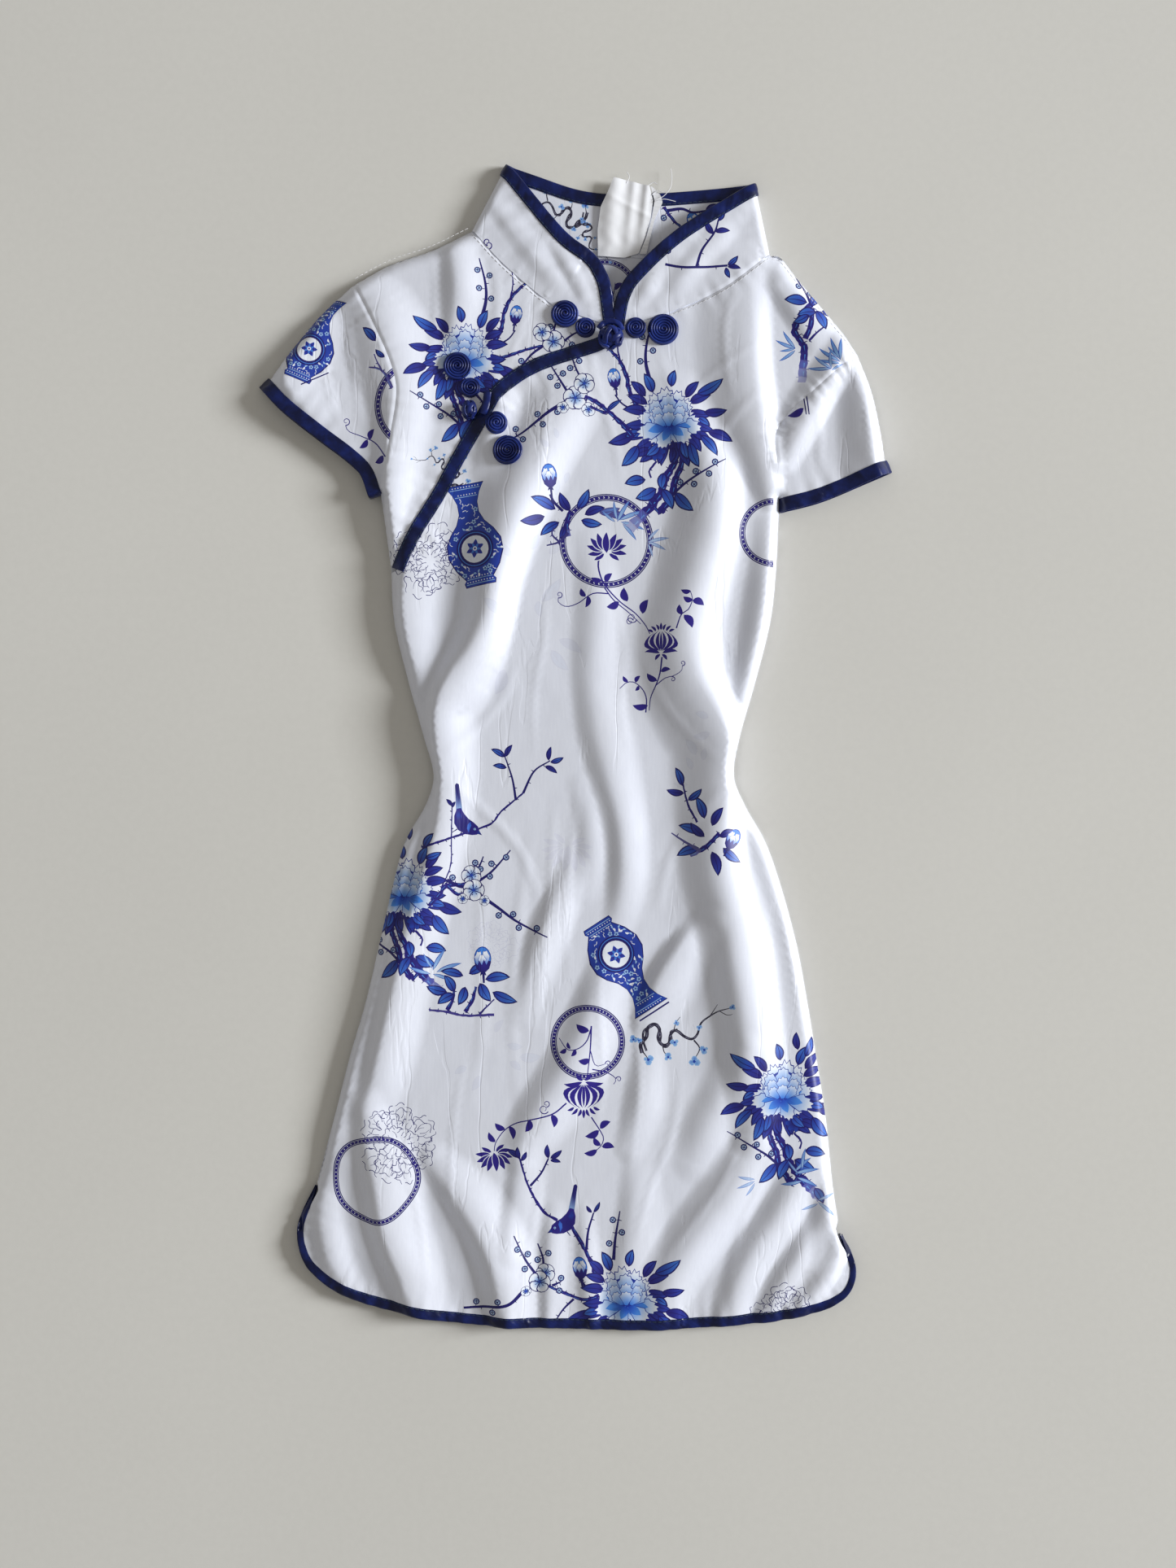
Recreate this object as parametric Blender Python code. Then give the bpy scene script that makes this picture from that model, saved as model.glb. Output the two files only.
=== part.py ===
"""A child's cheongsam top of printed satin, laid flat: run with blender --background --python part.py.

The garment lies with its back on the surface, its neck towards +Y and its front up. The back is flat. The
front, the yoke and the upper layer of the sleeves are one soft height field over it, raised and lowered by
the folds in the table FOLDS, and every binding, knot and coil is made from that field's points, moved out.
All sizes are in millimetres and are turned into metres when a mesh is made.
"""

import math

import bmesh
import bpy
import numpy as np
from mathutils import Vector
from mathutils.geometry import delaunay_2d_cdt

MM = 0.001

# Cloth and seams
WALL = 1.2
GAP = 0.3
HALF_SEAM = 0.2
COLLAR_WALL = 1.5
EDGE_TOP = 2 * WALL + GAP
LEVEL = 7.9
ROUND_EDGE = 14.0
STEP = 10.5
BACK_STEP = 18.0
BINDING_WIDTH = 7.6
BINDING_PROUD = 0.7
HEM_BINDING_WIDTH = 6.0
HEM_BINDING_PROUD = 0.4

# How the meshes are laid out: a panel's first row inside its edge, and how near an edge points may lie
RIM_ROW = 0.42
RIM_CLEAR = 0.38
LATTICE_CLEAR = 0.95
EDGE_STEP = 8.0
SPLINE_STEPS = 13
SHARP_ANGLE = math.radians(50)
MOST_SLOPE = 1.6

# The flat back keeps this much clear of the zip with its other points, and its hem ends this far inside
NEAR_ZIP = 6.0
BACK_HEM_INSET = 0.8

# Where a side seam goes on past the end of the slanting opening, and how far a hem binding stops short
PAST_OPENING = 4.0
SLIT_END = 1.5

# How far a collar flap springs up in its middle, and the rows and columns of its grid
COLLAR_SPRING = 2.2
COLLAR_ROWS = 5
COLLAR_COLUMNS = 12
COLLAR_BEND_POINTS = 7
COLLAR_BEND_CLEAR = 1.5
COLLAR_HALF_GAP = 0.7

# The middle of the garment's box, taken off every point so that the part stands over its own origin
ORIGIN = (0.32, 0.37)

# Seams and edges seen from above, a row of (x, y) points for a smooth curve
SHOULDER_LEFT = ((-56.3, 285.8), (-77.9, 275.4), (-102, 267), (-122, 256))
ARMHOLE_LEFT = ((-122, 256), (-109.4, 231), (-100.8, 211), (-97.7, 195.3), (-100.6, 174), (-103.8, 157))
SLEEVE_TOP_LEFT = ((-122, 256), (-139.5, 240), (-157, 219), (-168.5, 203.6))
SLEEVE_UNDER_LEFT = ((-103.8, 157), (-106, 149), (-106.6, 141))
CUFF_LEFT = ((-168.5, 203.6), (-157, 191.5), (-138, 176.5), (-122, 164.5), (-112, 154.5), (-106.6, 141))
SHOULDER_RIGHT = ((108.5, 272.5), (115.2, 270.5), (123.5, 260), (138.2, 242.6), (149.4, 229), (157.5, 216.9))
ARMHOLE_RIGHT = ((157.5, 216.9), (147.2, 209.7), (133.2, 197.1), (119.3, 184.5), (111.4, 172), (112.2, 157))
SLEEVE_TOP_RIGHT = ((157.5, 216.9), (165, 197), (169.9, 175.5), (172.6, 158.5))
SLEEVE_UNDER_RIGHT = ((112.2, 157), (113.2, 147), (113.8, 137.2))
CUFF_RIGHT = ((172.6, 158.5), (159.8, 153), (135.5, 142.9), (113.8, 137.2))
NECK_SEAM_LEFT = ((-56.3, 285.8), (-38, 266), (-12.2, 244.5), (0, 239.5), (8.5, 236.4))
NECK_SEAM_RIGHT = ((108.5, 272.5), (83, 253.5), (56, 241.2), (46, 237.8), (38, 235.6))
NECK_SEAM_BACK = ((-56.3, 285.8), (-30, 277), (0, 273), (30.5, 272), (62, 270.5), (90, 271), (108.5, 272.5))
COLLAR_EDGE_LEFT = ((-40.2, 316.6), (-10.4, 280.4), (7.6, 264.9), (12.8, 252), (14.0, 238))
COLLAR_EDGE_RIGHT = ((101.6, 305.6), (61.4, 280.2), (40.4, 257.4), (31.8, 247.5), (30.4, 236.5))
COLLAR_TOP_BACK_LEFT = ((30.2, 300.6), (14.9, 300.6), (-2.3, 303.6), (-24, 311), (-40.2, 316.6))
COLLAR_TOP_BACK_RIGHT = ((30.8, 300.6), (48.2, 300.8), (61.2, 301.6), (82.4, 303.4), (101.6, 305.6))
OPENING = ((17, 224.5), (11.3, 221.4), (-21.6, 210.2), (-41, 196.7), (-50.4, 182.3), (-63.9, 159.3),
           (-75.6, 137.7), (-87.8, 117.5), (-97.4, 97.5))
CENTRE_BACK = ((30.5, 272.0), (24.0, 130.0), (8.0, -20.0), (1.5, -170.0), (1.0, -315.9))

# Where the front's edge begins, under the neck's knot
UNDER_KNOT = (25.0, 226.0)

# The body's two sides: how far up the garment, and where each side is there
SIDES = (
    # y, left x, right x
    (137.2, -106.6, 113.8),
    (123.0, -104.6, 113.4),
    (97.0, -101.4, 112.1),
    (69.0, -99.6, 109.0),
    (36.0, -91.8, 100.8),
    (5.0, -83.2, 92.0),
    (-16.0, -77.8, 88.7),
    (-33.0, -82.4, 95.0),
    (-53.0, -93.6, 106.2),
    (-78.0, -100.6, 115.0),
    (-110.0, -108.0, 123.6),
    (-141.0, -115.2, 129.4),
    (-172.0, -124.2, 134.4),
    (-205.0, -132.6, 139.6),
    (-242.0, -142.4, 143.4),
)
SLIT_TOP = {"left": (), "right": ((146.4, -263.0),)}

# The rounded corner below each slit, which the upper layer comes down to as well
SLIT_CORNER = {"left": ((-151.2, -259.0), (-152.0, -268.0)), "right": ((149.6, -272.0), (154.0, -280.4))}

# The hem's outer edge from the top of the left slit round to the top of the right one
HEM_EDGE = ((-142.8, -242.0), (-151.2, -259.0), (-153.6, -270.5), (-150.6, -284.4), (-144.5, -292.9),
            (-133.7, -301.5), (-117.9, -308.4), (-98.1, -313.7), (-72.0, -318.6), (-45.5, -321.3),
            (-2.3, -322.9), (36.5, -323.6), (72.0, -322.2), (111.6, -318.6), (135.5, -313.7),
            (147.8, -308.1), (154.2, -301.0), (156.6, -291.2), (154.0, -280.4), (149.6, -272.0),
            (146.8, -263.0))

# Folds of the upper layer. Each crest is a row of (x, y, rise) points, and west and east say how far its
# slopes run towards -X and +X. A negative rise is a hollow.
FOLDS = {
    # name: (west, east, crest)
    "right_chest_ridge": (36, 7, ((97, 262, 2), (98, 235, 7.5), (99, 205, 10), (103, 175, 10.5),
                                  (107.5, 155, 9.5), (110, 134, 4))),
    "right_chest_hollow": (22, 20, ((72, 238, -2.2), (68, 205, -3.4), (76, 175, -3), (86, 150, -1.5))),
    "right_flank_ridge": (24, 26, ((80, 140, 1.5), (66, 98, 7), (63, 62, 9), (71, 36, 8), (82, 6, 6),
                                   (82, -14, 6), (84, -50, 7), (91, -100, 8.5), (95, -150, 8),
                                   (96, -188, 5.5), (100, -212, 2))),
    "flank_valley": (16, 14, ((46, 120, -1.5), (44, 70, -2.5), (47, 20, -2.2), (53, -30, -2.5),
                              (61, -80, -2.5), (68, -130, -2))),
    "centre_ridge": (12, 26, ((4, 120, 1), (8, 90, 3.5), (6, 50, 3.5), (5, 15, 3), (14, -15, 3.5),
                              (20, -50, 4.5), (26, -90, 4), (30, -120, 1.5))),
    "left_chest_ridge": (24, 34, ((-8, 205, 1.5), (-20, 172, 4), (-35, 130, 8), (-47, 85, 9),
                                  (-55, 52, 8.5), (-68, 27, 6.5), (-70, 4, 3))),
    "left_chest_hollow": (14, 12, ((-68, 104, -1.5), (-70, 72, -3.2), (-80, 46, -2))),
    "left_side_roll": (10, 24, ((-94, 160, 2.5), (-94, 122, 4), (-90, 74, 3.5), (-80, 38, 1.5))),
    "left_hip_roll": (12, 32, ((-78, -44, 2.5), (-88, -84, 5), (-98, -130, 5.5), (-110, -180, 5.2),
                               (-124, -226, 3.5), (-132, -250, 2))),
    "lower_crease": (9, 22, ((7, -98, 1.5), (6, -130, 4), (4, -165, 4), (-16, -195, 3.2),
                             (-25, -216, 1.2))),
    "left_hem_fold_outer": (10, 24, ((-118, -205, 1.2), (-110, -240, 5), (-101, -280, 6.5),
                                     (-95, -318, 5))),
    "left_hem_fold_inner": (12, 26, ((-72, -232, 1.2), (-60, -262, 5), (-46, -295, 7), (-42, -324, 6))),
    "middle_hem_fold": (9, 15, ((-12, -215, 1.2), (-8, -245, 4), (-14, -275, 4), (-12, -324, 3.2))),
    "right_hem_fold_inner": (20, 20, ((112, -215, 2.5), (98, -238, 6), (80, -262, 8), (64, -298, 6.5),
                                      (58, -324, 5))),
    "right_hem_fold_middle": (14, 16, ((128, -222, 2), (117, -255, 6.5), (102, -285, 7), (92, -318, 5))),
    "right_hem_fold_outer": (10, 14, ((140, -250, 2.5), (130, -285, 5), (122, -316, 4))),
    "hip_patch": (10, 14, ((50, -136, 1.2), (62, -118, 3.2), (72, -150, 4), (74, -180, 3),
                           (68, -208, 1.2))),
    "left_armhole_ridge": (22, 18, ((-114, 250, 2.5), (-103, 222, 5), (-98, 196, 5.5), (-98, 168, 4))),
    "left_sleeve_ridge": (14, 24, ((-150, 222, 3), (-150, 200, 4.5), (-136, 178, 3))),
    "yoke_ridge": (12, 16, ((-62, 272, 2), (-63, 250, 4), (-61, 225, 2))),
    "yoke_swell": (14, 14, ((-86, 258, 2), (-90, 235, 3.5), (-84, 205, 2))),
    "right_shoulder_ridge": (14, 18, ((113, 258, 2.5), (126, 240, 4), (138, 220, 2))),
    "right_sleeve_ridge": (9, 16, ((148, 220, 2), (151, 202, 4.5), (153, 180, 5), (154, 150, 4))),
    "right_sleeve_swell": (8, 16, ((122, 194, 2), (121, 170, 3.5), (126, 140, 3))),
}

# Frog coils: name, x, y and diameter, each a spiral of satin cord seen from above
COILS = (
    ("neck_frog_coil_outer_left", -5.0, 239.0, 15.3),
    ("neck_frog_coil_inner_left", 6.4, 231.4, 11.4),
    ("neck_frog_coil_inner_right", 34.2, 231.3, 11.7),
    ("neck_frog_coil_outer_right", 49.4, 230.4, 17.4),
    ("chest_frog_coil_outer_top", -64.4, 210.2, 15.6),
    ("chest_frog_coil_inner_top", -57.2, 198.2, 11.2),
    ("chest_frog_coil_inner_low", -42.6, 178.2, 12.4),
    ("chest_frog_coil_outer_low", -36.5, 163.2, 16.5),
)
COIL_HEIGHT = 2.6
COIL_RIM_SHARE = 0.45
COIL_SIDES = 20
FROG_CLEARANCE = 1.0

# Knots: name, x, y, their size along X, Y and Z, and how far what they rest on stands over the cloth
KNOTS = (
    ("neck_frog_knot", 20.4, 225.0, (13.5, 13.2, 8.4), BINDING_PROUD),
    ("chest_frog_knot", -57.6, 185.4, (8.2, 11.6, 6.0), 0.0),
)
KNOT_CLEARANCE = 0.4

# The cord loops that hold the knots: name, width, and the line of each seen from above
LOOPS = (
    ("neck_frog_loop", 3.2, ((13.9, 230.4), (16.2, 233.4), (20.6, 234.6), (24.8, 233.0), (26.8, 229.6))),
    ("chest_frog_loop", 4.4, ((-47.4, 195.2), (-48.2, 189.0), (-50.2, 183.2))),
)
LOOP_HEIGHT = 2.2
LOOP_STEP = 3.0

# The facing and the zip's tape that stand out of the collar at the centre back, seen from above
ZIP_FACING = ((13.4, 272.5), (28.0, 271.5), (36.0, 274.0), (39.6, 283.0), (42.6, 293.0), (44.0, 303.0),
              (42.0, 311.0), (32.0, 313.4), (22.1, 315.5), (19.0, 308.0), (14.9, 299.7), (13.2, 287.0))
ZIP_TAPE = ((36.6, 273.6), (40.3, 273.4), (44.8, 292.4), (49.3, 302.2), (48.2, 306.0), (43.4, 311.0),
            (42.8, 311.0), (44.8, 303.0), (43.2, 292.8), (40.2, 282.8))
FACING_STEP = 5.0

# The fold along the facing: its height, its place across and its half-width, and the waves along it
FACING_FOLD = (1.6, 24.0, 5.0)
FACING_WAVES = (0.8, 0.22, 272.0)

SATIN = ("satin_print", (0.86, 0.87, 0.91), 0.34)
FACING = ("satin_plain", (0.88, 0.88, 0.90), 0.4)
NAVY = ("satin_navy", (0.012, 0.02, 0.14), 0.32)
CORD = ("cord_navy", (0.008, 0.014, 0.1), 0.42)


def clear_scene():
    for thing in list(bpy.data.objects):
        bpy.data.objects.remove(thing, do_unlink=True)


def material(name, colour, roughness):
    """One Principled material for each name."""
    made = bpy.data.materials.get(name) or bpy.data.materials.new(name)
    made.use_nodes = True
    shader = made.node_tree.nodes["Principled BSDF"]
    shader.inputs["Base Color"].default_value = (*colour, 1.0)
    shader.inputs["Roughness"].default_value = roughness
    shader.inputs["Metallic"].default_value = 0.0
    return made


def spline(points, count):
    """`count` points, evenly spaced along a smooth curve through the given ones."""
    points = np.asarray(points, float)
    first = 2 * points[0] - points[1]
    last = 2 * points[-1] - points[-2]
    knots = np.vstack([first, points, last])
    steps = np.linspace(0.0, 1.0, SPLINE_STEPS)[:, None]
    runs = []
    for before, start, end, after in zip(knots[:-3], knots[1:-2], knots[2:-1], knots[3:]):
        runs.append(0.5 * (2 * start + (end - before) * steps
                           + (2 * before - 5 * start + 4 * end - after) * steps**2
                           + (3 * start - before - 3 * end + after) * steps**3))
    path = np.vstack([run[:-1] for run in runs] + [points[-1:]])
    return even(path, count)


def even(path, count):
    """The same line with `count` evenly spaced points."""
    lengths = np.linalg.norm(np.diff(path, axis=0), axis=1)
    along = np.concatenate([[0.0], np.cumsum(lengths)])
    wanted = np.linspace(0.0, along[-1], count)
    return np.column_stack([np.interp(wanted, along, path[:, k]) for k in range(path.shape[1])])


def run_of(points, step=STEP):
    """A smooth curve through the points, with a point about every `step`."""
    rough = spline(points, 60)
    length = np.linalg.norm(np.diff(rough, axis=0), axis=1).sum()
    return spline(points, max(3, int(round(length / step)) + 1))


def side(which):
    """One side of the body from the underarm down to the top of the slit, as (x, y) points."""
    column = {"left": 1, "right": 2}[which]
    return tuple((row[column], row[0]) for row in SIDES) + SLIT_TOP[which]


def moved_sideways(path, distance):
    """The line moved to its left by `distance`, seen along it from above."""
    along = np.gradient(path, axis=0)
    along /= np.linalg.norm(along, axis=1)[:, None]
    return path + distance * np.column_stack([-along[:, 1], along[:, 0]])


def shrunk(outline, by):
    """A closed outline, anticlockwise, moved inwards by the same amount all round."""
    before = outline - np.roll(outline, 1, axis=0)
    after = np.roll(outline, -1, axis=0) - outline
    before /= np.linalg.norm(before, axis=1)[:, None]
    after /= np.linalg.norm(after, axis=1)[:, None]
    inward = np.column_stack([-(before + after)[:, 1], (before + after)[:, 0]])
    inward /= np.linalg.norm(inward, axis=1)[:, None]
    turn = np.clip((inward * np.column_stack([-after[:, 1], after[:, 0]])).sum(axis=1), 0.4, 1.0)
    return outline + by * inward / turn[:, None]


def nearest_on(path, x, y):
    """For each (x, y): distance to the line, the share of the way along it, and which side it is on."""
    best = np.full(x.shape, np.inf)
    share = np.zeros(x.shape)
    to_east = np.ones(x.shape, bool)
    for index in range(len(path) - 1):
        start = path[index, :2]
        run = path[index + 1, :2] - start
        t = np.clip(((x - start[0]) * run[0] + (y - start[1]) * run[1]) / (run @ run), 0.0, 1.0)
        gap = np.hypot(x - start[0] - t * run[0], y - start[1] - t * run[1])
        # The cross product is positive on the +X side of a run that goes down the garment.
        cross = run[0] * (y - start[1]) - run[1] * (x - start[0])
        closer = gap < best
        best = np.where(closer, gap, best)
        share = np.where(closer, index + t, share)
        to_east = np.where(closer, cross * -np.sign(run[1] or -1.0) > 0, to_east)
    return best, share, to_east


def bump(ratio):
    """1 on a crest, falling smoothly to 0 at a ratio of 1."""
    return np.clip(1.0 - ratio**2, 0.0, None)**2


def fold_rise(x, y):
    """What all the folds together add to the height."""
    total = np.zeros(x.shape)
    for west, east, crest in FOLDS.values():
        crest = spline(crest, 4 * len(crest))
        gap, share, to_east = nearest_on(crest, x, y)
        rise = np.interp(share, np.arange(len(crest)), crest[:, 2])
        total += rise * bump(gap / np.where(to_east, east, west))
    return total


def held_edges():
    """The lines along which the upper layer comes down to the lower one: sides, shoulders, sleeve tops."""
    return [
        np.vstack([run_of(SLEEVE_TOP_LEFT)[::-1][:-1], run_of(SHOULDER_LEFT)[::-1]]),
        np.vstack([run_of(SHOULDER_RIGHT)[:-1], run_of(SLEEVE_TOP_RIGHT)]),
        run_of(side("left") + SLIT_CORNER["left"]),
        run_of(side("right") + SLIT_CORNER["right"]),
    ]


HELD_EDGES = held_edges()


def edge_rise(x, y):
    """0 on a held edge, rising over ROUND_EDGE to 1 like a quarter of a circle."""
    gap = np.min([nearest_on(edge, x, y)[0] for edge in HELD_EDGES], axis=0)
    inner = 1.0 - np.clip(gap / ROUND_EDGE, 0.0, 1.0)
    return np.sqrt(1.0 - inner**2)


def height(x, y):
    """The top of the upper layer of cloth."""
    x = np.asarray(x, float)
    y = np.asarray(y, float)
    return EDGE_TOP + (LEVEL - EDGE_TOP + fold_rise(x, y)) * edge_rise(x, y)


def slope_factor(x, y):
    """How much thicker a sloping wall is when it is measured straight down."""
    small = 0.5
    slope_x = (height(x + small, y) - height(x - small, y)) / (2 * small)
    slope_y = (height(x, y + small) - height(x, y - small)) / (2 * small)
    return np.minimum(np.sqrt(1.0 + slope_x**2 + slope_y**2), MOST_SLOPE)


def underside(x, y):
    """The underside of the upper layer, never lower than a gap over the back."""
    return np.maximum(height(x, y) - WALL * slope_factor(x, y), WALL + GAP)


def inside(outline, x, y):
    """Whether each (x, y) lies in the outline."""
    found = np.zeros(x.shape, bool)
    for start, end in zip(outline, np.roll(outline, -1, axis=0)):
        crosses = (start[1] > y) != (end[1] > y)
        rise = end[1] - start[1]
        meets = start[0] + (y - start[1]) * (end[0] - start[0]) / (rise if rise else 1.0)
        found ^= crosses & (x < meets)
    return found


def filling_points(outline, step):
    """Points inside the outline: a row close to its edge, then a lattice of equal triangles."""
    rim = shrunk(outline, RIM_ROW * step)
    low, high = outline.min(axis=0), outline.max(axis=0)
    row_step = step * math.sqrt(3) / 2
    rows = np.arange(low[1], high[1], row_step)
    lattice = np.array([(x + 0.5 * step * (index % 2), y) for index, y in enumerate(rows)
                        for x in np.arange(low[0], high[0], step)])
    closed = np.vstack([outline, outline[:1]])
    points = []
    for group, clearance in ((rim, RIM_CLEAR * step), (lattice, LATTICE_CLEAR * step)):
        gap = nearest_on(closed, group[:, 0], group[:, 1])[0]
        keep = inside(outline, group[:, 0], group[:, 1]) & (gap > clearance)
        points.append(group[keep])
    return np.vstack(points)


def new_object(name, points, faces, look):
    """A closed mesh from points in millimetres, its faces turned outwards."""
    points = np.asarray(points, float) - (*ORIGIN, 0.0)
    mesh = bpy.data.meshes.new(name)
    mesh.from_pydata((points * MM).tolist(), [], [list(map(int, face)) for face in faces])
    work = bmesh.new()
    work.from_mesh(mesh)
    bmesh.ops.recalc_face_normals(work, faces=work.faces)
    work.to_mesh(mesh)
    work.free()
    mesh.shade_smooth()
    mesh.set_sharp_from_angle(angle=SHARP_ANGLE)
    mesh.materials.append(material(*look))
    made = bpy.data.objects.new(name, mesh)
    bpy.context.scene.collection.objects.link(made)
    return made


def sheet_between(name, outline, low, high, look, step=STEP, fill=True):
    """A closed sheet over the outline, from the height low(x, y) up to high(x, y)."""
    flat = outline
    if fill:
        flat = np.vstack([outline, filling_points(outline, step)])
    edges = [(k, (k + 1) % len(outline)) for k in range(len(outline))]
    found = delaunay_2d_cdt([Vector(point) for point in flat], edges, [], 1, 1e-6)
    flat = np.array([tuple(point) for point in found[0]])
    faces = found[2]
    count = len(flat)
    x, y = flat[:, 0], flat[:, 1]
    points = np.vstack([np.column_stack([x, y, high(x, y)]), np.column_stack([x, y, low(x, y)])])
    sides = {(a, b) for face in faces for a, b in zip(face, face[1:] + face[:1])}
    walls = [(b, a, a + count, b + count) for a, b in sides if (b, a) not in sides]
    under = [[k + count for k in reversed(face)] for face in faces]
    return new_object(name, points, list(faces) + under + walls, look)


def grid_normals(grid, ring):
    """The unit normal at each point of a grid of points. `ring` says that its columns close."""
    if ring:
        wide = np.concatenate([grid[:, -1:], grid, grid[:, :1]], axis=1)
        across = wide[:, 2:] - wide[:, :-2]
    else:
        across = np.gradient(grid, axis=1)
    normal = np.cross(np.gradient(grid, axis=0), across)
    return normal / np.linalg.norm(normal, axis=2)[:, :, None]


def wall_of(name, grid, wall, look, ring=False):
    """A wall of even thickness whose middle is the grid of points, open at its first and last row."""
    rows, columns = grid.shape[:2]
    normal = grid_normals(grid, ring)
    points = np.vstack([(grid + normal * wall / 2).reshape(-1, 3), (grid - normal * wall / 2).reshape(-1, 3)])
    other = rows * columns
    last = columns if ring else columns - 1
    faces = []
    for row in range(rows - 1):
        for column in range(last):
            a = row * columns + column
            b = row * columns + (column + 1) % columns
            c, d = b + columns, a + columns
            faces += [(a, b, c, d), (d + other, c + other, b + other, a + other)]
    for row in (0, rows - 1):
        for column in range(last):
            a = row * columns + column
            b = row * columns + (column + 1) % columns
            faces.append((a, b, b + other, a + other))
    for column in () if ring else (0, columns - 1):
        for row in range(rows - 1):
            a = row * columns + column
            faces.append((a, a + columns, a + columns + other, a + other))
    return new_object(name, points, faces, look)


SLEEVES = {
    "left": (ARMHOLE_LEFT, CUFF_LEFT, SLEEVE_TOP_LEFT, SLEEVE_UNDER_LEFT),
    "right": (ARMHOLE_RIGHT, CUFF_RIGHT, SLEEVE_TOP_RIGHT, SLEEVE_UNDER_RIGHT),
}
SLEEVE_ROWS = 9
SLEEVE_COLUMNS = 13

# How far the folded edges of a sleeve are drawn in, and the least hollow between its two layers
SLEEVE_TUCK = 0.81
SLEEVE_HOLLOW = 0.5


def opening_edges():
    """The opening's binding: its middle line and the two panel edges that it covers."""
    middle = run_of(OPENING, EDGE_STEP)
    reach = BINDING_WIDTH / 2 + HALF_SEAM
    return middle, moved_sideways(middle, -reach), moved_sideways(middle, reach)


def side_below(which, y):
    """One side of the body from the height y down to the slit, as a line of points."""
    path = run_of(side(which))
    start = (np.interp(y, path[::-1, 1], path[::-1, 0]), y)
    return np.vstack([start, path[path[:, 1] < y - 0.3 * STEP]])


def side_above(which, y):
    """One side of the body from the underarm down to the height y, as a line of points."""
    path = run_of(side(which))
    end = (np.interp(y, path[::-1, 1], path[::-1, 0]), y)
    return np.vstack([path[path[:, 1] > y + 0.3 * STEP], end])


def armhole(which):
    """The armhole's seam from the shoulder down, with the same points as the sleeve's first ring."""
    return spline(SLEEVES[which][0], SLEEVE_COLUMNS)


def build_front():
    """The front, from the opening and the right shoulder down to the hem."""
    front_edge = opening_edges()[2]
    outline = np.vstack([
        [UNDER_KNOT], front_edge, side_below("left", front_edge[-1, 1] - PAST_OPENING)[:-1],
        hem_line(HEM_BINDING_WIDTH + HALF_SEAM)[:-1], run_of(side("right"))[::-1][:-1],
        run_of(SLEEVE_UNDER_RIGHT)[::-1][:-1], armhole("right")[::-1][:-1],
        run_of(SHOULDER_RIGHT)[::-1][:-1], run_of(NECK_SEAM_RIGHT),
    ])
    sheet_between("front_panel", shrunk(outline, HALF_SEAM), underside, height, SATIN)


def build_yoke():
    """The small upper front on the left, above the opening."""
    yoke_edge = opening_edges()[1]
    outline = np.vstack([
        run_of(SHOULDER_LEFT)[:-1], armhole("left")[:-1], run_of(SLEEVE_UNDER_LEFT)[:-1],
        side_above("left", yoke_edge[-1, 1] + PAST_OPENING), yoke_edge[::-1], run_of(NECK_SEAM_LEFT)[::-1][:-1],
    ])
    sheet_between("front_yoke", shrunk(outline, HALF_SEAM), underside, height, SATIN)


def hem_line(inset):
    """The hem's curve moved inwards, from the top of the left slit to the top of the right one."""
    path = moved_sideways(run_of(HEM_EDGE, EDGE_STEP), inset)
    return np.vstack([side("left")[-1], path, side("right")[-1]])


def build_back():
    """The two halves of the back, flat, parted by the zip at the centre back."""
    middle = run_of(CENTRE_BACK, BACK_STEP)
    neck = run_of(NECK_SEAM_BACK, BACK_STEP)
    hem = hem_line(HEM_BINDING_WIDTH + BACK_HEM_INSET + HALF_SEAM)
    zip_top, zip_foot = middle[0, 0], middle[-1, 0]
    left = np.vstack([
        run_of(SHOULDER_LEFT)[:-1], armhole("left")[:-1], run_of(SLEEVE_UNDER_LEFT)[:-1],
        run_of(side("left"))[:-1], hem[hem[:, 0] < zip_foot - NEAR_ZIP],
        middle[::-1], neck[neck[:, 0] < zip_top - NEAR_ZIP][::-1][:-1],
    ])
    right = np.vstack([
        middle, hem[hem[:, 0] > zip_foot + NEAR_ZIP][:-1], run_of(side("right"))[::-1][:-1],
        run_of(SLEEVE_UNDER_RIGHT)[::-1][:-1], armhole("right")[::-1][:-1],
        run_of(SHOULDER_RIGHT)[::-1][:-1], neck[neck[:, 0] > zip_top + NEAR_ZIP][::-1],
    ])
    for name, outline in (("back_left", left), ("back_right", right)):
        sheet_between(name, shrunk(outline, 2 * HALF_SEAM), lambda x, y: 0 * x, lambda x, y: 0 * x + WALL,
                      SATIN, fill=False)


def plan_patch(start, end, top, bottom, rows, columns):
    """Points of a four-sided piece of cloth seen from above, between its four edge curves."""
    start, end = spline(start, columns), spline(end, columns)
    top, bottom = spline(top, rows), spline(bottom, rows)
    u = np.linspace(0.0, 1.0, rows)[:, None, None]
    v = np.linspace(0.0, 1.0, columns)[None, :, None]
    ruled = (1 - u) * start[None] + u * end[None] + (1 - v) * top[:, None] + v * bottom[:, None]
    corners = ((1 - u) * (1 - v) * start[0] + (1 - u) * v * start[-1]
               + u * (1 - v) * end[0] + u * v * end[-1])
    return ruled - corners


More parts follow.
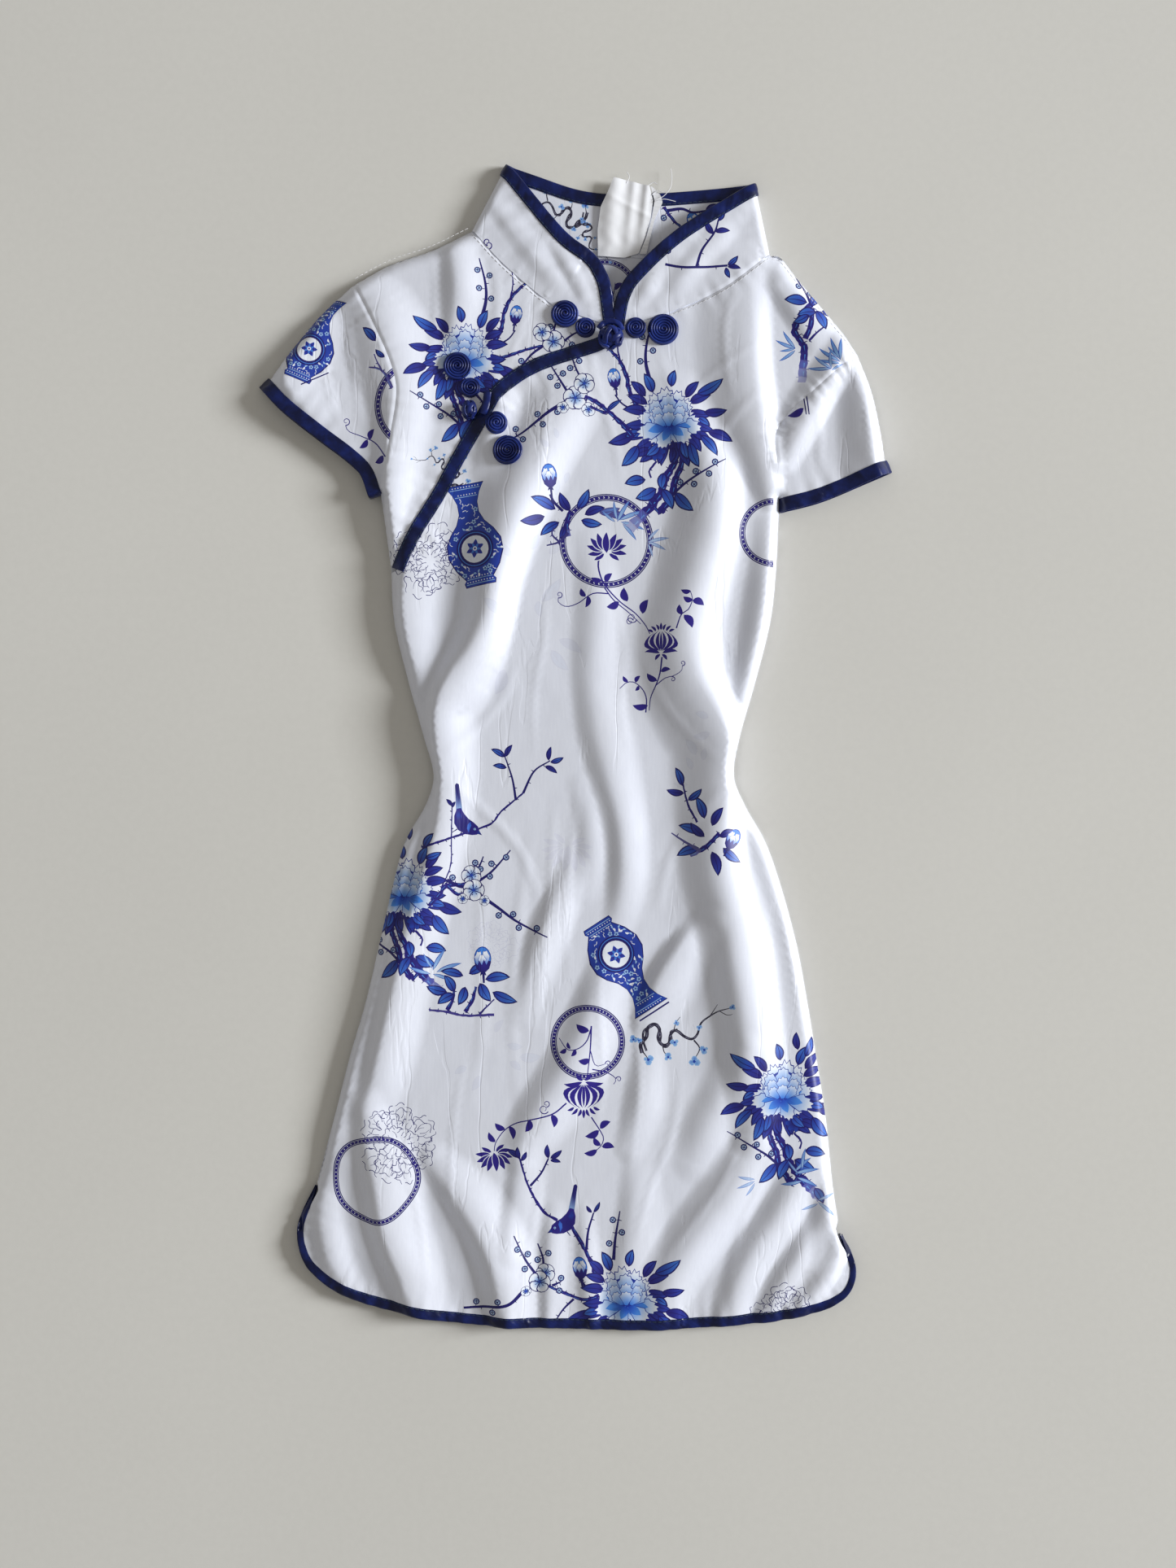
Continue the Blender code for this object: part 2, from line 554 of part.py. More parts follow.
def sleeve_rings(start, end, top, bottom, rows, columns):
    """Rings of a flattened sleeve: over its upper layer, round the fold and back along the surface.

    The fold's own points lie between the two layers, so that it is rounded.
    """
    flat = plan_patch(start, end, top, bottom, rows, columns)
    x, y = flat[:, :, 0], flat[:, :, 1]
    low = 0.5 * WALL
    upper = np.maximum(height(x, y) - 0.5 * WALL * slope_factor(x, y), low + WALL + GAP + SLEEVE_HOLLOW)
    across = flat[:, -1:] - flat[:, :1]
    width = np.linalg.norm(across, axis=2)[:, :, None]
    tuck = SLEEVE_TUCK * across / width
    inner = flat[:, 1:-1]
    rings = [np.concatenate([inner, upper[:, 1:-1, None]], axis=2)]
    for edge, sign in ((-1, -1), (0, 1)):
        point = flat[:, edge][:, None] + sign * tuck
        middle = 0.5 * (upper[:, edge][:, None, None] + low)
        turn = np.concatenate([point, middle], axis=2)
        if edge == -1:
            rings += [turn, np.concatenate([inner[:, ::-1], np.full_like(inner[:, :, :1], low)], axis=2)]
        else:
            rings.append(turn)
    return np.concatenate(rings, axis=1)


def trimmed(rings, head, tail):
    """The rings with a little taken off their first and last row, measured along the sleeve."""
    rings = rings.copy()
    first = rings[1] - rings[0]
    last = rings[-2] - rings[-1]
    rings[0] += first * (head / np.linalg.norm(first, axis=1))[:, None]
    rings[-1] += last * (tail / np.linalg.norm(last, axis=1))[:, None]
    return rings


def build_sleeves():
    """The two short sleeves, flattened tubes that are open at the armhole and the cuff, and their bindings."""
    for which, edges in SLEEVES.items():
        rings = sleeve_rings(*edges, SLEEVE_ROWS, SLEEVE_COLUMNS)
        wall_of("sleeve_" + which, trimmed(rings, 2 * HALF_SEAM, HALF_SEAM), WALL, SATIN, ring=True)
        out = rings[-1] - rings[-2]
        out[:, 2] = 0.0
        out /= np.linalg.norm(out, axis=1)[:, None]
        band = np.array([rings[-1] + out * reach for reach in (HALF_SEAM, BINDING_WIDTH / 2, BINDING_WIDTH)])
        wall_of("cuff_binding_" + which, band, WALL, NAVY, ring=True)


def collar_grid(which, rows, columns):
    """The collar's half from the centre back, round its outer fold, to the front edge, as a grid of points.

    Rows go from the neck seam up to the top edge.
    """
    back_seam = spline(NECK_SEAM_BACK, 60)
    if which == "left":
        back_seam = back_seam[back_seam[:, 0] < CENTRE_BACK[0][0] - COLLAR_HALF_GAP][::-1]
        edges = (COLLAR_TOP_BACK_LEFT, NECK_SEAM_LEFT, COLLAR_EDGE_LEFT)
    else:
        back_seam = back_seam[back_seam[:, 0] > CENTRE_BACK[0][0] + COLLAR_HALF_GAP]
        edges = (COLLAR_TOP_BACK_RIGHT, NECK_SEAM_RIGHT, COLLAR_EDGE_RIGHT)
    back_low, back_high = even(back_seam, columns), spline(edges[0], columns)
    front_low, front_high = spline(edges[1], columns), spline(edges[2], columns)
    u = np.linspace(0.0, 1.0, rows)[:, None, None]
    back = (1 - u) * back_low[None] + u * back_high[None]
    front = (1 - u) * front_low[None] + u * front_high[None]
    low = 0.5 * COLLAR_WALL
    rise = COLLAR_SPRING * u[:, :, 0] * np.sin(np.linspace(0.0, 1.0, columns) * math.pi)[None, :]
    top = np.maximum(height(front[:, :, 0], front[:, :, 1]), LEVEL) + rise - 0.5 * COLLAR_WALL
    inward = np.array([1.0, 0.0]) if which == "left" else np.array([-1.0, 0.0])
    fold = back[:, -1]
    middle = 0.5 * (low + top[:, 0])
    radius = 0.5 * (top[:, 0] - low)
    bend = []
    for angle in np.linspace(-0.5 * math.pi, 0.5 * math.pi, COLLAR_BEND_POINTS):
        place = fold + (radius * (1 - math.cos(angle)))[:, None] * inward
        bend.append(np.column_stack([place, middle + radius * math.sin(angle)]))
    back_part = np.concatenate([back, np.full_like(back[:, :, :1], low)], axis=2)[:, :-1]
    front_part = np.concatenate([front, top[:, :, None]], axis=2)[:, 1:]
    clear_back = np.abs(back_part[:, :, 0] - fold[:, None, 0]) > radius[:, None] + COLLAR_BEND_CLEAR
    keep_back = clear_back.all(axis=0)
    clear_front = np.abs(front_part[:, :, 0] - fold[:, None, 0]) > radius[:, None] + COLLAR_BEND_CLEAR
    keep_front = clear_front.all(axis=0)
    return np.concatenate([back_part[:, keep_back], np.stack(bend, axis=1), front_part[:, keep_front]], axis=1)


def outward_of(grid):
    """For each point of the collar's last row, the unit direction that leads on past its top edge."""
    way = grid[-1] - grid[-2]
    edge = np.gradient(grid[-1], axis=0)
    edge /= np.linalg.norm(edge, axis=1)[:, None]
    way -= (way * edge).sum(axis=1)[:, None] * edge
    return way / np.linalg.norm(way, axis=1)[:, None]


def build_collar():
    """The standing collar in two halves, lying flat: its back on the surface, its front flaps over it."""
    for which in ("left", "right"):
        grid = collar_grid(which, COLLAR_ROWS, COLLAR_COLUMNS)
        body = grid.copy()
        along = (body[1] - body[0])
        body[0] += along * (2 * HALF_SEAM / np.linalg.norm(along, axis=1))[:, None]
        wall_of("collar_" + which, body, COLLAR_WALL, SATIN)
        out = outward_of(grid)
        band = np.array([grid[-1] + out * reach for reach in (2 * HALF_SEAM, BINDING_WIDTH / 2, BINDING_WIDTH)])
        wall_of("collar_binding_" + which, band, COLLAR_WALL, NAVY)


def proud(x, y):
    """The top of a binding that lies on the upper layer."""
    return height(x, y) + BINDING_PROUD


def cut_back(path, by):
    """The line with `by` taken off both of its ends."""
    path = path.copy()
    for end, inner in ((0, 1), (-1, -2)):
        run = path[inner] - path[end]
        path[end] += by * run / np.linalg.norm(run)
    return path


def strip_outline(path, width):
    """The outline of a strip of even width along a line seen from above."""
    return np.vstack([moved_sideways(path, -width / 2), moved_sideways(path, width / 2)[::-1]])


def build_bindings():
    """The navy binding of the slanting opening, and those of the two hems with their rounded slits."""
    middle = opening_edges()[0]
    sheet_between("opening_binding", strip_outline(middle, BINDING_WIDTH), underside, proud, NAVY, fill=False)
    for name, inset, low, high in (
        ("hem_binding_front", 0.0, underside, lambda x, y: height(x, y) + HEM_BINDING_PROUD),
        ("hem_binding_back", BACK_HEM_INSET, lambda x, y: 0 * x, lambda x, y: 0 * x + WALL),
    ):
        path = moved_sideways(run_of(HEM_EDGE, EDGE_STEP), HEM_BINDING_WIDTH / 2 + inset)
        outline = strip_outline(cut_back(path, SLIT_END), HEM_BINDING_WIDTH - 2 * HALF_SEAM)
        sheet_between(name, outline, low, high, NAVY, fill=False)


def circle(x, y, radius, count):
    angles = np.linspace(0.0, 2 * math.pi, count, endpoint=False)
    return np.column_stack([x + radius * np.cos(angles), y + radius * np.sin(angles)])


def build_frogs():
    """The coils, ball knots and loops of the two frog fastenings, lying on the cloth."""
    for name, x, y, diameter in COILS:
        radius = diameter / 2

        def low(px, py):
            return proud(px, py) + FROG_CLEARANCE - BINDING_PROUD

        def high(px, py, x=x, y=y, radius=radius):
            dome = np.clip(1.0 - (np.hypot(px - x, py - y) / radius) ** 2, 0.0, None)
            return low(px, py) + COIL_HEIGHT * (COIL_RIM_SHARE + (1 - COIL_RIM_SHARE) * np.sqrt(dome))

        sheet_between(name, circle(x, y, radius, COIL_SIDES), low, high, CORD, step=diameter / 4)
    for name, x, y, size, seat in KNOTS:
        work = bmesh.new()
        bmesh.ops.create_icosphere(work, subdivisions=2, radius=0.5)
        points = np.array([tuple(vertex.co) for vertex in work.verts]) * size
        faces = [[vertex.index for vertex in face.verts] for face in work.faces]
        work.free()
        foot = height([x], [y])[0] + seat + KNOT_CLEARANCE
        new_object(name, points + (x, y, foot + size[2] / 2), faces, CORD)


def build_loops():
    """The loops of satin cord that pass round the knots."""
    for name, width, path in LOOPS:
        outline = strip_outline(run_of(path, LOOP_STEP), width)
        sheet_between(name, outline, lambda x, y: proud(x, y) + FROG_CLEARANCE,
                      lambda x, y: proud(x, y) + FROG_CLEARANCE + LOOP_HEIGHT, CORD, fill=False)


def build_zip_facing():
    """The white facing and the zip's tape, folded up out of the centre back of the collar."""
    ridge, ridge_x, ridge_width = FACING_FOLD
    wave, wave_rate, wave_start = FACING_WAVES
    floor = COLLAR_WALL + 2 * GAP

    def facing_top(x, y):
        fold = ridge * np.exp(-((x - ridge_x) / ridge_width) ** 2)
        return floor + WALL + fold + wave * np.sin(wave_rate * (y - wave_start)) ** 2

    def flat_at(level):
        return lambda x, y: 0 * x + level

    sheet_between("zip_facing", np.array(ZIP_FACING), flat_at(floor), facing_top, FACING, step=FACING_STEP)
    sheet_between("zip_tape", shrunk(np.array(ZIP_TAPE), HALF_SEAM / 2), flat_at(floor), flat_at(floor + WALL),
                  FACING, fill=False)


clear_scene()
build_back()
build_front()
build_yoke()
build_sleeves()
build_collar()
build_bindings()
build_frogs()
build_loops()
build_zip_facing()
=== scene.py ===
"""The looks of a cheongsam top of printed satin, laid flat on a pale floor and seen from straight above.

All sizes are in millimetres until a mesh is made. The cloth is a set of thin shells: the front, the yoke and
the upper layers of the sleeves follow one height field, raised by folds, wrinkles and puckers, and the back
lies flat. The print is part of the cloth's own mesh: its triangles are cut along every inked shape.
"""

import math
from functools import partial

import bpy
import numpy as np
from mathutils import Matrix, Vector
from mathutils.geometry import delaunay_2d_cdt
from mathutils.kdtree import KDTree


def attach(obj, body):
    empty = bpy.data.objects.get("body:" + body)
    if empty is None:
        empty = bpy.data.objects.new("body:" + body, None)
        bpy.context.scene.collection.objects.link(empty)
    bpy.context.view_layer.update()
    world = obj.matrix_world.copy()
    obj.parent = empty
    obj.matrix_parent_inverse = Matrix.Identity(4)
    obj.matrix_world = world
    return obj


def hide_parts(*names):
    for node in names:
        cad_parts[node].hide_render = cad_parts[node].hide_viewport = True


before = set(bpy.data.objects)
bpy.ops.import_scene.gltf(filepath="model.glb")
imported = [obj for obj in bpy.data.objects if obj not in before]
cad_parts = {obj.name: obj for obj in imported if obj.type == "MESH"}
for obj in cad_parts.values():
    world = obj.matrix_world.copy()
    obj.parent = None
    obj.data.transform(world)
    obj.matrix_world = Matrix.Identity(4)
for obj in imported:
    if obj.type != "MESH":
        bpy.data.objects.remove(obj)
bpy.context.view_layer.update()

MM = 0.001

# The middle of the garment's box, taken off every point, as the solids have it
ORIGIN = np.array([0.32, 0.37])

# Cloth: its thickness at an edge and inside, and the level of the upper layer
THIN = 0.6
BODY_THICKNESS = 1.1
LEVEL = 7.9
EDGE_TOP = 2 * THIN
# How many times thicker a sloping sheet may be straight down, and the spacing of the height field's grid
MOST_SLOPE = 1.6
FIELD_PITCH = 0.8

# Meshes: how far apart points lie inside a panel, under it, in the back, along edges and along a binding
STEP = 2.7
UNDER_STEP = 4.5
BACK_STEP = 9.0
EDGE_STEP = 1.6
BINDING_STEP = 0.9
# How far in from an edge its extra rows of points lie, and how far in the normals on it are read
RIM_ROWS = (0.45, 1.2, 2.5)
RIM_LOOK = 0.8

BINDING_WIDTH = 7.6
HEM_BINDING_WIDTH = 6.0
# How far the back hem lies inside the front one
BACK_HEM_INSET = 0.8

# Seams and edges seen from above, a row of (x, y) points for a smooth curve
SHOULDER_LEFT = ((-56.3, 285.8), (-77.9, 275.4), (-102, 267), (-122, 256))
ARMHOLE_LEFT = ((-122, 256), (-109.4, 231), (-100.8, 211), (-97.7, 195.3), (-100.6, 174), (-103.8, 157))
SLEEVE_TOP_LEFT = ((-122, 256), (-139.5, 240), (-157, 219), (-168.5, 203.6))
SLEEVE_UNDER_LEFT = ((-103.8, 157), (-106, 149), (-106.6, 141))
CUFF_LEFT = ((-168.5, 203.6), (-157, 191.5), (-138, 176.5), (-122, 164.5), (-112, 154.5), (-106.6, 141))
SHOULDER_RIGHT = ((108.5, 272.5), (115.2, 270.5), (123.5, 260), (138.2, 242.6), (149.4, 229), (157.5, 216.9))
ARMHOLE_RIGHT = ((157.5, 216.9), (147.2, 209.7), (133.2, 197.1), (119.3, 184.5), (111.4, 172), (112.2, 157))
SLEEVE_TOP_RIGHT = ((157.5, 216.9), (165, 197), (169.9, 175.5), (172.6, 158.5))
SLEEVE_UNDER_RIGHT = ((112.2, 157), (113.2, 147), (113.8, 137.2))
CUFF_RIGHT = ((172.6, 158.5), (159.8, 153), (135.5, 142.9), (113.8, 137.2))
NECK_SEAM_LEFT = ((-56.3, 285.8), (-38, 266), (-12.2, 244.5), (0, 239.5), (8.5, 236.4), (17, 233.4))
NECK_SEAM_RIGHT = ((108.5, 272.5), (83, 253.5), (56, 241.2), (46, 237.8), (38, 235.6), (28, 232.6))
NECK_SEAM_BACK = ((-56.3, 285.8), (-30, 277), (0, 273), (30.5, 272), (62, 270.5), (90, 271), (108.5, 272.5))
COLLAR_EDGE_LEFT = ((-40.2, 316.6), (-11.0, 281.0), (6.0, 267.4), (11.2, 260.0), (14.0, 252.0), (16.6, 234))
COLLAR_EDGE_RIGHT = ((101.6, 305.6), (61.8, 280.4), (38.2, 259.2), (30.8, 248.0), (27.6, 233))
COLLAR_TOP_BACK = ((-40.2, 316.6), (-24, 311), (-2.3, 303.6), (14.9, 300.6), (30.5, 300.6), (48.2, 300.8),
                   (61.2, 301.6), (82.4, 303.4), (101.6, 305.6))
OPENING = ((17, 224.5), (11.3, 221.4), (-21.6, 210.2), (-41, 196.7), (-50.4, 182.3), (-63.9, 159.3),
           (-75.6, 137.7), (-87.8, 117.5), (-97.4, 97.5))
CENTRE_BACK = ((30.5, 272.0), (24.0, 130.0), (8.0, -20.0), (1.5, -170.0), (1.0, -322.0))
UNDER_KNOT = (25.0, 226.0)

# The body's two sides: how far up the garment, and where each side is there
SIDES = (
    # y, left x, right x
    (137.2, -106.6, 113.8),
    (123.0, -104.6, 113.4),
    (97.0, -101.4, 112.1),
    (69.0, -99.6, 109.0),
    (36.0, -91.8, 100.8),
    (5.0, -83.2, 92.0),
    (-16.0, -77.8, 88.7),
    (-33.0, -82.4, 95.0),
    (-53.0, -93.6, 106.2),
    (-78.0, -100.6, 115.0),
    (-110.0, -108.0, 123.6),
    (-141.0, -115.2, 129.4),
    (-172.0, -124.2, 134.4),
    (-205.0, -132.6, 139.6),
    (-242.0, -142.4, 143.4),
)
SLIT_TOP = {"left": (), "right": ((146.4, -263.0),)}
SLIT_CORNER = {"left": ((-151.2, -259.0), (-152.0, -268.0)), "right": ((149.6, -272.0), (154.0, -280.4))}

# The hem's outer edge from the top of the left slit round to the top of the right one
HEM_EDGE = ((-142.8, -242.0), (-151.2, -259.0), (-153.6, -270.5), (-150.6, -284.4), (-144.5, -292.9),
            (-133.7, -301.5), (-117.9, -308.4), (-98.1, -313.7), (-72.0, -318.6), (-45.5, -321.3),
            (-2.3, -322.9), (36.5, -323.6), (72.0, -322.2), (111.6, -318.6), (135.5, -313.7),
            (147.8, -308.1), (154.2, -301.0), (156.6, -291.2), (154.0, -280.4), (149.6, -272.0),
            (146.8, -263.0))

# The main folds: rows of points along each crest, with its rise and how far its slopes run towards -X and +X
FOLDS = (
    # x, y, rise, west, east
    # the long ridge from the chest down the left side
    ((2, 200, 1.5, 20, 22), (-6, 185, 5, 24, 22), (-18, 163, 7.5, 26, 22), (-30, 138, 9, 26, 22),
     (-38, 115, 10, 24, 20), (-44, 92, 10, 20, 18), (-48, 72, 10, 17, 18), (-56, 54, 9.5, 15, 22),
     (-68, 38, 8.5, 12, 27), (-76, 20, 7.5, 8, 25), (-75, 0, 6.5, 8, 25), (-73, -25, 5.5, 8, 22),
     (-75, -45, 5, 8, 20), (-83, -75, 5, 9, 21), (-92, -105, 5, 9, 22), (-100, -140, 5, 9, 22),
     (-108, -175, 4.5, 9, 22), (-114, -200, 2, 8, 18)),
    ((-44, 200, 1.5, 8, 13), (-42, 188, 4, 9, 15), (-46, 170, 3, 9, 14), (-50, 150, 1, 8, 12)),
    # under the slanting opening, along the left edge
    ((-84, 132, 1.5, 8, 18), (-92, 100, 4.5, 7, 25), (-94, 75, 4.5, 7, 25), (-89, 50, 3.5, 7, 20),
     (-83, 34, 1, 6, 12)),
    # the middle ridge and the short one beside it
    ((10, 112, 0.7, 12, 14), (12, 85, 2.3, 14, 16), (12, 60, 2.6, 15, 17), (11, 35, 2.6, 14, 18),
     (14, 10, 3, 14, 20), (19, -12, 3.3, 13, 20), (25, -35, 3.6, 12, 17), (28, -58, 3.6, 11, 16),
     (27, -80, 2.6, 10, 15), (23, -100, 1, 9, 12)),
    ((4, -22, 0.6, 9, 10), (9, -40, 1.5, 10, 11), (10, -60, 1.5, 10, 11), (6, -80, 0.6, 9, 10)),
    # the long ridge from the right breast down to the hem
    ((56, 194, 1.5, 18, 18), (66, 173, 5, 20, 18), (76, 151, 7, 22, 20), (77, 128, 8.5, 26, 20),
     (71, 102, 8.5, 27, 22), (65, 80, 8.5, 27, 23), (62, 60, 9, 29, 24), (67, 38, 9.5, 34, 20),
     (79, 18, 10, 36, 14), (85, 0, 9.5, 34, 11), (84, -20, 9, 32, 12), (81, -45, 8.5, 26, 16),
     (81, -70, 7.5, 24, 20), (86, -95, 8.5, 21, 23), (90, -120, 9, 20, 25), (94, -145, 8.5, 20, 24),
     (98, -170, 7.5, 20, 22), (100, -195, 5, 18, 20), (98, -215, 2, 14, 14)),
    ((108, 122, 1, 10, 7), (107, 98, 3, 12, 8), (104, 72, 4, 13, 8), (99, 48, 3, 11, 7), (95, 30, 1, 8, 6)),
    # the right breast, up to the armhole
    ((96, 264, 1.5, 24, 13), (97, 240, 4, 32, 14), (98, 212, 5.8, 33, 14), (101, 186, 6.2, 30, 14),
     (105, 162, 5.6, 20, 12), (109, 138, 2.8, 10, 9)),
    # the middle of the skirt
    ((-2, -68, 1, 8, 12), (-10, -88, 3, 10, 15), (-18, -108, 3.5, 10, 16), (-24, -130, 2, 9, 14),
     (-28, -150, 0.5, 8, 10)),
    ((72, -96, 1, 8, 14), (59, -111, 4.5, 9, 24), (47, -130, 4.5, 9, 25), (39, -150, 2, 8, 18)),
    ((17, -116, 1, 10, 14), (13, -138, 4, 14, 20), (5, -162, 5, 16, 23), (-6, -184, 5, 17, 23),
     (-20, -205, 4.5, 16, 21), (-31, -224, 2, 12, 16)),
    ((93, -166, 1, 12, 12), (85, -187, 3.2, 15, 16), (75, -208, 3.2, 16, 17), (66, -230, 1.2, 13, 14)),
    ((40, -168, 1, 9, 12), (37, -196, 2.6, 11, 16), (30, -222, 1, 9, 12)),
    # the hem, from the left corner to the right one
    ((-131, -232, 1, 8, 12), (-139, -258, 3, 9, 15), (-135, -282, 3.5, 10, 15), (-125, -300, 2, 8, 12)),
    ((-117, -198, 1.5, 8, 14), (-113, -220, 4.5, 11, 24), (-108, -245, 6, 12, 28), (-104, -268, 6.5, 12, 28),
     (-95, -292, 6.5, 12, 26), (-87, -316, 5, 11, 22)),
    ((-78, -230, 1.5, 9, 14), (-64, -249, 5, 12, 22), (-51, -270, 6.5, 13, 25), (-43, -290, 7, 13, 25),
     (-38, -318, 6, 12, 20)),
    ((-27, -220, 0.6, 8, 11), (-30, -240, 2, 9, 16), (-33, -262, 2.3, 9, 16), (-34, -280, 1, 8, 12)),
    ((-11, -256, 0.5, 6, 8), (-13, -280, 2, 7, 11), (-14, -318, 1.8, 7, 11)),
    ((6, -258, 0.5, 6, 7), (7, -284, 1.8, 7, 9), (9, -318, 1.5, 7, 9)),
    ((35, -230, 0.6, 10, 13), (34, -257, 2.2, 12, 19), (30, -285, 2.6, 12, 19), (29, -318, 2, 10, 15)),
    ((106, -212, 1.2, 13, 13), (96, -231, 4, 18, 18), (83, -251, 5.4, 19, 19), (67, -273, 5.4, 19, 19),
     (54, -293, 4.8, 18, 19), (47, -318, 3.6, 15, 16)),
    ((130, -230, 1.2, 10, 11), (121, -246, 3.6, 12, 15), (111, -263, 4.2, 13, 15), (99, -281, 4.2, 13, 15),
     (91, -298, 3.8, 12, 15), (85, -317, 2.8, 11, 13)),
    ((138, -258, 1.2, 8, 9), (127, -279, 3.6, 10, 13), (115, -298, 3.6, 10, 13), (107, -316, 2.6, 9, 11)),
    ((139, -238, 1.5, 12, 6), (146, -261, 5, 17, 7), (146, -281, 5, 17, 7), (136, -299, 4, 12, 8),
     (122, -313, 3, 8, 8)),
    # the sleeves and the yoke
    ((-119, 253, 2, 16, 18), (-107, 236, 5, 24, 26), (-101, 214, 6, 26, 28), (-98, 193, 6, 20, 26),
     (-101, 165, 6, 9, 22), (-103, 140, 6, 7, 20), (-102, 118, 4.5, 6, 17), (-100, 103, 1, 5, 10)),
    ((-146, 232, 2, 10, 22), (-157, 214, 4, 10, 30), (-158, 200, 4, 8, 30), (-146, 186, 2, 8, 20)),
    ((-66, 273, 2.5, 9, 15), (-64, 252, 4, 11, 18), (-66, 230, 2, 9, 14)),
    ((151, 226, 2, 9, 8), (143, 208, 4.5, 13, 12), (133, 190, 5.5, 15, 12), (123, 172, 5, 14, 12),
     (116, 157, 2.5, 9, 9)),
    ((158, 212, 1.5, 12, 7), (163, 192, 5, 19, 9), (166, 172, 6, 22, 9), (166, 156, 5.5, 20, 9)),
    ((114, 254, 2, 9, 14), (124, 240, 3, 10, 18), (133, 224, 1.5, 9, 14)),
)


def spline(points, count):
    """`count` points, evenly spaced along a smooth curve through the given ones."""
    points = np.asarray(points, float)
    first = 2 * points[0] - points[1]
    last = 2 * points[-1] - points[-2]
    knots = np.vstack([first, points, last])
    steps = np.linspace(0.0, 1.0, 13)[:, None]
    runs = []
    for before, start, end, after in zip(knots[:-3], knots[1:-2], knots[2:-1], knots[3:]):
        runs.append(0.5 * (2 * start + (end - before) * steps
                           + (2 * before - 5 * start + 4 * end - after) * steps**2
                           + (3 * start - before - 3 * end + after) * steps**3))
    path = np.vstack([run[:-1] for run in runs] + [points[-1:]])
    return even(path, count)


def length_of(path):
    """The line's length, seen from above."""
    return np.linalg.norm(np.diff(path[:, :2], axis=0), axis=1).sum()


def even(path, count):
    """The same line with `count` evenly spaced points."""
    lengths = np.linalg.norm(np.diff(path[:, :2], axis=0), axis=1)
    along = np.concatenate([[0.0], np.cumsum(lengths)])
    wanted = np.linspace(0.0, along[-1], count)
    return np.column_stack([np.interp(wanted, along, path[:, k]) for k in range(path.shape[1])])


def run_of(points, step=EDGE_STEP):
    """A smooth curve through the points, with a point about every `step`."""
    length = length_of(spline(points, 60))
    return spline(points, max(3, int(round(length / step)) + 1))


def side(which):
    """One side of the body from the underarm down to the top of the slit, as (x, y) points."""
    column = {"left": 1, "right": 2}[which]
    return tuple((row[column], row[0]) for row in SIDES) + SLIT_TOP[which]


def moved_sideways(path, distance):
    """The line moved to its left by `distance`, seen along it from above."""
    along = np.gradient(path, axis=0)
    along /= np.linalg.norm(along, axis=1)[:, None]
    return path + distance * np.column_stack([-along[:, 1], along[:, 0]])


def nearest_on(path, x, y):
    """For each (x, y): distance to the line, the place along it, and how squarely it is on the +X side."""
    best = np.full(x.shape, np.inf)
    place = np.zeros(x.shape)
    to_east = np.zeros(x.shape)
    for index in range(len(path) - 1):
        start = path[index, :2]
        run = path[index + 1, :2] - start
        t = np.clip(((x - start[0]) * run[0] + (y - start[1]) * run[1]) / (run @ run), 0.0, 1.0)
        gap = np.hypot(x - start[0] - t * run[0], y - start[1] - t * run[1])
        sideways = (run[0] * (y - start[1]) - run[1] * (x - start[0])) / np.hypot(*run)
        down = 1.0 if run[1] <= 0 else -1.0
        closer = gap < best
        best = np.where(closer, gap, best)
        place = np.where(closer, index + t, place)
        to_east = np.where(closer, down * sideways / (gap + 1e-6), to_east)
    return best, place, np.clip(to_east, -1.0, 1.0)


def near_box(path, reach, x, y):
    """Which places lie in the line's box, made larger by `reach`."""
    low = path[:, :2].min(axis=0) - reach
    high = path[:, :2].max(axis=0) + reach
    return (x > low[0]) & (x < high[0]) & (y > low[1]) & (y < high[1])


def bump(ratio):
    """1 on a crest, falling smoothly to 0 at a ratio of 1."""
    return np.clip(1.0 - ratio**2, 0.0, None)**2


def rise_of(table, x, y):
    """What a table of folds adds to the height."""
    total = np.zeros(x.shape)
    for row in table:
        crest = spline(row, 4 * len(row))
        near = near_box(crest, crest[:, 3:].max(), x, y)
        gap, place, to_east = nearest_on(crest, x[near], y[near])
        rise, west, east = (np.interp(place, np.arange(len(crest)), crest[:, column]) for column in (2, 3, 4))
        total[near] += rise * bump(gap / (west + (east - west) * (0.5 + 0.5 * to_east)))
    return total


def crease_of(table, x, y):
    """What a table of thin creases adds to the height: they fade out towards their ends."""
    total = np.zeros(x.shape)
    for width, rise, points in table:
        line = spline(points, 6 * len(points))
        near = near_box(line, width, x, y)
        gap, place, _ = nearest_on(line, x[near], y[near])
        fade = np.sin(math.pi * np.clip(place / (len(line) - 1), 0.0, 1.0)) ** 0.7
        total[near] += rise * fade * bump(gap / width)
    return total


def puckers(line, pitch, depth, reach, seed, x, y):
    """Small ripples that run out of a seam, uneven along it."""
    total = np.zeros(x.shape)
    near = near_box(line, 2.5 * reach, x, y)
    gap, place, _ = nearest_on(line, x[near], y[near])
    along = place * length_of(line) / (len(line) - 1)
    draw = np.random.default_rng(seed)
    wave = np.zeros(along.shape)
    for _ in range(4):
        rate = 2 * math.pi / pitch * draw.uniform(0.55, 1.5)
        wave += draw.uniform(0.4, 1.0) * np.sin(rate * along + draw.uniform(0, 2 * math.pi))
    total[near] = 0.5 * depth * wave * np.exp(-(gap / reach) ** 1.4)
    return total


def held_edges():
    """The lines where the upper layer comes down to the lower one, and how far in it has rounded over."""
    return [
        (7.0, np.vstack([run_of(SLEEVE_TOP_LEFT, 8)[::-1][:-1], run_of(SHOULDER_LEFT, 8)[::-1]])),
        (8.0, np.vstack([run_of(SHOULDER_RIGHT, 8)[:-1], run_of(SLEEVE_TOP_RIGHT, 8)])),
        (5.0, run_of(side("left") + SLIT_CORNER["left"], 8)),
        (6.5, run_of(side("right") + SLIT_CORNER["right"], 8)),
    ]


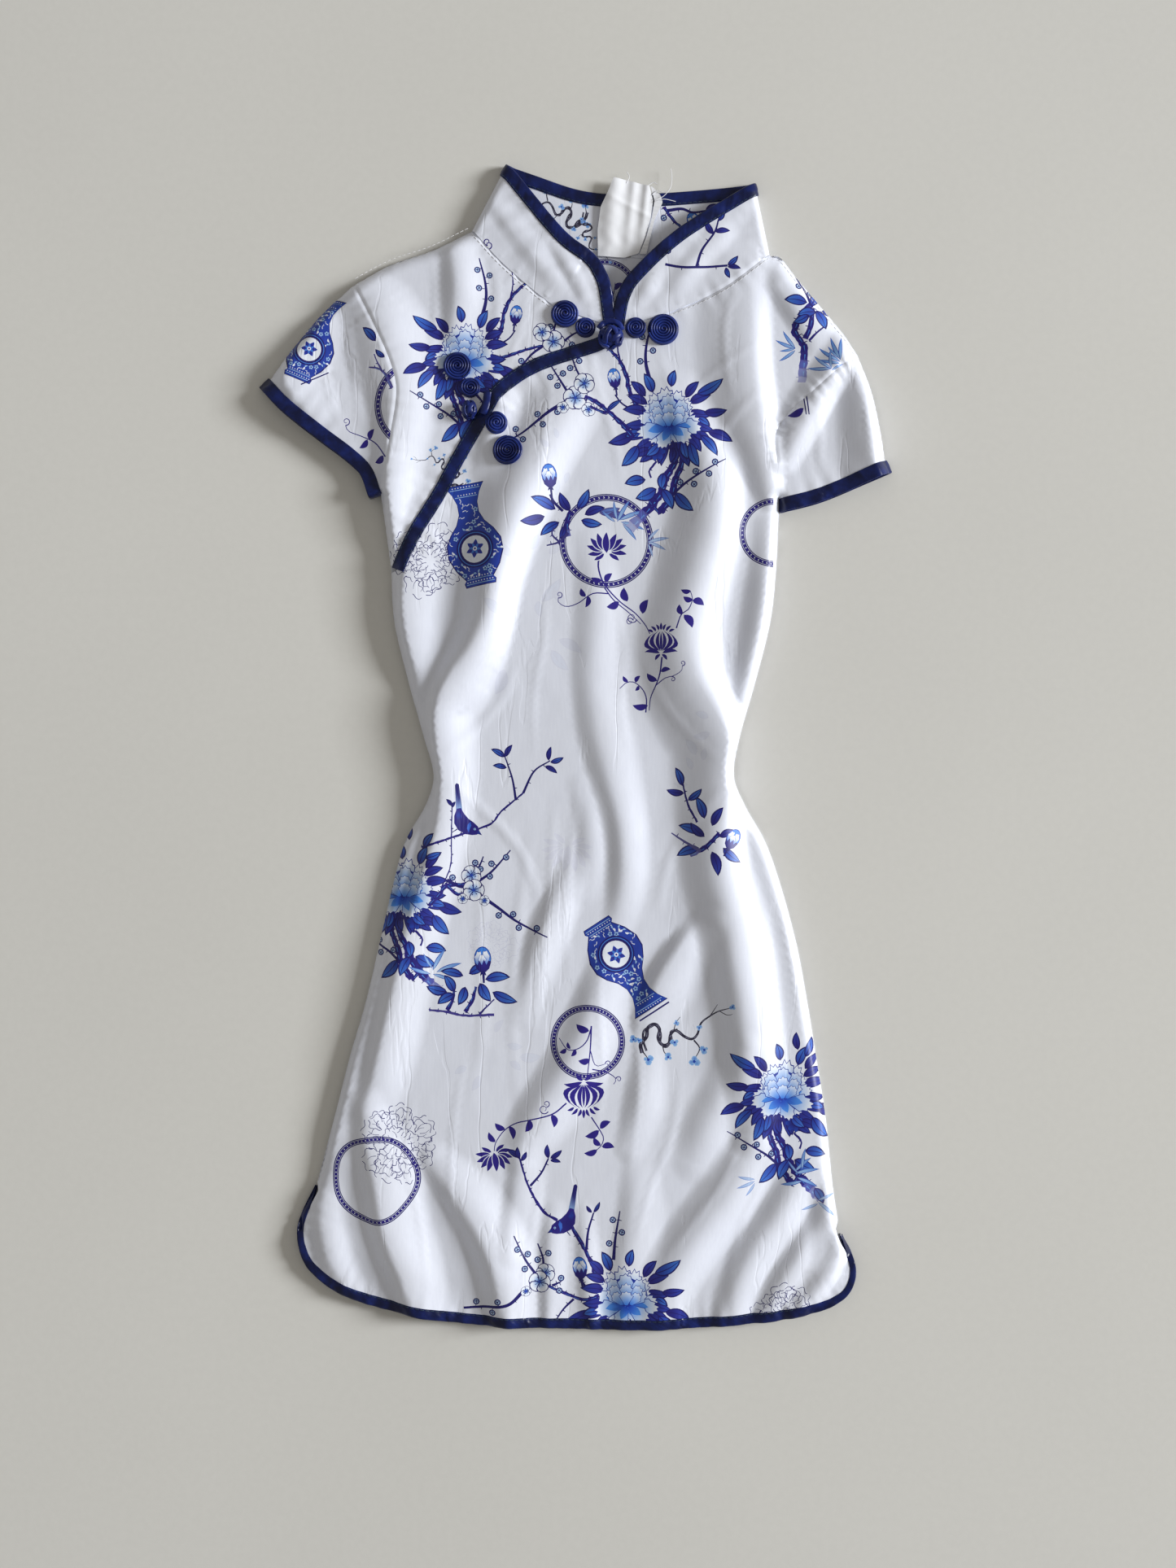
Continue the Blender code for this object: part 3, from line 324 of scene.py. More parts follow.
def edge_rise(x, y):
    """0 on a held edge, rising like a quarter of a circle to 1 where the cloth has rounded over."""
    inner = np.zeros(x.shape)
    for reach, edge in held_edges():
        near = near_box(edge, reach, x, y)
        gap = nearest_on(edge, x[near], y[near])[0]
        inner[near] = np.maximum(inner[near], 1.0 - np.clip(gap / reach, 0.0, 1.0))
    return np.sqrt(1.0 - inner**2)


class Surface:
    """A height over the plan, held on a fine grid."""

    def __init__(self, low, high, height):
        self.low = np.array(low, float)
        columns = np.arange(low[0], high[0] + FIELD_PITCH, FIELD_PITCH)
        rows = np.arange(low[1], high[1] + FIELD_PITCH, FIELD_PITCH)
        x, y = np.meshgrid(columns, rows)
        self.grid = height(x.ravel(), y.ravel()).reshape(x.shape)

    def z(self, x, y):
        """The height at each place, between the four nearest points of the grid."""
        column = np.clip((x - self.low[0]) / FIELD_PITCH, 0, self.grid.shape[1] - 1.001)
        row = np.clip((y - self.low[1]) / FIELD_PITCH, 0, self.grid.shape[0] - 1.001)
        c, r = column.astype(int), row.astype(int)
        u, v = column - c, row - r
        lower = (1 - u) * self.grid[r, c] + u * self.grid[r, c + 1]
        upper = (1 - u) * self.grid[r + 1, c] + u * self.grid[r + 1, c + 1]
        return (1 - v) * lower + v * upper


# Thin creases of the upper layer: half their width, their rise and points along them
CREASES = (
    # the lower middle of the front, where the cloth falls in long thin lines
    (3.8, 0.34, ((-11, -30), (-13, -75), (-17, -120), (-22, -160))),
    (3.4, 0.25, ((2, -24), (-2, -62), (-4, -98), (-3, -130))),
    (5.0, 0.34, ((-22, -40), (-30, -92), (-34, -150), (-30, -205))),
    (5.4, 0.32, ((-44, -60), (-52, -104), (-50, -150), (-58, -200))),
    (3.4, 0.25, ((18, -96), (14, -138), (16, -182), (10, -226))),
    (3.4, 0.28, ((38, -100), (34, -142), (36, -190), (30, -240))),
    (3.8, 0.31, ((60, -180), (54, -214), (42, -246), (32, -282))),
    (3.6, 0.34, ((94, -206), (84, -236), (66, -262), (46, -288))),
    (3.6, 0.28, ((118, -196), (110, -228), (94, -262), (84, -300))),
    (3.4, 0.25, ((-60, -170), (-66, -206), (-68, -250), (-62, -290))),
    (3.4, 0.28, ((-88, -190), (-92, -226), (-84, -268), (-80, -304))),
    (3.4, 0.25, ((-16, -232), (-22, -262), (-28, -300), (-29, -320))),
    (3.4, 0.31, ((112, -60), (116, -92), (122, -126), (126, -160))),
    (3.4, 0.25, ((104, -80), (108, -112), (112, -150), (118, -188))),
    # the waist, where shallow lines fan out of the narrow place
    (4.6, 0.46, ((-70, -20), (-52, -34), (-30, -58), (-18, -88))),
    (4.4, 0.37, ((-72, -4), (-58, 6), (-40, 26), (-30, 50))),
    (4.8, 0.46, ((84, -22), (70, -36), (54, -60), (46, -92))),
    (4.4, 0.37, ((80, -8), (66, 4), (48, 26), (38, 52))),
    (3.8, 0.31, ((30, -4), (26, 22), (28, 52), (24, 84))),
    (3.4, 0.25, ((-22, -6), (-22, 30), (-16, 62), (-16, 92))),
    # the chest: lines that run to the frog and to the armholes
    (3.8, 0.34, ((-14, 206), (-14, 190), (-17, 166), (-20, 146))),
    (4.0, 0.31, ((8, 216), (14, 196), (22, 170), (26, 146))),
    (4.0, 0.31, ((46, 222), (54, 196), (58, 160), (56, 128))),
    (4.2, 0.37, ((108, 200), (92, 186), (78, 168), (66, 146))),
    (3.8, 0.31, ((104, 224), (88, 214), (74, 204), (62, 192))),
    (3.8, 0.31, ((-86, 150), (-82, 128), (-74, 106), (-66, 88))),
    # the yoke, the shoulders and the sleeves
    (4.0, 0.37, ((-44, 268), (-42, 246), (-46, 222), (-54, 204))),
    (3.6, 0.28, ((-26, 252), (-28, 236), (-34, 218), (-38, 206))),
    (3.8, 0.34, ((-78, 270), (-76, 246), (-78, 222), (-84, 196))),
    (3.8, 0.31, ((92, 258), (84, 236), (84, 212), (88, 190))),
    (4.0, 0.37, ((-126, 240), (-124, 222), (-120, 198), (-118, 176))),
    (3.8, 0.31, ((-140, 228), (-138, 210), (-134, 192), (-128, 176))),
    (3.8, 0.34, ((134, 192), (136, 176), (136, 160), (138, 148))),
    (3.4, 0.31, ((160, 210), (162, 192), (162, 176), (164, 160))),
)

# Ripples along seams: the line, the distance between them, their depth and how far they reach
SEAM_PUCKERS = (
    # line, pitch, depth, reach
    (ARMHOLE_LEFT, 9.0, 0.22, 7.0),
    (ARMHOLE_RIGHT, 7.0, 0.5, 6.0),
    (NECK_SEAM_LEFT, 8.0, 0.35, 6.0),
    (NECK_SEAM_RIGHT, 8.0, 0.35, 6.0),
    (OPENING, 11.0, 0.45, 9.0),
    (CUFF_LEFT, 13.0, 0.25, 12.0),
    (CUFF_RIGHT, 11.0, 0.35, 10.0),
    (HEM_EDGE, 9.0, 0.42, 11.0),
)

# Where seams dip, and by how much
SEAM_DIP = 0.55
SEAM_WIDTH = 0.9
DIPPED_SEAMS = (ARMHOLE_LEFT, ARMHOLE_RIGHT, NECK_SEAM_LEFT, NECK_SEAM_RIGHT)

# The hem's upper layer sinks towards its edge
HEM_SINK = 2.4
HEM_SINK_REACH = 30.0

FIELD_LOW = (-182.0, -332.0)
FIELD_HIGH = (182.0, 292.0)


def soft_noise(x, y, size, stretch, seed):
    """Gentle irregular waves of about unit height, `stretch` times longer along Y than across."""
    draw = np.random.default_rng(seed)
    total = np.zeros(x.shape)
    for _ in range(14):
        turn = draw.uniform(-0.9, 0.9) / stretch
        rate = 2 * math.pi / (size * draw.uniform(0.6, 1.7))
        phase = draw.uniform(0, 2 * math.pi)
        total += np.sin(rate * (x + turn * y) + phase + 1.3 * np.sin(rate * y / stretch + 2 * phase))
    return total / 5.0


def upper_height(x, y):
    """The top of the upper layer of cloth, with every fold, wrinkle and pucker."""
    folds = rise_of(FOLDS, x, y) + crease_of(CREASES, x, y)
    folds += 0.08 * soft_noise(x, y, 34.0, 1.6, 5)
    for seed, (line, pitch, depth, reach) in enumerate(SEAM_PUCKERS):
        folds += puckers(run_of(line, 4.0), pitch, depth, reach, seed, x, y)
    for line in DIPPED_SEAMS:
        line = run_of(line, 3.0)
        near = near_box(line, 3 * SEAM_WIDTH, x, y)
        folds[near] -= SEAM_DIP * np.exp(-(nearest_on(line, x[near], y[near])[0] / SEAM_WIDTH) ** 2)
    hem = run_of(HEM_EDGE, 8.0)
    near = near_box(hem, HEM_SINK_REACH, x, y)
    gap = nearest_on(hem, x[near], y[near])[0]
    folds[near] -= HEM_SINK * bump(np.clip(gap / HEM_SINK_REACH, 0, 1))
    return EDGE_TOP + (LEVEL - EDGE_TOP + folds) * edge_rise(x, y)


UPPER = Surface(FIELD_LOW, FIELD_HIGH, upper_height)


# Triangles over an outline

def inside(outline, x, y):
    """Whether each (x, y) lies in the outline."""
    found = np.zeros(x.shape, bool)
    for start, end in zip(outline, np.roll(outline, -1, axis=0)):
        crosses = (start[1] > y) != (end[1] > y)
        rise = end[1] - start[1]
        meets = start[0] + (y - start[1]) * (end[0] - start[0]) / (rise if rise else 1.0)
        found ^= crosses & (x < meets)
    return found


def filling_points(outline, step):
    """A lattice of equal triangles inside an anticlockwise outline, with rows of points along its edge."""
    low, high = outline.min(axis=0), outline.max(axis=0)
    heights = np.arange(low[1], high[1], step * math.sqrt(3) / 2)
    columns = np.arange(low[0], high[0], step)
    x, y = np.meshgrid(columns, heights)
    x = x + 0.5 * step * (np.arange(len(heights)) % 2)[:, None]
    sets = [(RIM_ROWS[-1] + 0.5 * step, np.column_stack([x.ravel(), y.ravel()]))]
    along = np.roll(outline, -1, axis=0) - np.roll(outline, 1, axis=0)
    along /= np.linalg.norm(along, axis=1)[:, None] + 1e-9
    inward = np.column_stack([-along[:, 1], along[:, 0]])
    sets += [(0.9 * row, outline + row * inward) for row in RIM_ROWS]
    tree = KDTree(2 * len(outline))
    middles = 0.5 * (outline + np.roll(outline, -1, axis=0))
    for index, point in enumerate(np.vstack([outline, middles])):
        tree.insert((*point, 0.0), index)
    tree.balance()
    kept = []
    for clear, points in sets:
        points = points[inside(outline, *points.T)]
        kept += [point for point in points if tree.find((*point, 0.0))[2] > clear]
    return np.array(kept)


def area_of(outline):
    """The outline's area, positive where it runs anticlockwise."""
    x, y = outline[:, 0], outline[:, 1]
    return 0.5 * float((x * np.roll(y, -1) - y * np.roll(x, -1)).sum())


def covered(shapes):
    """Whether each shape lies wholly under a single later one."""
    lows = np.array([shape.points.min(axis=0) for shape in shapes]).reshape(-1, 2)
    highs = np.array([shape.points.max(axis=0) for shape in shapes]).reshape(-1, 2)
    found = np.zeros(len(shapes), bool)
    for number, shape in enumerate(shapes):
        around = (lows[number + 1:] <= lows[number]).all(axis=1)
        around &= (highs[number + 1:] >= highs[number]).all(axis=1)
        over = number + 1 + np.flatnonzero(around)
        found[number] = any(inside(shapes[later].points, *shape.points.T).all() for later in over)
    return found


def triangles_over(outline, filling, shapes):
    """Triangles that fill the outline, cut along the shapes: points, triangles and each one's last shape."""
    points = [outline]
    faces = [list(range(len(outline)))]
    count = len(outline)
    numbers = [0]
    low, high = outline.min(axis=0), outline.max(axis=0)
    hidden = covered(shapes)
    for number, shape in enumerate(shapes, 1):
        corners = shape.points
        outside = (corners.max(axis=0) < low).any() or (corners.min(axis=0) > high).any()
        if outside or hidden[number - 1]:
            continue
        points.append(corners)
        faces.append(list(range(count, count + len(corners))))
        count += len(corners)
        numbers.append(number)
    points.append(filling)
    flat = [Vector(point) for point in np.vstack(points)]
    found = delaunay_2d_cdt(flat, [], faces, 1, 1e-5)
    triangles, colours = [], []
    for face, owners in zip(found[2], found[5]):
        if 0 in owners:
            triangles.append(face)
            colours.append(numbers[max(owners)])
    used = sorted({index for face in triangles for index in face})
    place = {index: order for order, index in enumerate(used)}
    points = np.array([tuple(found[0][index]) for index in used])
    triangles = [tuple(place[index] for index in face) for face in triangles]
    return points, np.array(triangles), np.array(colours)


def rim_of(triangles):
    """The points along the edge of the triangles, in order."""
    ways = {(a, b) for face in triangles.tolist() for a, b in zip(face, face[1:] + face[:1])}
    onward = {a: b for a, b in ways if (b, a) not in ways}
    start = next(iter(onward))
    rim = [start]
    while onward[rim[-1]] != start:
        rim.append(onward[rim[-1]])
    return rim


def steepness(height, x, y):
    """How much thicker a sloping sheet is when it is measured straight down."""
    up = normals_of(height, x, y)[:, 2]
    return np.minimum(1.0 / up, MOST_SLOPE)


def normals_of(height, x, y):
    """The unit normals that point up from a height over the plan."""
    small = 0.5
    slope_x = (height(x + small, y) - height(x - small, y)) / (2 * small)
    slope_y = (height(x, y + small) - height(x, y - small)) / (2 * small)
    tilt = np.column_stack([-slope_x, -slope_y, np.ones(len(x))])
    return tilt / np.linalg.norm(tilt, axis=1)[:, None]


# Making objects

def light_of(colour):
    """A screen colour as linear light."""
    colour = np.asarray(colour, float)
    return np.where(colour <= 0.04045, colour / 12.92, ((colour + 0.055) / 1.055) ** 2.4)


CLOTH_WHITE = (0.928, 0.941, 0.988)


class Sheet:
    """Points and faces of one object, gathered from several closed sheets and tubes."""

    def __init__(self):
        self.points, self.faces, self.colours, self.normals = [], [], [], []
        self.count = 0

    def add(self, points, faces, normals, colours=None):
        """Faces over new points, with a normal and a colour for each corner of each face."""
        corners = sum(len(face) for face in faces)
        self.points.append(np.asarray(points, float))
        self.faces += [[int(index) + self.count for index in face] for face in faces]
        self.count += len(points)
        self.normals.append(np.asarray(normals, float).reshape(corners, 3))
        if colours is None:
            colours = np.tile(light_of(CLOTH_WHITE), (corners, 1))
        self.colours.append(np.asarray(colours, float).reshape(corners, 3))

    def layer(self, outline, top, under, steps, shapes=(), under_shapes=()):
        """A closed thin sheet over an outline, its top and its underside cut along inked shapes."""
        if area_of(outline) < 0:
            outline = outline[::-1]
        flat, triangles, owners = triangles_over(outline, filling_points(outline, steps[0]), shapes)
        rim = rim_of(triangles)
        lower, low_triangles, low_owners = triangles_over(flat[rim], filling_points(outline, steps[1]),
                                                          under_shapes)
        place = {tuple(point): index for index, point in enumerate(np.round(lower, 3))}
        rim_below = [place.get(tuple(point)) for point in np.round(flat[rim], 3)]
        x, y = flat.T
        low_x, low_y = lower.T
        upper = np.column_stack([x, y, top(x, y)])
        points = np.vstack([upper, np.column_stack([low_x, low_y, under(low_x, low_y)])])
        # A normal on the rim is read a little way in, where the cloth still slopes.
        along = flat[np.roll(rim, -1)] - flat[np.roll(rim, 1)]
        along /= np.linalg.norm(along, axis=1)[:, None] + 1e-9
        read_at = flat.copy()
        read_at[rim] += RIM_LOOK * np.column_stack([-along[:, 1], along[:, 0]])
        up = normals_of(top, *read_at.T)
        down = -normals_of(under, low_x, low_y)
        walls, outward = [], []
        for k in range(len(rim)):
            after = (k + 1) % len(rim)
            a, b, c, d = rim[k], rim[after], rim_below[after], rim_below[k]
            if c is None or d is None or c == d:
                continue
            walls.append((b, a, d + len(flat), c + len(flat)))
            run = flat[b] - flat[a]
            out = np.array([run[1], -run[0], 0.0]) / (np.linalg.norm(run) + 1e-9)
            outward += [out] * 4
        below = low_triangles[:, ::-1]
        faces = triangles.tolist() + (below + len(flat)).tolist() + walls
        normals = np.vstack([up[triangles].reshape(-1, 3), down[below].reshape(-1, 3), np.array(outward)])
        colours = np.vstack([
            colours_of(flat[triangles], owners, shapes).reshape(-1, 3),
            colours_of(lower[below], low_owners, under_shapes).reshape(-1, 3),
            np.tile(light_of(CLOTH_WHITE), (4 * len(walls), 1)),
        ])
        self.add(points, faces, normals, colours)

    def tube(self, rings, closed=False):
        """A closed tube through rings of points, capped unless its last ring joins its first."""
        rings = np.asarray(rings, float)
        rows, columns = rings.shape[:2]
        wide = np.concatenate([rings[:, -1:], rings, rings[:, :1]], axis=1)
        around = wide[:, 2:] - wide[:, :-2]
        if closed:
            long = np.roll(rings, -1, axis=0) - np.roll(rings, 1, axis=0)
        else:
            long = np.gradient(rings, axis=0)
        normal = np.cross(around, long)
        normal /= np.linalg.norm(normal, axis=2)[:, :, None] + 1e-9
        middle = rings.mean(axis=1, keepdims=True)
        turned = ((rings - middle) * normal).sum() < 0
        if turned:
            normal = -normal
        flat_normal = normal.reshape(-1, 3)
        faces = []
        for row in range(rows if closed else rows - 1):
            for column in range(columns):
                a = row * columns + column
                b = row * columns + (column + 1) % columns
                c, d = (b + columns) % (rows * columns), (a + columns) % (rows * columns)
                faces.append((a, d, c, b) if turned else (a, b, c, d))
        normals = [flat_normal[index] for face in faces for index in face]
        if not closed:
            for row, way in ((0, -1), (rows - 1, 1)):
                cap = [row * columns + column for column in range(columns)]
                if (way < 0) != turned:
                    cap.reverse()
                end = way * (middle[row, 0] - middle[row - way, 0])
                end = end / (np.linalg.norm(end) + 1e-9) * way
                faces.append(tuple(cap))
                normals += [end] * columns
        self.add(rings.reshape(-1, 3), faces, normals)

    def build(self, name, look, slot, replaces=()):
        """The object itself, in metres, riding on the part's one body."""
        points = (np.vstack(self.points) - (*ORIGIN, 0.0)) * MM
        mesh = bpy.data.meshes.new(name)
        mesh.from_pydata(points.tolist(), [], self.faces)
        mesh.materials.append(look)
        mesh.shade_smooth()
        ink = mesh.color_attributes.new("ink", "FLOAT_COLOR", "CORNER")
        colours = np.vstack(self.colours)
        ink.data.foreach_set("color", np.column_stack([colours, np.ones(len(colours))]).ravel())
        mesh.normals_split_custom_set(np.vstack(self.normals).tolist())
        mesh.update()
        thing = bpy.data.objects.new(name, mesh)
        bpy.context.scene.collection.objects.link(thing)
        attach(thing, "root")
        if replaces:
            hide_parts(*replaces)


def colours_of(corners, owners, shapes):
    """The linear colour at each corner of each triangle, by the inked shape that it lies in."""
    colours = np.tile(light_of(CLOTH_WHITE), (*corners.shape[:2], 1))
    inked = owners > 0
    if inked.any():
        near = np.array([shape.near for shape in shapes])
        far = np.array([shape.far for shape in shapes])
        centre = np.array([shape.centre for shape in shapes])
        reach = np.array([shape.reach for shape in shapes])
        which = owners[inked] - 1
        gap = np.linalg.norm(corners[inked] - centre[which][:, None], axis=2)
        share = np.clip(gap / reach[which][:, None], 0.0, 1.0)[:, :, None]
        colours[inked] = light_of((1 - share) * near[which][:, None] + share * far[which][:, None])
    return colours


# Materials

def new_material(name, **sockets):
    """A material whose Principled shader has the given values."""
    made = bpy.data.materials.new(name)
    made.use_nodes = True
    shader = made.node_tree.nodes["Principled BSDF"]
    for socket, value in sockets.items():
        shader.inputs[socket.replace("_", " ")].default_value = value
    return made


def add_node(made, kind, settings=None, **sockets):
    """A node with its settings and inputs; an input may be a value or another node's output."""
    node = made.node_tree.nodes.new(kind)
    for name, value in (settings or {}).items():
        setattr(node, name, value)
    for name, value in sockets.items():
        join(made, value, node.inputs[name.replace("_", " ")])
    return node


def join(made, value, socket):
    """Gives a socket a value or links another node's output to it."""
    if isinstance(value, bpy.types.NodeSocket):
        made.node_tree.links.new(value, socket)
    else:
        socket.default_value = value


def mix_colours(made, share, first, second, blend="MIX"):
    """Two colours mixed by a share."""
    node = add_node(made, "ShaderNodeMix", {"data_type": "RGBA", "blend_type": blend})
    join(made, share, node.inputs["Factor"])
    join(made, first, node.inputs[6])
    join(made, second, node.inputs[7])
    return node.outputs[2]


# No stretch along any axis, and plain white
EVEN = (1.0, 1.0, 1.0)
WHITE = (1, 1, 1, 1)


def noise(made, scale, stretch=EVEN, detail=2.0):
    """Noise over the object's own coordinates, stretched along its axes."""
    place = add_node(made, "ShaderNodeTexCoord").outputs["Object"]
    spread = add_node(made, "ShaderNodeMapping", Vector=place, Scale=stretch).outputs["Vector"]
    return add_node(made, "ShaderNodeTexNoise", Vector=spread, Scale=scale, Detail=detail).outputs["Fac"]


def wrinkle_lines(made):
    """0 along thin broken lines, where a slow noise passes its middle, and 1 beside them."""
    waves = noise(made, 34.0, (1.0, 0.15, 1.0), 4.0)
    away = add_node(made, "ShaderNodeMath", {"operation": "SUBTRACT"})
    join(made, waves, away.inputs[0])
    away.inputs[1].default_value = 0.5
    size = add_node(made, "ShaderNodeMath", {"operation": "ABSOLUTE"})
    join(made, away.outputs[0], size.inputs[0])
    patches = ramp(made, noise(made, 17.0, (1.0, 0.7, 1.0), 2.0), 0.44, 0.56)
    spread = add_node(made, "ShaderNodeMath", {"operation": "MAXIMUM"})
    join(made, ramp(made, size.outputs[0], 0.0, 0.014), spread.inputs[0])
    join(made, patches, spread.inputs[1])
    return spread.outputs[0]


def ramp(made, share, low, high):
    """The share stretched so that `low` becomes 0 and `high` 1."""
    node = add_node(made, "ShaderNodeMapRange", Value=share, From_Min=low, From_Max=high)
    return node.outputs["Result"]


def finish_shader(made, colour, bumps, roughness=None):
    """Joins a colour, a chain of (height, strength, distance) bumps and a roughness to the shader."""
    shader = made.node_tree.nodes["Principled BSDF"]
    join(made, colour, shader.inputs["Base Color"])
    if roughness is not None:
        join(made, roughness, shader.inputs["Roughness"])
    normal = None
    for height, strength, distance in bumps:
        node = add_node(made, "ShaderNodeBump", Height=height, Strength=strength, Distance=distance)
        if normal is not None:
            join(made, normal, node.inputs["Normal"])
        normal = node.outputs["Normal"]
    join(made, normal, shader.inputs["Normal"])


def satin_material():
    """White satin that carries the print: a smooth soft sheen, a fine weave and faint creases."""
    made = new_material("printed_satin_look", Roughness=0.42, Sheen_Weight=0.06, Sheen_Roughness=0.35,
                        Specular_IOR_Level=0.4)
    ink = add_node(made, "ShaderNodeVertexColor", {"layer_name": "ink"}).outputs["Color"]
    threads = noise(made, 900.0, (1.0, 0.12, 1.0), 1.0)
    blotches = noise(made, 38.0, (1.0, 0.6, 1.0), 3.0)
    worn = mix_colours(made, ramp(made, threads, 0.3, 0.7), (0.965, 0.965, 0.97, 1), WHITE)
    tone = mix_colours(made, ramp(made, blotches, 0.35, 0.65), (0.975, 0.972, 0.965, 1), WHITE)
    colour = mix_colours(made, 1.0, mix_colours(made, 1.0, ink, worn, "MULTIPLY"), tone, "MULTIPLY")
    rough = add_node(made, "ShaderNodeMapRange", Value=blotches, To_Min=0.34, To_Max=0.46).outputs["Result"]
    creases = noise(made, 160.0, (1.0, 0.35, 1.0), 4.0)
    bumps = ((creases, 0.12, 0.0006), (wrinkle_lines(made), 0.3, 0.0004), (threads, 0.08, 0.0001))
    finish_shader(made, colour, bumps, rough)
    return made


def navy_material(name, base, lit, rough, rib_scale):
    """Navy satin with ribs of thread as a bump, and painted sheen: brighter blue patches from a slow noise.
    """
    made = new_material(name, Roughness=rough, Specular_IOR_Level=0.34, Sheen_Weight=0.06,
                        Sheen_Roughness=0.3, Sheen_Tint=(0.25, 0.35, 0.9, 1))
    ribs = noise(made, rib_scale)
    painted_sheen = noise(made, 120.0, EVEN, 3.0)
    # painted sheen: where the slow noise is high, the base colour turns to the brighter lit blue
    colour = mix_colours(made, ramp(made, painted_sheen, 0.4, 0.75), (*base, 1), (*lit, 1))
    finish_shader(made, colour, ((ribs, 0.25, 0.0002),))
    return made


def thread_material(name, dark, light):
    """Twisted sewing thread."""
    made = new_material(name, Roughness=0.6, Sheen_Weight=0.2)
    twist = noise(made, 1500.0)
    finish_shader(made, mix_colours(made, twist, (*dark, 1), (*light, 1)), ((twist, 0.3, 0.0001),))
    return made


def plain_satin_material():
    """Plain white satin of the facing and the zip's tape."""
    made = new_material("plain_satin_look", Roughness=0.42, Sheen_Weight=0.2, Specular_IOR_Level=0.5)
    weave = noise(made, 800.0, (1.0, 0.15, 1.0), 1.0)
    colour = mix_colours(made, weave, (0.89, 0.90, 0.945, 1), (0.95, 0.96, 1.0, 1))
    creases = noise(made, 190.0, (1.0, 0.5, 1.0), 4.0)
    finish_shader(made, colour, ((creases, 0.15, 0.0006), (weave, 0.1, 0.0001)))
    return made


SATIN = satin_material()
PLAIN = plain_satin_material()
# each navy look: its base colour, the brighter blue of its painted sheen, its roughness and the scale of its
# ribs
NAVY = navy_material("navy_binding_look", (0.0026, 0.0062, 0.048), (0.008, 0.020, 0.150), 0.30, 700.0)
CORD = navy_material("frog_cord_look", (0.0055, 0.0120, 0.098), (0.018, 0.042, 0.270), 0.36, 1100.0)
WHITE_THREAD = thread_material("white_thread_look", (0.78, 0.78, 0.8), (0.93, 0.93, 0.95))
TEAL_THREAD = thread_material("teal_thread_look", (0.004, 0.02, 0.05), (0.012, 0.05, 0.1))


# The cloth panels

def back_along(line):
    """The points of a line from its end to its start, without the start."""
    return run_of(line)[::-1][:-1]


def side_part(which, high, low):
    """The points of one side of the body between two heights."""
    path = run_of(side(which))
    return path[(path[:, 1] < high) & (path[:, 1] > low)]


def hem_line(inset):
    """The hem's curve moved inwards, from the top of the left slit to the top of the right one."""
    path = moved_sideways(run_of(HEM_EDGE), inset)
    return np.vstack([side("left")[-1], path[2:-2], side("right")[-1]])


def front_outline():
    """The front panel, from under the knot along the opening, round the hem and up to the neck."""
    opening = run_of(OPENING)
    return np.vstack([
        [UNDER_KNOT], opening, side_part("left", opening[-1, 1] - EDGE_STEP, -240.0),
        hem_line(HEM_BINDING_WIDTH / 2)[:-1], back_along(side("right")),
        back_along(SLEEVE_UNDER_RIGHT), back_along(ARMHOLE_RIGHT),
        back_along(SHOULDER_RIGHT), run_of(NECK_SEAM_RIGHT),
    ])


def yoke_outline():
    """The piece above the slanting opening, from its shoulder round by the opening to the neck."""
    opening = run_of(OPENING)
    return np.vstack([
        run_of(SHOULDER_LEFT)[:-1], run_of(ARMHOLE_LEFT)[:-1], run_of(SLEEVE_UNDER_LEFT)[:-1],
        side_part("left", SLEEVE_UNDER_LEFT[-1][1] - EDGE_STEP, opening[-1, 1] + EDGE_STEP),
        opening[::-1], back_along(NECK_SEAM_LEFT),
    ])


def back_outline(which):
    """One half of the back, from its side to the zip."""
    middle = run_of(CENTRE_BACK)
    neck = run_of(NECK_SEAM_BACK)
    hem = hem_line(HEM_BINDING_WIDTH / 2 + BACK_HEM_INSET)
    if which == "left":
        return np.vstack([
            run_of(SHOULDER_LEFT)[:-1], run_of(ARMHOLE_LEFT)[:-1], run_of(SLEEVE_UNDER_LEFT)[:-1],
            run_of(side("left"))[:-1], hem[hem[:, 0] < middle[-1, 0] - 1.0],
            middle[middle[:, 1] > hem[:, 1].min() + 1.5][::-1],
            neck[neck[:, 0] < middle[0, 0] - 1.0][::-1][:-1],
        ])
    return np.vstack([
        middle[middle[:, 1] > hem[:, 1].min() + 1.5], hem[hem[:, 0] > middle[-1, 0] + 1.0][:-1],
        back_along(side("right")), back_along(SLEEVE_UNDER_RIGHT),
        back_along(ARMHOLE_RIGHT), back_along(SHOULDER_RIGHT),
        neck[neck[:, 0] > middle[0, 0] + 1.0][::-1],
    ])


SLEEVES = {
    "left": (ARMHOLE_LEFT, CUFF_LEFT, SLEEVE_TOP_LEFT, SLEEVE_UNDER_LEFT),
    "right": (ARMHOLE_RIGHT, CUFF_RIGHT, SLEEVE_TOP_RIGHT, SLEEVE_UNDER_RIGHT),
}


def sleeve_outline(which):
    """A sleeve's armhole, top, cuff and underside."""
    armhole, cuff, top, under = SLEEVES[which]
    return np.vstack([back_along(armhole), run_of(top)[:-1], run_of(cuff)[:-1], back_along(under)])


def flat_at(level):
    """A height over the plan that is the same everywhere."""
    return lambda x, y: 0 * x + level


def upper_underside(x, y):
    """The underside of the upper layer: thin where it is held down at an edge, a little thicker inside."""
    top = UPPER.z(x, y)
    inside_share = np.clip((top - EDGE_TOP) / (LEVEL - EDGE_TOP), 0, 1)
    thick = THIN + (BODY_THICKNESS * steepness(UPPER.z, x, y) - THIN) * inside_share
    return np.maximum(top - thick, THIN + 0.02)


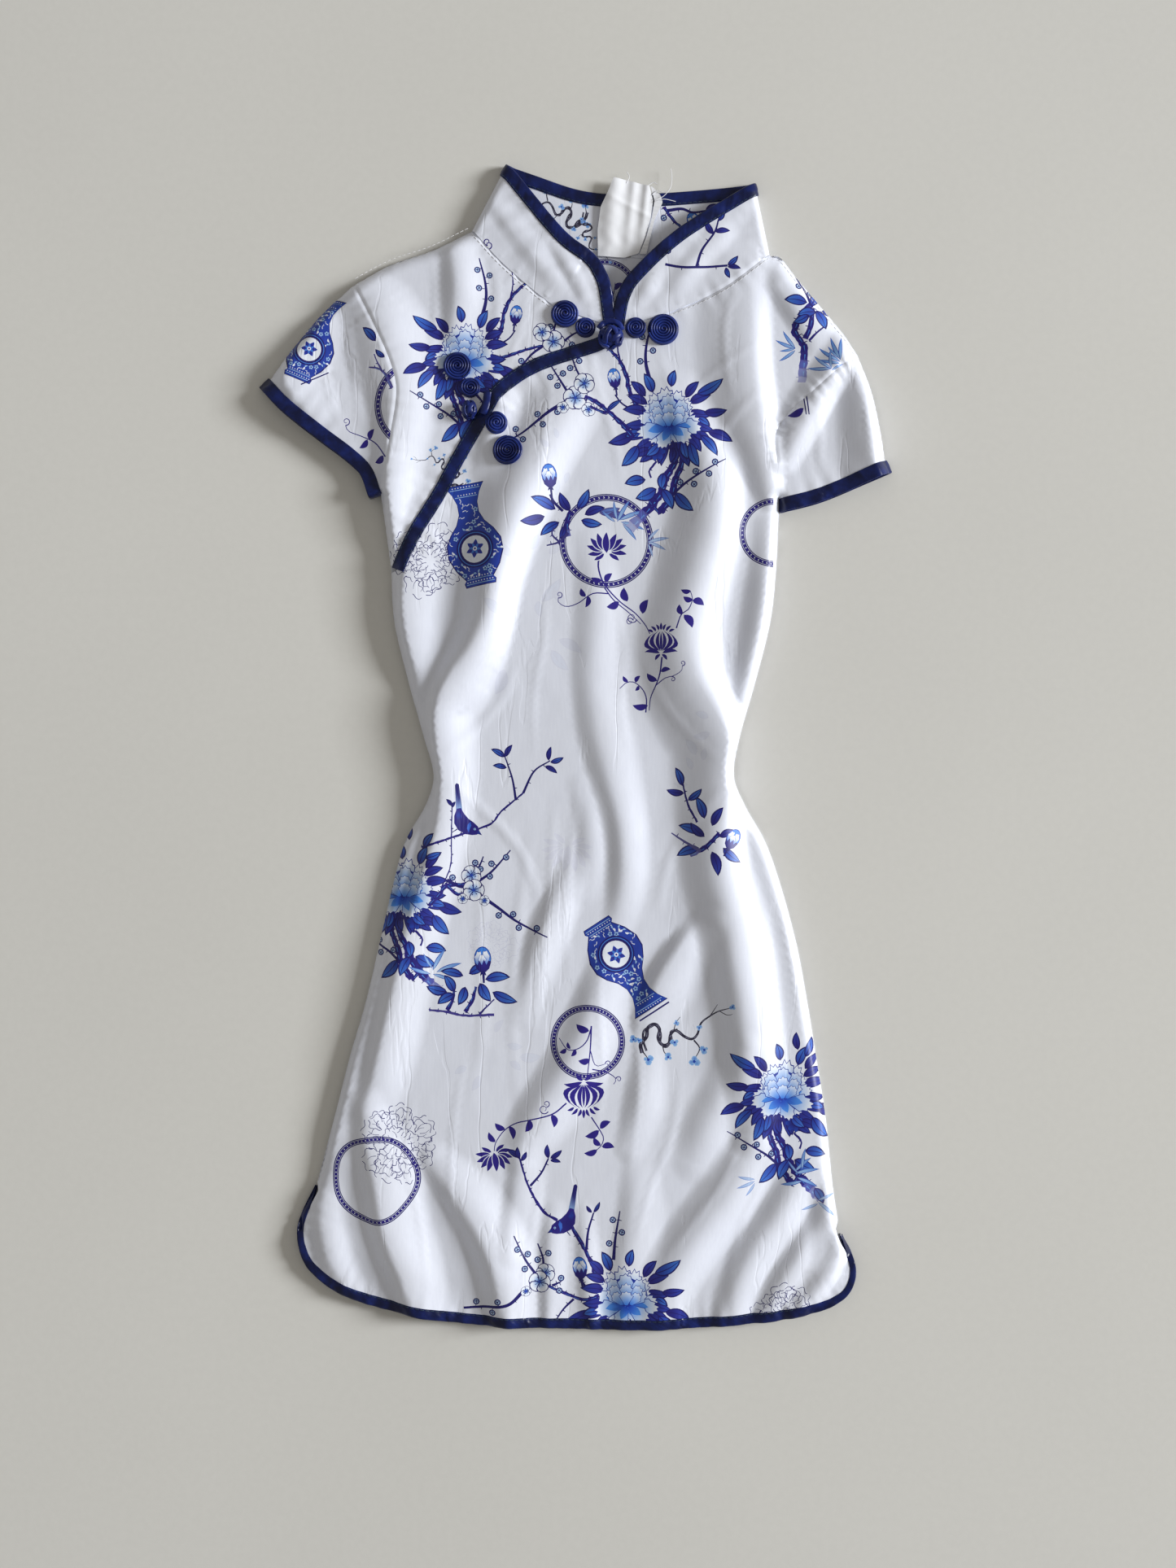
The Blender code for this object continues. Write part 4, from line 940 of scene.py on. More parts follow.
def build_panels(ink):
    """The front, the yoke, the two halves of the back and the sleeves."""
    steps, back_steps = (STEP, UNDER_STEP), (BACK_STEP, BACK_STEP)
    for name, outline in (("front_panel", front_outline()), ("front_yoke", yoke_outline())):
        sheet = Sheet()
        sheet.layer(outline, UPPER.z, upper_underside, steps, ink.get(name, ()))
        sheet.build(name + "_cloth", SATIN, "printed_satin", (name,))
    for which in ("left", "right"):
        name = "back_" + which
        sheet = Sheet()
        sheet.layer(back_outline(which), flat_at(THIN), flat_at(0.0), back_steps,
                    ink.get("back_inside", ()), ink.get("back_outside", ()))
        sheet.build(name + "_cloth", SATIN, "printed_satin", (name,))
        name = "sleeve_" + which
        sheet = Sheet()
        outline = sleeve_outline(which)
        sheet.layer(outline, UPPER.z, upper_underside, steps, ink.get(name, ()))
        sheet.layer(outline, flat_at(THIN), flat_at(0.0), back_steps)
        sheet.build(name + "_cloth", SATIN, "printed_satin", (name,))


# The print: shapes of ink that the cloth's triangles are cut along

VIOLET = (0.17, 0.12, 0.53)
INDIGO = (0.11, 0.09, 0.42)
BLUE = (0.13, 0.27, 0.68)
MID = (0.26, 0.48, 0.83)
PALE = (0.62, 0.77, 0.93)
PAPER = (0.93, 0.95, 0.99)
SOOT = (0.17, 0.16, 0.25)

BERRY_RADIUS = 1.9
BUD_RADIUS = 5.2
SKETCH_WIDTH = 0.42


class Ink:
    """An inked shape: its corners, and a colour that runs from `near` at its centre to `far` at its reach."""

    def __init__(self, points, near, far, centre, reach):
        self.points = points if area_of(points) > 0 else points[::-1]
        self.near, self.far, self.centre, self.reach = near, far, centre, reach


class Pen:
    """Draws motifs in millimetres in a frame of its own, which may be turned, scaled, mirrored and faded."""

    def __init__(self, shapes, x, y, turn=0.0, size=1.0, mirrored=False, fade=0.0):
        self.shapes = shapes
        turn = math.radians(turn)
        spin = np.array([[math.cos(turn), -math.sin(turn)], [math.sin(turn), math.cos(turn)]])
        self.matrix = size * spin @ np.diag([-1.0 if mirrored else 1.0, 1.0])
        self.place = np.array([x, y], float)
        self.fade = fade

    def part(self, x=0.0, y=0.0, turn=0.0, size=1.0, fade=0.0):
        """A pen for a part of this pen's motif."""
        pen = Pen(self.shapes, 0, 0, turn, size, False, 1 - (1 - self.fade) * (1 - fade))
        pen.matrix = self.matrix @ pen.matrix
        pen.place = self.at([(x, y)])[0]
        return pen

    def at(self, points):
        """The points in the frame of the cloth."""
        return np.asarray(points, float) @ self.matrix.T + self.place

    def tint(self, colour):
        """The colour, faded towards the cloth's white."""
        return (1 - self.fade) * np.array(colour) + self.fade * np.array(CLOTH_WHITE)

    def fill(self, points, near, far=None, centre=None, reach=None):
        """A filled shape; its colour is `near` at `centre` and `far` at `reach` from it."""
        points = np.asarray(points, float)
        far = near if far is None else far
        centre = points.mean(axis=0) if centre is None else centre
        if reach is None:
            reach = np.linalg.norm(points - centre, axis=1).max()
        scale = math.sqrt(abs(np.linalg.det(self.matrix)))
        self.shapes.append(Ink(self.at(points), self.tint(near), self.tint(far), self.at([centre])[0],
                               reach * scale))

    def line(self, points, width, colour, end_width=None, step=1.6):
        """A stroke along a smooth curve, which may grow thinner towards its end."""
        points = np.asarray(points, float)
        count = max(3, int(length_of(points) / step) + 2) if len(points) > 2 else 3
        path = spline(points, count)
        half = np.linspace(width, width if end_width is None else end_width, count)[:, None] / 2
        along = np.gradient(path, axis=0)
        along /= np.linalg.norm(along, axis=1)[:, None] + 1e-9
        left = np.column_stack([-along[:, 1], along[:, 0]])
        self.fill(np.vstack([path + half * left, (path - half * left)[::-1]]), colour)

    def disc(self, x, y, radius, near, far=None, count=10):
        """A filled circle with `count` corners."""
        angles = np.linspace(0.0, 2 * math.pi, count, endpoint=False)
        points = np.column_stack([x + radius * np.cos(angles), y + radius * np.sin(angles)])
        self.fill(points, near, far)


def leaf_outline(length, width, bend, count=7):
    """A pointed leaf from its stalk at the origin along +X."""
    t = np.linspace(0.0, 1.0, count + 2)[1:-1]
    half = 0.5 * width * np.sin(math.pi * t**0.85) ** 0.8
    middle = bend * length * np.sin(math.pi * t)
    upper = np.column_stack([t * length, middle + half])
    lower = np.column_stack([t * length, middle - half])[::-1]
    return np.vstack([[0.0, 0.0], lower[::-1], [length, -0.3 * bend * length], upper[::-1]])


def leaf(pen, length, width, bend=0.05, near=(0.13, 0.22, 0.62), far=(0.27, 0.50, 0.86)):
    """A leaf with a dark outline, a brighter middle and a midrib."""
    width *= 0.88
    pen.fill(leaf_outline(length, width, bend), INDIGO)
    inner = leaf_outline(length - 1.9, width - 1.35, bend, 6) + (0.8, 0.0)
    pen.fill(inner, near, far, (length * 0.12, 0.0), length * 0.8)
    pen.line([(0.2, 0.0), (0.5 * length, bend * length), (0.94 * length, 0.0)], 0.6, INDIGO, 0.25, 3.0)


def dark_leaf(pen, length, width, bend):
    """The same leaf in darker blues."""
    leaf(pen, length, width, bend, (0.13, 0.10, 0.45), (0.18, 0.27, 0.68))


def leaves(pen, table, kind=None):
    """Leaves by a table of x, y, turn, length and width; every second one is dark unless a kind is given."""
    for number, (x, y, turn, length, width) in enumerate(table):
        draw = kind or (leaf, dark_leaf)[number % 2]
        draw(pen.part(x, y, turn), length, width, 0.06 if number % 2 else -0.05)


def berry(pen):
    """A pale round berry with a dark rim and a cross."""
    pen.disc(0, 0, BERRY_RADIUS, INDIGO, count=9)
    pen.disc(0, 0, BERRY_RADIUS - 0.7, PAPER, PALE, count=8)
    pen.line([(-0.5 * BERRY_RADIUS, 0.1), (0.5 * BERRY_RADIUS, 0.2)], 0.5, INDIGO)
    pen.line([(0.1, -0.5 * BERRY_RADIUS), (0.0, 0.5 * BERRY_RADIUS)], 0.5, INDIGO)


def twig(pen, path, width, end_width, berries=()):
    """A knotty twig with berries by a table of x and y; each hangs on the twig by a short stalk."""
    pen.line(path, 1.6 * width, INDIGO, 1.7 * end_width)
    run = spline(path, 12)
    for k in (3, 6, 9):
        away = (run[k] - run[k - 1])[::-1] * (1, -1) * (1 if k % 2 else -1)
        away /= np.linalg.norm(away) + 1e-9
        pen.line([run[k], run[k] + away * (0.8 + width)], 0.7, INDIGO, 0.3)
    for x, y in berries:
        foot = run[np.argmin(np.linalg.norm(run - (x, y), axis=1))]
        pen.line([foot, (x, y)], 0.4, INDIGO, 0.3)
        berry(pen.part(x, y, 40 * x))


def trunk(pen, path, width, end_width, fade_from=None, seed=1):
    """A gnarled stem: lumpy sides, short spurs and a broken light streak; it may fade out from a share on."""
    draw = np.random.default_rng(seed)
    run = spline(path, max(5, int(length_of(np.array(path, float)) / 1.5)))
    count = len(run)
    along = np.gradient(run, axis=0)
    along /= np.linalg.norm(along, axis=1)[:, None]
    left = np.column_stack([-along[:, 1], along[:, 0]])
    half = np.linspace(width, end_width, count)[:, None] / 2
    upper = run + half * left * draw.uniform(0.72, 1.3, (count, 1))
    lower = run - half * left * draw.uniform(0.72, 1.3, (count, 1))
    for k in range(0, count - 1, 3):
        last = min(k + 4, count)
        share = k / count
        fade = 0.0 if fade_from is None else max(0.0, (share - fade_from) / (1.0 - fade_from)) * 0.9
        faded = pen.part(fade=fade)
        faded.fill(np.vstack([upper[k:last], lower[k:last][::-1]]), INDIGO if fade < 0.1 else BLUE, VIOLET)
        spur = run[k] + left[k] * (1.3 * half[k] + 0.7) * draw.choice((-1.0, 1.0)) + 0.4 * along[k]
        faded.line([run[k], spur], 0.8, INDIGO, 0.35)
        if last - k > 3 and width > 1.6:
            faded.line([run[k + 1] + 0.25 * half[k] * left[k], run[last - 1] + 0.25 * half[k] * left[k]],
                       0.34 * half[k, 0], MID, 0.15)


def round_petal(pen, length, width):
    """One round petal of a small blossom along +X."""
    angles = np.linspace(-2.5, 2.5, 9)
    rim = np.column_stack([0.58 * length + 0.42 * length * np.cos(angles), 0.5 * width * np.sin(angles)])
    pen.fill(np.vstack([[0.0, 0.0], rim]), INDIGO)
    inner = (rim - (0.58 * length, 0)) * (0.84, 0.82) + (0.58 * length, 0)
    pen.fill(np.vstack([[0.5, 0.0], inner]), MID, PAPER, (0.0, 0.0), 0.62 * length)


def blossom(pen, radius, tilt):
    """A five-petalled blossom with stamens."""
    for k in range(5):
        round_petal(pen.part(0, 0, tilt + 72 * k), radius, 1.22 * radius)
    for k in range(7):
        turn = math.radians(51 * k + tilt)
        end = (0.42 * radius * math.cos(turn), 0.42 * radius * math.sin(turn))
        pen.line([(0, 0), end], 0.22, INDIGO, 0.16)
        pen.disc(*end, 0.3, INDIGO, count=5)
    pen.disc(0, 0, 0.7, BLUE, count=6)


def fringed_petal(pen, length, width, teeth, near, far, line, seed, white_from=0.84, foot=None):
    """A petal along +X whose far edge is torn into small teeth, dark at its foot and white at its tip."""
    draw = np.random.default_rng(seed)
    angles = np.linspace(-1.25, 1.25, 2 * teeth + 1)
    depth = 1.0 - 0.16 * (np.arange(len(angles)) % 2) - draw.uniform(0, 0.08, len(angles))
    rim = np.column_stack([length * (0.42 + 0.58 * np.cos(angles) * depth),
                           0.56 * width * np.sin(angles) * depth])
    base = np.array([[0.18 * length, 0.22 * width], [0.0, 0.10 * width], [0.0, -0.10 * width],
                     [0.18 * length, -0.22 * width]])
    outline = np.vstack([rim, base])
    pen.fill(outline, line)
    inner = (outline - (0.42 * length, 0)) * (0.94, 0.9) + (0.42 * length, 0)
    pen.fill(inner, near, far, (0.0, 0.0), white_from * length)
    if foot is not None:
        pen.fill(leaf_outline(0.62 * length, 0.5 * width, 0.0, 4), foot, (0.30, 0.56, 0.91), (0.0, 0.0),
                 0.5 * length)


PEONY_PETALS = (
    # x, y, turn, length, width: the petals behind the globe, then the open ones below it
    (1.0, -8, 141, 19.0, 8.5), (1.0, -8, 30, 16.0, 8.0), (1.0, -8, 120, 21.5, 10.5),
    (1.0, -8, 50, 19.0, 10.0), (1.0, -8, 98, 22.5, 12.0), (1.0, -8, 74, 21.0, 11.0),
    (0.5, -8, 163, 18.5, 9.0), (1.5, -8, 9, 17.5, 8.5), (0.5, -9, 219, 14.0, 7.5),
    (1.5, -9, 300, 11.0, 7.0), (0.5, -8, 196, 19.0, 10.5), (1.5, -8, 352, 18.5, 10.0),
    (1.0, -9, 246, 13.5, 9.0), (1.5, -9, 324, 14.5, 9.5),
)
GLOBE_CUPS = (
    # x, y, turn, length, width: cups that open upwards, from the back one to the front one
    (-3.4, -5.0, 113, 12.5, 9.0), (4.4, -5.0, 66, 12.5, 9.0), (0.4, -4.0, 91, 14.0, 9.5),
    (-0.6, -8.4, 141, 12.5, 8.0), (2.6, -8.4, 40, 12.0, 8.0), (-2.4, -6.4, 119, 10.5, 7.5),
    (3.4, -6.4, 61, 10.5, 7.5), (0.5, -5.4, 90, 9.8, 8.0), (-1.6, -8.6, 126, 8.8, 7.0),
    (3.0, -8.6, 55, 8.6, 7.0), (0.6, -8.8, 90, 8.6, 8.0),
)


def peony(pen, seed):
    """A full flower about 36 mm wide: open petals all round, and a globe of cupped ones in the middle."""
    deep, azure = (0.05, 0.20, 0.66), (0.20, 0.46, 0.87)
    line = (0.08, 0.19, 0.60)
    first = 100 * seed
    for number, (x, y, turn, length, width) in enumerate(PEONY_PETALS):
        fringed_petal(pen.part(x, y, turn), length, width, 5, azure, PAPER, line, first + number, 0.86, deep)
    pen.disc(0.4, -1.0, 8.4, deep, line, 14)
    for number, (x, y, turn, length, width) in enumerate(GLOBE_CUPS):
        fringed_petal(pen.part(x, y, turn), length, width, 4, azure, PAPER, line, first + 50 + number, 0.98)


def bud(pen):
    """A pale egg-shaped bud in a dark calyx, its tip along +Y."""
    pen.line([(0.2, -BUD_RADIUS * 2.3), (0.1, -BUD_RADIUS * 0.9)], 1.0, INDIGO, 1.4)
    tall = pen.part()
    tall.matrix = pen.matrix @ np.diag([0.82, 1.18])
    tall.disc(0, 0, BUD_RADIUS, (0.10, 0.22, 0.62), count=16)
    tall.disc(0, 0, BUD_RADIUS - 0.4, (0.40, 0.64, 0.94), (0.24, 0.50, 0.88), 15)
    for k, (x, turn, length) in enumerate(((-0.55, 84, 1.5), (0.5, 98, 1.55), (-0.05, 92, 1.2))):
        petal = tall.part(x * BUD_RADIUS, -0.75 * BUD_RADIUS, turn)
        fringed_petal(petal, BUD_RADIUS * length, BUD_RADIUS, 3,
                      (0.14, 0.36, 0.82), PAPER, (0.13, 0.27, 0.70), 30 + k)
    calyx = ((-0.97, -0.2), (-0.6, -0.5), (-0.42, -0.1), (-0.12, -0.5), (0.16, -0.05), (0.42, -0.5),
             (0.66, -0.15), (0.97, -0.25), (0.74, -0.8), (0.3, -1.08), (-0.3, -1.08), (-0.74, -0.8))
    tall.fill(BUD_RADIUS * np.array(calyx)[::-1], VIOLET, INDIGO)
    for turn in (-58, -90, -122):
        tip = leaf_outline(0.55 * BUD_RADIUS, 0.2 * BUD_RADIUS, 0.0, 3)
        pen.part(0, -1.15 * BUD_RADIUS, turn).fill(tip, INDIGO)


def ring_band(pen, inner, outer, start, stop, colour, squash):
    """A band round a circle between two angles, made of short pieces."""
    pieces = max(1, int((stop - start) / 30))
    for k in range(pieces):
        angles = np.radians(np.linspace(start + (stop - start) * k / pieces,
                                        start + (stop - start) * (k + 1) / pieces, 7))
        wobble = 1.0 + squash * np.sin(3 * angles + 0.4) + 0.7 * squash * np.sin(5 * angles + 2.0)
        rim = np.column_stack([np.cos(angles), np.sin(angles)]) * wobble[:, None]
        pen.fill(np.vstack([rim * outer, (rim * inner)[::-1]]), colour)


HOOK = ((-0.42, -0.9), (0.30, -0.9), (0.52, -0.2), (0.15, 0.75), (-0.35, 0.70), (-0.45, 0.15), (-0.2, 0.1),
        (-0.08, 0.35), (0.12, -0.25), (0.0, -0.55), (-0.42, -0.62))


def roundel(pen, outer, inner, count, start=0.0, stop=360.0, squash=0.0):
    """A dark ring with a running scroll, between two thin lines."""
    ring_band(pen, outer - 0.6, outer, start, stop, INDIGO, squash)
    ring_band(pen, inner + 0.70, outer - 0.80, start, stop, (0.14, 0.10, 0.48), squash)
    ring_band(pen, inner, inner + 0.5, start, stop, INDIGO, squash)
    middle = 0.5 * (inner + outer)
    deep = 0.5 * (outer - inner - 1.5)
    wide = math.pi * middle / count
    for k in range(int(count * (stop - start) / 360)):
        turn = start + 360 * (k + 0.5) / count
        angle = math.radians(turn)
        wobble = 1.0 + squash * math.sin(3 * angle + 0.4) + 0.7 * squash * math.sin(5 * angle + 2.0)
        spot = pen.part(middle * wobble * math.cos(angle), middle * wobble * math.sin(angle), turn - 90)
        spot.fill(np.array(HOOK) * (0.70 * wide, 0.52 * deep), PAPER)


def curl(pen, radius, turns, way, width=0.6):
    """A tendril's curl that starts at the origin and winds inwards."""
    angles = np.linspace(0.0, 2 * math.pi * turns, 12)
    shrink = np.linspace(1.0, 0.35, 12)
    x = radius * (1 - shrink * np.cos(angles))
    y = way * radius * shrink * np.sin(angles)
    pen.line(np.column_stack([x, y]), width, VIOLET, 0.5 * width, 0.8)


def silhouette(pen, length, width, bend=0.12):
    """A plain leaf in one colour."""
    pen.fill(leaf_outline(length, 1.2 * width, bend, 6), VIOLET)


def sprig(pen, path, blades, curls=(), width=0.75):
    """A thin stem with plain leaves (x, y, turn, length, width) and curls (x, y, turn, radius, way)."""
    pen.line(path, width, VIOLET, 0.5 * width, 2.2)
    for x, y, turn, length, wide in blades:
        silhouette(pen.part(x, y, turn), length, wide)
    for x, y, turn, radius, way in curls:
        curl(pen.part(x, y, turn), radius, 1.1, way)


LOTUS_PETALS = (
    # x, y, turn, length, width: from the outer petals to the middle one
    (-1.4, -4.6, 214, 6.6, 2.0), (1.4, -4.6, -34, 6.6, 2.0), (-2.2, -3.6, 190, 8.4, 2.3),
    (2.4, -3.6, -8, 8.8, 2.3), (-2.0, -2.8, 164, 9.4, 2.5), (2.2, -2.8, 18, 9.2, 2.5),
    (-1.8, -2.6, 138, 9.8, 2.7), (1.8, -2.6, 42, 9.6, 2.7), (-1.2, -2.8, 113, 10.4, 2.8),
    (1.2, -2.8, 66, 10.2, 2.8), (0.0, -4.2, 91, 11.6, 3.1),
)
LOTUS_GAP = 0.9


def lotus(pen):
    """A lotus in plain silhouette about 22 mm wide, its petals parted by thin gaps."""
    for x, y, turn, length, width in LOTUS_PETALS:
        petal = pen.part(x, y, turn)
        gap = leaf_outline(length + LOTUS_GAP, 1.2 * width + LOTUS_GAP, 0.03, 6)
        petal.part(-0.5 * LOTUS_GAP).fill(gap, PAPER)
        silhouette(petal, length, width, 0.03)


POD_BANDS = (
    # x, y, turn, length, width and bend of the right-hand bands of the seed head
    (0.5, -6.8, 88, 13.6, 2.0, -0.13), (0.9, -6.8, 82, 14.0, 2.5, -0.33), (1.3, -6.5, 71, 13.4, 2.5, -0.52),
)
POD_BLADES = (
    # x, y, turn, length, width of the right-hand blades: the wings below and the tuft above
    (0.8, -8.2, 6, 10.5, 2.3), (0.6, -9.0, -50, 5.4, 1.8), (1.5, 7.4, 66, 4.6, 1.4), (3.4, 6.8, 46, 5.0, 1.5),
    (5.4, 6.2, 24, 4.2, 1.4),
)


def pod(pen):
    """A round seed head of bulging bands over two wings, with a tuft along +Y."""
    silhouette(pen.part(0, -6.8, 90), 13.0, 1.5, 0.0)
    silhouette(pen.part(0, 7.6, 90), 5.2, 1.5, 0.0)
    for way in (-1, 1):
        half = pen.part()
        half.matrix = pen.matrix @ np.diag([way, 1.0])
        for x, y, turn, length, width, bend in POD_BANDS:
            silhouette(half.part(x, y, turn), length, width, bend)
        for x, y, turn, length, width in POD_BLADES:
            silhouette(half.part(x, y, turn), length, width, 0.1)


BIRD_BODY = ((11.0, -2.8), (9.6, 0.0), (6.4, 1.5), (2.8, 2.6), (-0.6, 4.6), (-3.4, 7.2), (-5.6, 6.0),
             (-5.6, 1.6), (-4.2, -2.6), (-0.8, -5.6), (3.8, -6.6), (8.0, -5.8), (10.6, -4.6))


def bird(pen):
    """A plump songbird, its head along +X and its long thin tail up behind it."""
    pen.fill(((-2.2, 6.2), (-9.0, 20.0), (-10.6, 20.2), (-11.0, 18.8), (-5.6, 4.8)), PALE, INDIGO,
             (-4.0, 6.0), 8.0)
    pen.fill(BIRD_BODY, INDIGO, VIOLET, (2.0, -2.0), 11.0)
    pen.fill(((4.4, 1.4), (3.4, -0.8), (3.8, -3.2), (5.8, -5.4), (5.4, -3.0), (5.6, -0.6)), MID, BLUE)
    pen.fill(((-1.0, 2.2), (-3.6, 5.2), (-4.8, 5.4), (-4.6, 2.0), (-2.6, -1.0)), BLUE, INDIGO)
    pen.fill(((10.4, -1.6), (13.4, -4.0), (10.0, -4.2)), BLUE, INDIGO)
    pen.disc(8.2, -2.0, 0.75, PALE, count=6)
    pen.disc(8.2, -2.0, 0.35, INDIGO, count=5)
    pen.line([(-1.4, -5.2), (-3.6, -8.0)], 0.7, INDIGO, 0.4)
    pen.line([(1.6, -6.2), (0.4, -9.0)], 0.7, INDIGO, 0.4)


VASE_PROFILE = ((3.0, 27.0), (8.0, 27.0), (8.6, 24.6), (7.4, 23.2), (11.8, 17.4), (14.8, 10.4), (14.6, 4.0),
                (11.6, -1.6), (7.6, -6.4), (5.4, -11.6), (5.4, -17.0), (7.2, -22.0), (9.4, -25.6),
                (10.4, -27.0))
MEDALLION_Y = 7.5


def vase(pen, seed):
    """A porcelain vase with a round medallion, bands and small scattered flowers."""
    right = np.array(VASE_PROFILE)
    pen.fill(np.vstack([right, (right * (-1, 1))[::-1]]), INDIGO)
    inner = right * (0.955, 0.985)
    pen.fill(np.vstack([inner, (inner * (-1, 1))[::-1]]), (0.16, 0.24, 0.64), BLUE, (0, 6), 30)
    draw = np.random.default_rng(seed)
    spots = []
    for y in (25.4, 22.9, -20.6, -24.6):
        half = np.interp(y, right[::-1, 1], right[::-1, 0]) - 0.9
        pen.line([(-half, y), (half, y)], 0.35, PALE)
        for x in np.arange(-half + 0.8, half - 0.4, 1.5):
            pen.disc(x, y - 1.05, 0.36, PAPER, count=5)
    for _ in range(420):
        x, y = draw.uniform(-14, 14), draw.uniform(-19, 21.5)
        half = np.interp(y, right[::-1, 1], right[::-1, 0])
        if abs(x) > half - 1.5 or math.hypot(x, y - MEDALLION_Y) < 10.6:
            continue
        if any(math.hypot(x - a, y - b) < 2.3 for a, b in spots):
            continue
        spots.append((x, y))
        spot = pen.part(x, y, draw.uniform(0, 360))
        kind = draw.integers(3)
        if kind == 0:
            for k in range(5):
                spot.disc(0.85 * math.cos(k * 1.257), 0.85 * math.sin(k * 1.257), 0.52, PAPER, PALE, 5)
            spot.disc(0, 0, 0.35, INDIGO, count=5)
        elif kind == 1:
            spot.fill(leaf_outline(2.4, 1.1, 0.15, 3), PAPER)
            spot.part(0.2, 0, 160).fill(leaf_outline(2.0, 0.9, 0.15, 3), PALE)
        else:
            spot.line([(-1.3, -0.5), (-0.2, 0.6), (0.9, 0.1), (1.3, 0.8)], 0.42, PAPER, 0.25, 0.9)
    for radius, colour, count in ((9.8, INDIGO, 28), (9.0, MID, 26), (8.5, INDIGO, 26), (7.2, PAPER, 24)):
        pen.disc(0, MEDALLION_Y, radius, colour, count=count)
    emblem = pen.part(0, 7.2)
    for k in range(6):
        emblem.part(0, 0, 60 * k + 15).fill(leaf_outline(5.0, 2.6, 0.0, 4), VIOLET, BLUE)
    for k in range(6):
        emblem.part(0, 0, 60 * k + 45).fill(leaf_outline(3.4, 1.3, 0.0, 3), MID)
    emblem.disc(0, 0, 1.2, PAPER, count=7)
    emblem.disc(0, 0, 0.6, VIOLET, count=6)


def sketched_flower(pen, radius, seed):
    """A big flower drawn as thin broken wavy lines."""
    draw = np.random.default_rng(seed)
    for row, (count, reach) in enumerate(((9, 1.0), (7, 0.74), (6, 0.5), (4, 0.26))):
        for k in range(count):
            turn = 360 * (k + 0.5 * (row % 2)) / count + draw.uniform(-16, 16)
            spot = pen.part(draw.uniform(-1.5, 1.5), draw.uniform(-1.5, 1.5), turn)
            centre = radius * reach * draw.uniform(0.64, 0.8)
            size = radius * (0.32 - 0.035 * row) * draw.uniform(0.75, 1.25)
            rate = draw.uniform(5.0, 9.0)
            for start, stop in ((-1.8, -0.6), (-0.4, 0.5), (0.7, 1.9)):
                angles = np.linspace(start + draw.uniform(-0.2, 0.2), stop, 7)
                wave = size * (1.0 + 0.13 * np.sin(rate * angles + k))
                path = np.column_stack([centre + wave * np.cos(angles), wave * 1.05 * np.sin(angles)])
                spot.line(path, SKETCH_WIDTH, INDIGO, 0.6 * SKETCH_WIDTH, 1.1)
            for way in (-1, 1):
                spot.line([(centre - 0.3 * size, way * 0.2 * size), (centre + 0.1 * size, way * 0.36 * size),
                           (centre + 0.5 * size, way * 0.28 * size)],
                          0.8 * SKETCH_WIDTH, INDIGO, 0.4 * SKETCH_WIDTH)


def bamboo(pen, blades, fade):
    """Thin pale leaves in a fan: x, y, turn, length."""
    faint = pen.part(fade=fade)
    for x, y, turn, length in blades:
        spot = faint.part(x, y, turn)
        spot.fill(leaf_outline(length, 0.17 * length, 0.03, 5), BLUE)
        spot.part(0.5, 0).fill(leaf_outline(length - 1.0, 0.11 * length, 0.03, 4), PALE, MID, (0, 0), length)


WOUND_STEMS = (
    # width, end width, path: a thick stem, a thin one wound round it, and their twigs
    (2.6, 1.8, ((-8.6, -9.4), (-9.4, -4.6), (-6.2, -0.4), (-5.6, 4.4), (-1.8, 6.6), (1.0, 3.6), (0.2, -1.2),
                (2.6, -5.0), (6.2, -4.2), (7.0, 0.4), (9.4, 3.0), (12.0, 2.0))),
    (1.5, 1.1, ((-6.2, -8.2), (-8.0, -2.6), (-7.6, 3.0), (-3.6, 5.2), (-0.4, 6.6), (1.8, 0.8), (1.6, -3.6),
                (4.6, -6.4), (7.8, -2.0), (7.0, 2.2), (11.0, 3.6))),
    (2.0, 0.5, ((11.4, 2.4), (15, -0.5), (19, -1.8), (22, 1), (24, 7), (29, 11), (34, 14), (40, 16))),
    (1.1, 0.4, ((20, -2.4), (23.2, -7), (20.6, -12.6))), (0.8, 0.4, ((22.8, -7), (26.2, -7.8))),
    (1.0, 0.5, ((-13.5, -0.4), (-10.2, -2.2), (-7.4, -1.6))),
    (0.8, 0.4, ((2.8, -5.6), (3.6, -9), (5.6, -11.4))),
    (0.9, 0.4, ((-8.4, -8.6), (-6.4, -11.0), (-5.2, -13.0))), (0.7, 0.3, ((9, 3), (10, 7), (12.5, 10.5))),
    (0.6, 0.3, ((29, 11), (31.5, 15), (33, 17.6))), (0.6, 0.3, ((34, 14), (38, 12), (41, 12.6))),
)
WOUND_BLOSSOMS = ((-13.4, -2.0, 2.3), (-5.2, -13.0, 2.9), (5.8, -11.8, 2.4), (9.4, -3.6, 2.3),
                  (20.2, -14.2, 3.1), (25.8, -7.8, 2.5), (10.2, 7.2, 1.7), (23.0, 4.4, 1.6),
                  (41, 16.6, 1.7), (-10.4, -2.6, 1.7))


